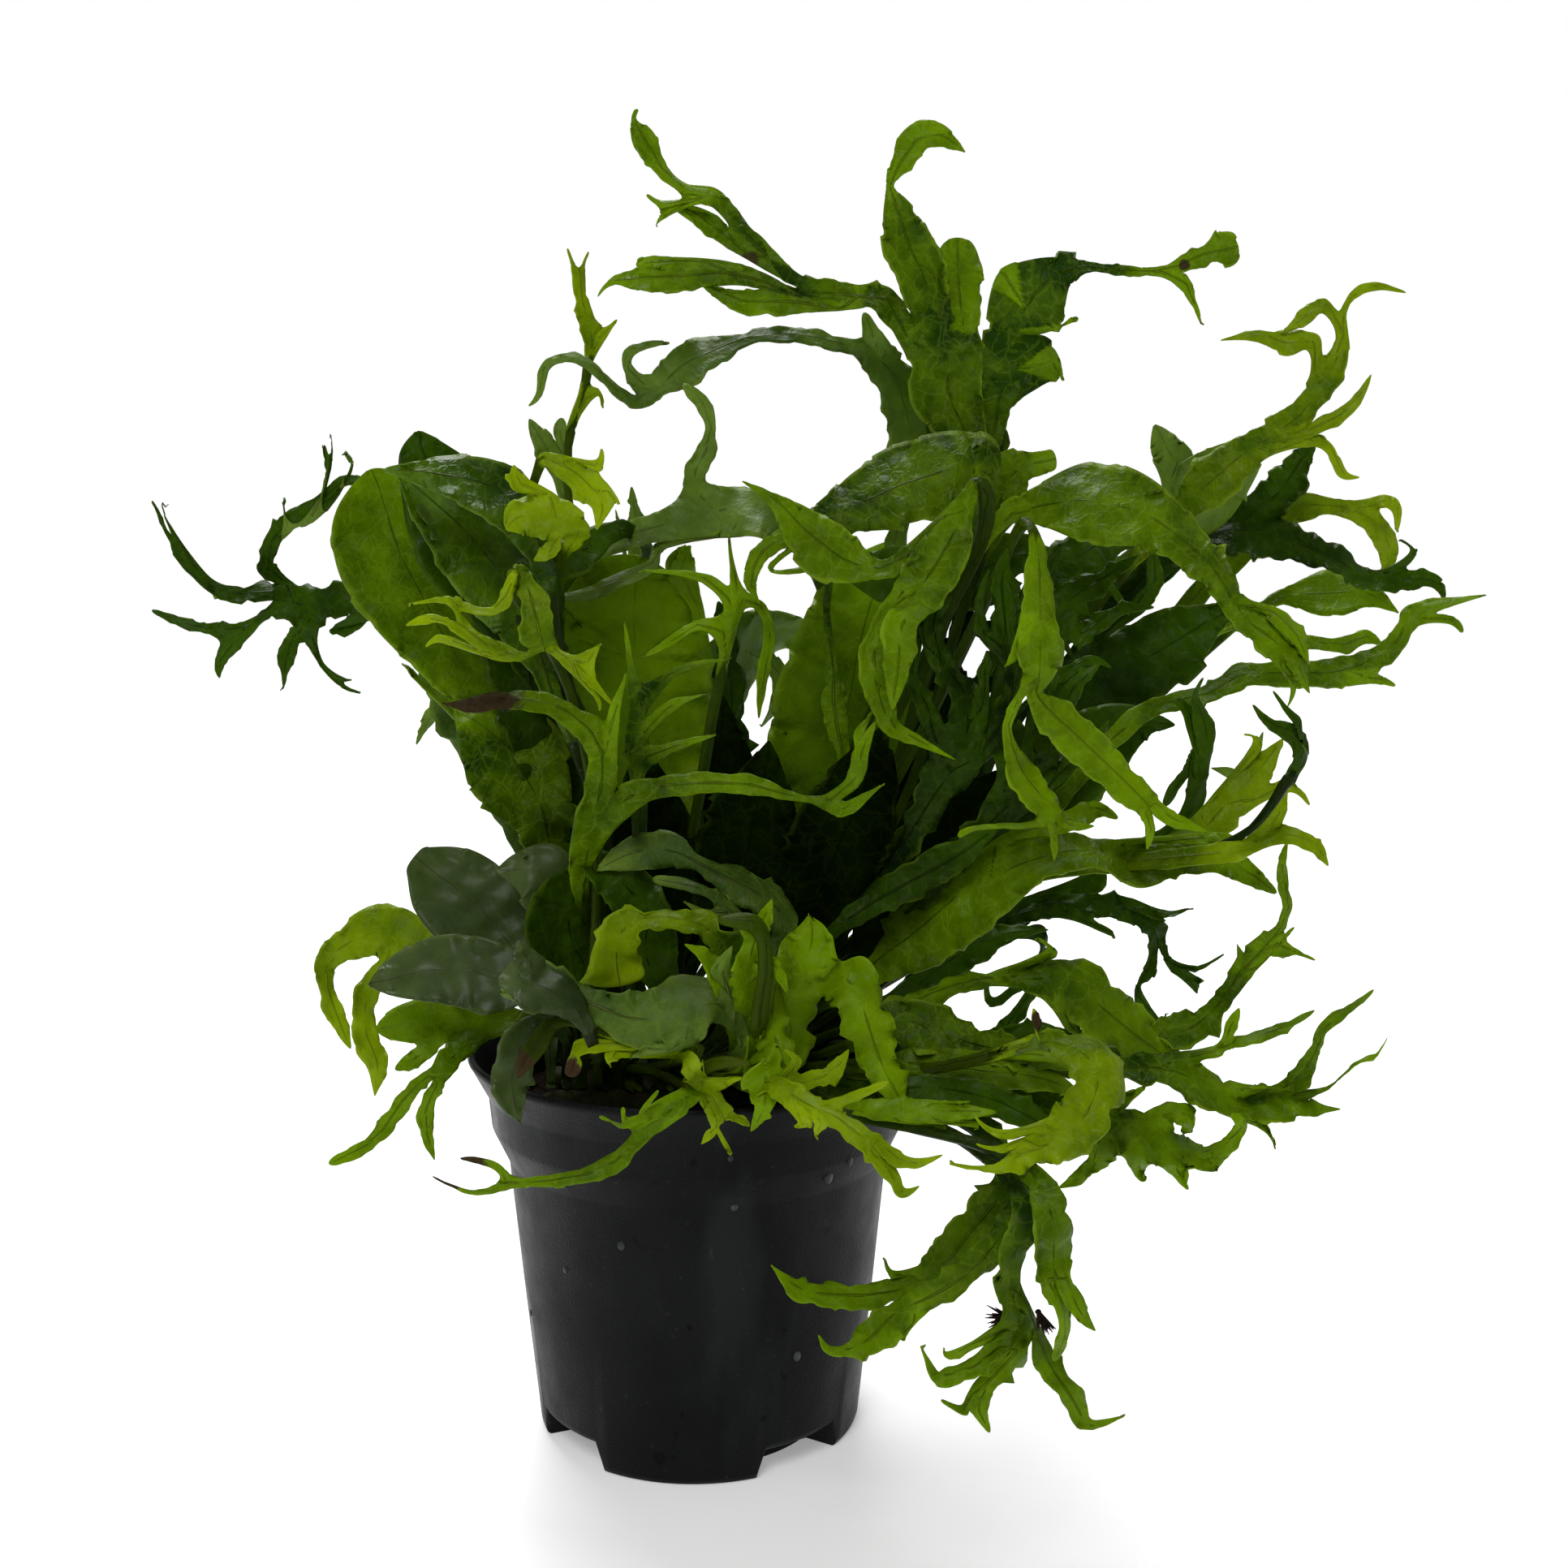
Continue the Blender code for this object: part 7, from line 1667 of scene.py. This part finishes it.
frond("left_backing", "middle", 4.2, [(-22, 100, 1.6, -10), (-25, 114, 4.6), (-27, 130, 7), (-31, 144, 8),
    (-34, 156, 7), (-36, 166, 3.4), (-37, 172, 0.5)],
    tilt=(0.4, 0.4), face="deep", tone=0.25, tips=8, teeth=1.6, ruffle=1.6)
frond("pale_fold_left", "middle", 3.5, [(-20, 116, 0.9, -6), (-26, 146, 1, -4), (-37, 163, 1.2, 2),
    (-43, 169.5, 1.9, 3), (-47, 175, 2.4), (-50.5, 180, 2.1), (-54, 184.8, 1.3), (-57, 187.4, 0.3)],
    tilt=(0.4, 0.5), face="under", back="deep", tone=0.2, tips=8)
frond("crinkled_left", "middle", 5, [(-16, 112, 1.1, -6), (-25, 148, 1.1, -2), (-28, 164, 1.6, 8),
    (-30, 174, 3.6, 12), (-34.4, 181, 5.6, 12.6), (-40.4, 184.8, 5.2, 13.4), (-47, 186.4, 3.8, 14),
    (-54, 187.4, 1.8, 14.6), (-58.6, 187.6, 0.4, 15)],
    tilt=(0.2, 0.8), face="glossy", back="under", tone=0.3, tips=10, ruffle=1.5)
frond("crinkled_low", "middle", 4.5, [(-17, 112, 1.1, 2), (-24, 136, 1.4, 0), (-28.6, 147, 2),
    (-31.4, 156, 5), (-35, 163.6, 7.6, 1), (-40, 171, 8.4, 2), (-46, 178, 7, 3), (-51.6, 183.4, 4.4, 4),
    (-56, 187, 0.6, 5)],
    tilt=(0.2, 0.8), face="glossy", back="under", tone=0.4, tips=10, ruffle=2.2, twist=0.8)
frond("yellow_tab", "middle", 5.5, [(-18, 112, 0.9, -20), (-30, 146, 0.9, -18), (-30, 162, 0.9, -14),
    (-24.4, 172.6, 1.2, 12), (-22.5, 176, 3, 22), (-26.5, 178.4, 4.2), (-30.4, 179, 4.4), (-33.8, 178.4, 3.4),
    (-35.8, 176.6, 0.6)],
    right(6, [(-33.4, 185, 1.7), (-34.4, 188, 0.5)]),
    left(5, [(-27.6, 172.4, 1.6), (-30.4, 170.8, 0.4)]),
    tilt=(0.2, 0.6), face="young", tone=0.4, teeth=2.2, ruffle=1.6)
frond("yellow_tongue", "middle", 6.5, [(-20, 112, 0.9, -20), (-33, 150, 0.9), (-33, 176, 0.8, -6),
    (-30, 187, 0.9, 18), (-28.6, 189.6, 1.2, 22), (-25.8, 188.6, 2), (-22.4, 186.8, 2.6), (-19.6, 184, 3),
    (-17.6, 180.6, 2.2), (-18.6, 177, 0.4)],
    left(6, [(-18.6, 188.4, 1.2), (-17.6, 191, 0.4)]),
    left(8, [(-14.6, 181.4, 0.3)]),
    tilt=(0.2, 0.6), face="young", tone=0.3)
frond("pale_tab", "back", 4.5, [(-12, 120, 0.9, -54), (-20, 160, 0.9, -62), (-25, 184, 1.3, -64),
    (-26.8, 189.6, 2.4), (-29, 193, 2), (-31, 196.6, 0.5)],
    right(3, [(-25.4, 194, 1.3), (-25.2, 197, 0.6)]),
    tilt=(0.2, 0.6), face="under", tone=0.7, ruffle=1.4)
frond("pale_peak", "back", 5.5, [(-6, 120, 0.9, -44), (-9, 152, 0.9, -50), (-10.6, 170, 2.4, -52),
    (-11, 177, 1.8), (-11.6, 181, 0.9), (-12, 184, 0.3)],
    left(2, [(-14.6, 177.6, 0.3, -52)]),
    tilt=(0.2, 0.6), face="under", tone=0.6, teeth=1.6)
tell()

# %% [markdown]
# One frond reaches out far to the left and divides again and again, until its tips are mere threads.

# %% Far left frond
frond("far_left", "back", 1, [(-27, 112, 0.9, -56), (-38, 138, 0.9, -62), (-48, 154, 1, -66),
    (-58, 161, 2, -67), (-66, 163, 3), (-72, 162, 3.6, -68), (-77, 162.2, 4, -69), (-81, 163, 3.4, -70)],
    right(7, [(-82.2, 169, 1.9, -70), (-80.6, 174.4, 1.5), (-76.5, 178.9, 1.6), (-71.6, 181, 1.6),
        (-67, 185.6, 0.8), (-63, 186, 0.3)], right(2, [(-78.4, 181.6, 0.2)]), right(3, [(-69.6, 187.6, 0.4),
        (-70.4, 192, 0.2)], left(0, [(-69, 190, 0.2, -70), (-69, 194, 0.1)])), right(4, [(-65, 188.6, 0.3),
        (-66.2, 191, 0.1)])),
    left(6, [(-77.4, 155.6, 1.8), (-79, 151, 1.2), (-79.6, 146.6, 0.2)], left(0, [(-72, 150.6, 0.35, -68),
        (-68, 146.4, 0.4), (-65, 145.2, 0.15)], left(1, [(-66.6, 147.6, 0.1)]))),
    left(4, [(-69, 157.6, 1.1), (-66.4, 157.4, 0.7), (-62, 161, 0.4)]),
    fork([(-85.5, 158, 1.3), (-91.5, 157, 1.7), (-97, 158.2, 0.9), (-103.4, 160.6, 0.5)],
        left(1, [(-91.6, 151.4, 1.3), (-92, 148.4, 0.3)])),
    fork([(-88, 164, 1.9), (-94.2, 167, 1.2), (-99.3, 172, 0.4), (-102.3, 179.4, 0.3)],
        right(2, [(-100.7, 178, 0.2), (-100.5, 181, 0.1)])),
    tilt=(0.2, 0.7), face="deep", tone=0.5, teeth=2.4)
tell()

# %% [markdown]
# Two broad blades fill the middle, one pale with the light behind it and one dark. The pale one's young
# tone and long pale tips add painted light to that glow. They stand far back, so their stalks are hidden.

# %% Inner blades
# The young tone and long pale tips of centre_pale paint a backlit glow onto its top.
frond("centre_pale", "back", 4, [(-10, 108, 2.4, -24), (-10, 119, 8, -27), (-10.6, 130, 12.4, -29),
    (-11.4, 141, 14.4, -30), (-12, 152, 15), (-12, 161, 13.4, -31), (-11.4, 167.6, 9, -32), (-10.4, 171, 2)],
    left(5, [(-21, 171, 4, -31), (-23.4, 176.6, 1)]),
    right(5, [(-3, 168.6, 3, -31), (-1.4, 173, 0.6)]),
    tilt=(0.5, 0.3), face="mid", tone=0.65, tips=60, teeth=1, ruffle=1.8, twist=0.7)
frond("centre_dark", "back", 8, [(20, 104, 2, -36), (23, 118, 8, -44), (26.4, 130, 12.6, -46),
    (29, 142, 14.2, -47), (31, 153, 12, -48), (33.4, 162, 10), (36, 169, 6.4), (38, 174, 1)],
    tilt=(0.4, 0.3), tone=0.5, tips=20, teeth=1.5, ruffle=1.6)
frond("centre_gap_leaf", "back", 6.5, [(6, 106, 2, -34), (8, 118, 5, -40), (8, 127, 4.4, -42), (7, 136, 3),
    (6.6, 146, 2.6), (5.8, 156, 2), (4.6, 162, 0.6)],
    right(2, [(14, 131, 2, -42), (17, 137, 0.4)]),
    tilt=(0.4, 0.3), face="deep", tone=0.4, tips=10, teeth=2)
tell()

# %% [markdown]
# The inside of the plant is nearly black in the photograph, because leaf after leaf takes the light.
# Here a few leaves are painted nearly black instead, as painted shade, at two depths, with one green streak
# between them.

# %% Shade leaves
frond("shade_left", "middle", 5.2, [(-6, 90, 2, -2), (-7, 102, 7, -4), (-8, 112, 9, -5), (-9, 121, 7.6, -6),
    (-10, 129, 4), (-10, 134, 0.8)],
    face="shade", tone=0.5, tips=6)
frond("shade_front", "middle", 7.5, [(4, 90, 2, 12), (7, 101, 7.4, 14), (9, 111, 9.6, 15), (11, 121, 8.6),
    (13, 129, 4.6), (14, 135, 0.8)],
    face="shade", tone=0.35, tips=6)
frond("shade_middle", "middle", 8.5, [(16, 88, 2, 10), (21, 99, 8, 12), (25, 109, 10, 13), (29, 119, 9.4),
    (33, 129, 6.4), (36, 138, 0.8)],
    face="shade", tone=0.3, tips=6)
frond("shade_right", "middle", 10.2, [(28, 88, 2, 8), (36, 98, 7.4, 9), (43, 107, 9.2, 10), (49, 116, 8.4),
    (55, 124, 5), (60, 130, 0.8)],
    face="shade", tone=0.6, tips=8)
frond("shade_streak", "middle", 9.2, [(22, 94, 1, 15), (30, 101, 2, 18), (38, 106, 3.2, 19), (46, 110.6, 3.6),
    (53, 115, 2.6), (58, 118.4, 0.6)],
    face="deep", tone=0.4, tips=10)
frond("shade_back_left", "back", 5.2, [(-1, 96, 2, -34), (0, 108, 8, -38), (2, 119, 10, -40), (4, 130, 8),
    (5, 139, 3), (5, 144, 0.8)],
    face="shade", tone=0.5, tips=6)
frond("shade_back_right", "back", 11.5, [(34, 98, 2, -32), (40, 110, 8, -36), (44, 121, 10, -38),
    (48, 132, 8.4), (50, 142, 5), (50.6, 150, 0.8)],
    face="shade", tone=0.7, tips=6)
tell()

# %% [markdown]
# Dark, much divided leaves cross the gaps. They let small spots of the white background through.

# %% Ragged dark leaves
frond("ragged_dark", "middle", 8.3, [(34, 106, 1, 14), (43, 120, 3, 19), (49, 130, 4.6, 21),
    (52.4, 138.6, 4.2, 22), (51.4, 146, 2.8), (47, 151.6, 2.2), (45.6, 158, 2), (47.6, 164.6, 1.4),
    (49, 170, 0.4)],
    right(3, [(58.4, 138.4, 1.8, 22), (61, 145, 1.5), (60.2, 151.6, 1.8), (59.4, 159, 2), (58.6, 166, 1.8),
        (59.6, 172, 0.5)], left(3, [(55.4, 156.6, 1.2), (54.6, 163, 0.8), (56, 168, 0.3)]),
        right(2, [(63.8, 156, 0.9), (64.6, 162, 0.3)])),
    left(3, [(44.2, 142.6, 2, 22), (41.6, 149.4, 1.2), (42.6, 156, 1), (41, 162, 0.3)]),
    right(4, [(55.6, 148.6, 1.1), (56, 152.6, 0.4)]),
    left(6, [(42.4, 163.6, 0.9), (41.6, 168, 0.3)]),
    tilt=(0.3, 0.5), face="deep", tone=0.2, tips=22, teeth=2, ruffle=1.4)
# ragged_gap also takes the nearly black painted shade finish.
frond("ragged_gap", "back", 12.9, [(34, 112, 0.9, -20), (42, 132, 1.4, -24), (46.6, 143, 2.8, -26),
    (49.4, 150, 2.6, -27), (50.6, 156, 1.8), (51.6, 162.6, 1.6), (55, 169, 0.4)],
    right(3, [(55, 146.6, 2, -27), (60, 147.4, 0.3)]),
    left(4, [(46, 155.6, 1.5), (43.6, 159, 0.3)]),
    right(5, [(57, 157.4, 1.6), (61.6, 160.8, 0.4)]),
    tilt=(0.3, 0.4), face="shade", tone=0.6, teeth=2)
frond("ragged_right", "middle", 10.6, [(40, 100, 1, 10), (52, 114, 2.4, 16), (60, 123, 4, 18),
    (66, 131, 4, 19), (70, 139, 2.4), (73, 146, 1.8), (77.4, 150.4, 0.4)],
    left(3, [(60, 132, 2, 19), (57, 139, 1.4), (58.6, 144, 0.4)]),
    left(4, [(67, 143.6, 1.6), (69.4, 150.4, 1.2), (68.4, 156, 0.4)]),
    right(3, [(70.6, 129.6, 1.6, 19), (75.6, 133.6, 1.4), (79.4, 139, 0.4)]),
    tilt=(0.3, 0.5), face="deep", tone=0.35, tips=22, teeth=2, ruffle=1.4)
frond("ragged_low", "back", 12.2, [(44, 102, 1.2, -6), (54, 112, 3.2), (61, 120, 4.6), (64, 128, 4.8),
    (63, 135, 3.4), (58, 140, 1.4), (54, 143, 0.3)],
    right(3, [(69.6, 133, 1.6), (72, 138, 0.5)]),
    tilt=(0.3, 0.5), face="deep", tone=0.5, tips=12, teeth=1.6)
frond("centre_forks", "back", 5, [(-2, 112, 0.9, -10), (3, 140, 1, 0), (5.6, 153, 1.1, 2), (7.2, 160.6, 1.8),
    (7.6, 166, 1.1), (6.6, 173.8, 0.2)],
    left(3, [(0.5, 158.2, 1, 3), (-4.5, 155.2, 0.9), (-9.7, 152.3, 0.2)]),
    right(4, [(12.4, 161.8, 1, 1), (14.1, 156.5, 1), (13, 149, 1.1), (12.2, 141.4, 0.3)]),
    left(4, [(1.5, 167.2, 0.9), (-9.3, 168.5, 0.2)]),
    tilt=(0.5, 0.3), tone=0.6)
tell()

# %% [markdown]
# The photograph doesn't show the back, so these fronds are made up. They grow like the ones in front,
# and they are drawn from behind with a turn of 180, so that the plant is full from every side.

# %% Rear fronds
frond("rear_left", "back", 2, [(23, 96, 1.2, 34), (31, 118, 3.2, 46), (37, 128, 6.4, 54), (46, 133, 7.6, 62),
    (56, 131, 6.2, 70), (64, 123, 5, 76), (69, 114, 3.2, 80), (72, 106, 0.6, 82)],
    right(3, [(45, 119, 3.2, 66), (47, 110, 2.6, 70), (45, 103, 1.4, 72), (41, 99, 0.3)]),
    left(5, [(76, 126, 2.4, 76), (82, 122, 1.6, 78), (86, 115, 0.4, 79)]),
    tilt=(0.3, 0.7), turn=180, tone=0.45)
frond("rear_middle", "back", 6, [(0, 100, 1.2, 36), (-2, 122, 4.2, 46), (-6, 136, 8.4, 54), (-13, 146, 9, 60),
    (-22, 150, 6.8, 66), (-31, 148, 4.6, 72), (-38, 141, 3, 76), (-42, 132, 0.6, 78)],
    right(2, [(4, 147, 4, 60), (12, 152, 3.4, 64), (20, 150, 2.4, 68), (25, 143, 0.5, 70)]),
    left(4, [(-24, 138, 2.6, 70), (-24, 129, 2, 72), (-20, 122, 0.4, 73)]),
    tilt=(0.3, 0.7), turn=180, tone=0.4)
frond("rear_right", "back", 10, [(-30, 92, 1.2, 40), (-40, 106, 3.4, 52), (-49, 114, 6.4, 60),
    (-59, 118, 6.6, 66), (-69, 116, 5, 72), (-77, 109, 3.4, 76), (-82, 100, 2, 78), (-84, 92, 0.4, 79)],
    left(3, [(-56, 105, 3, 72), (-55, 96, 2.4, 75), (-50, 90, 0.4, 76)]),
    tilt=(0.3, 0.7), turn=180, tone=0.5)
frond("rear_low_left", "back", 14, [(-26, 84, 0.9, 14), (-36, 96, 2.4, 24), (-45, 103, 5, 30),
    (-54, 104, 5.4, 34), (-61, 99, 4, 38), (-65, 91, 2, 41), (-66, 84, 0.4, 43)],
    left(4, [(-60, 90, 1.8, 40), (-60.5, 83, 0.5, 42)]),
    right(3, [(-56, 112, 1.8, 32), (-63, 114, 0.4, 34)]),
    tilt=(0.3, 0.7), turn=180, face="mid", tone=0.4)
frond("rear_low_middle", "back", 7.6, [(4, 88, 0.9, 24), (8, 104, 2.6, 34), (11, 118, 6, 38),
    (12, 130, 7.4, 40), (11, 141, 6), (8, 150, 3), (5, 156, 0.6)],
    tilt=(0.3, 0.7), turn=180, face="deep", tone=0.6)
frond("rear_low_right", "back", 4.4, [(20, 84, 0.9, 22), (26, 94, 3, 34), (30, 99, 5, 42), (33, 98, 5, 50),
    (35, 91, 3.4, 56), (36, 82, 1.8, 60), (36, 75, 0.4, 62)],
    right(4, [(42, 93, 2, 56), (46, 86, 1.2, 59), (48, 79, 0.3, 60)]),
    tilt=(0.3, 0.7), turn=180, face="young", tone=0.2)
frond("rear_wide_right", "back", 1.6, [(34, 96, 0.9, 20), (44, 116, 3, 26), (51, 130, 6.4, 30),
    (56, 142, 7.4, 32), (59, 153, 5.6, 33), (60, 162, 2.6), (60, 168, 0.5)],
    left(4, [(51, 158, 2, 33), (49, 166, 0.5)]),
    tilt=(0.3, 0.7), turn=180, face="mid", tone=0.2)

tell()

# %% [markdown]
# A trailing finger has begun to make a young plant, so a tuft of dark root hairs pokes out on each
# side of it. One hair is a cone, copied in a bunch that leans away from the finger.

# %% Root tufts on a trailing frond
TUFTS = [((62.4, 18.8, 75.4), (-1.0, -0.1, 0.05)), ((68.4, 19.8, 79.4), (0.5, -0.1, -1.0))]
HAIRS_IN_TUFT = 22
rng = np.random.default_rng(7)
hair = start(bpy.ops.mesh.primitive_cone_add, vertices=5, radius1=0.42 * MM, radius2=0.07 * MM,
             depth=1.0 * MM)
bpy.ops.object.mode_set(mode="OBJECT")
hair.data.materials.append(root_skin)
shape = all_places(hair.data) + [0.0, 0.0, 0.4 * MM]
hairs = []
for place, lean in TUFTS:
    foot = Vector(seen(*place)) * MM
    for k in range(HAIRS_IN_TUFT):
        away = Vector(lean) + Vector(rng.uniform(-0.55, 0.55, 3))
        turned = away.to_track_quat("Z", "Y").to_matrix()
        long = shape * [1.0, 1.0, rng.uniform(2.2, 4.4)]
        one = copy_of(hair)
        put_places(one.data, np.array([turned @ Vector(spot) + foot for spot in long]))
        hairs.append(one)
bpy.data.objects.remove(hair)
tufts = join(hairs)
bpy.ops.object.mode_set(mode="EDIT")
finish(tufts, "trailing_root_tufts", [])
print("two tufts with", triangles(tufts), "triangles")

# %% [markdown]
# Last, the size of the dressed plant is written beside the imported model's, because nothing may reach
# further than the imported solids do, apart from a little ruffle.

# %% Sizes and finish
visual_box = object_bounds()
for corner, (packed, dressed) in zip(("lowest", "highest"), zip(cad_box, visual_box)):
    print(corner, "corner in mm:", [round(v / MM, 1) for v in packed], "packed,",
          [round(v / MM, 1) for v in dressed], "dressed")
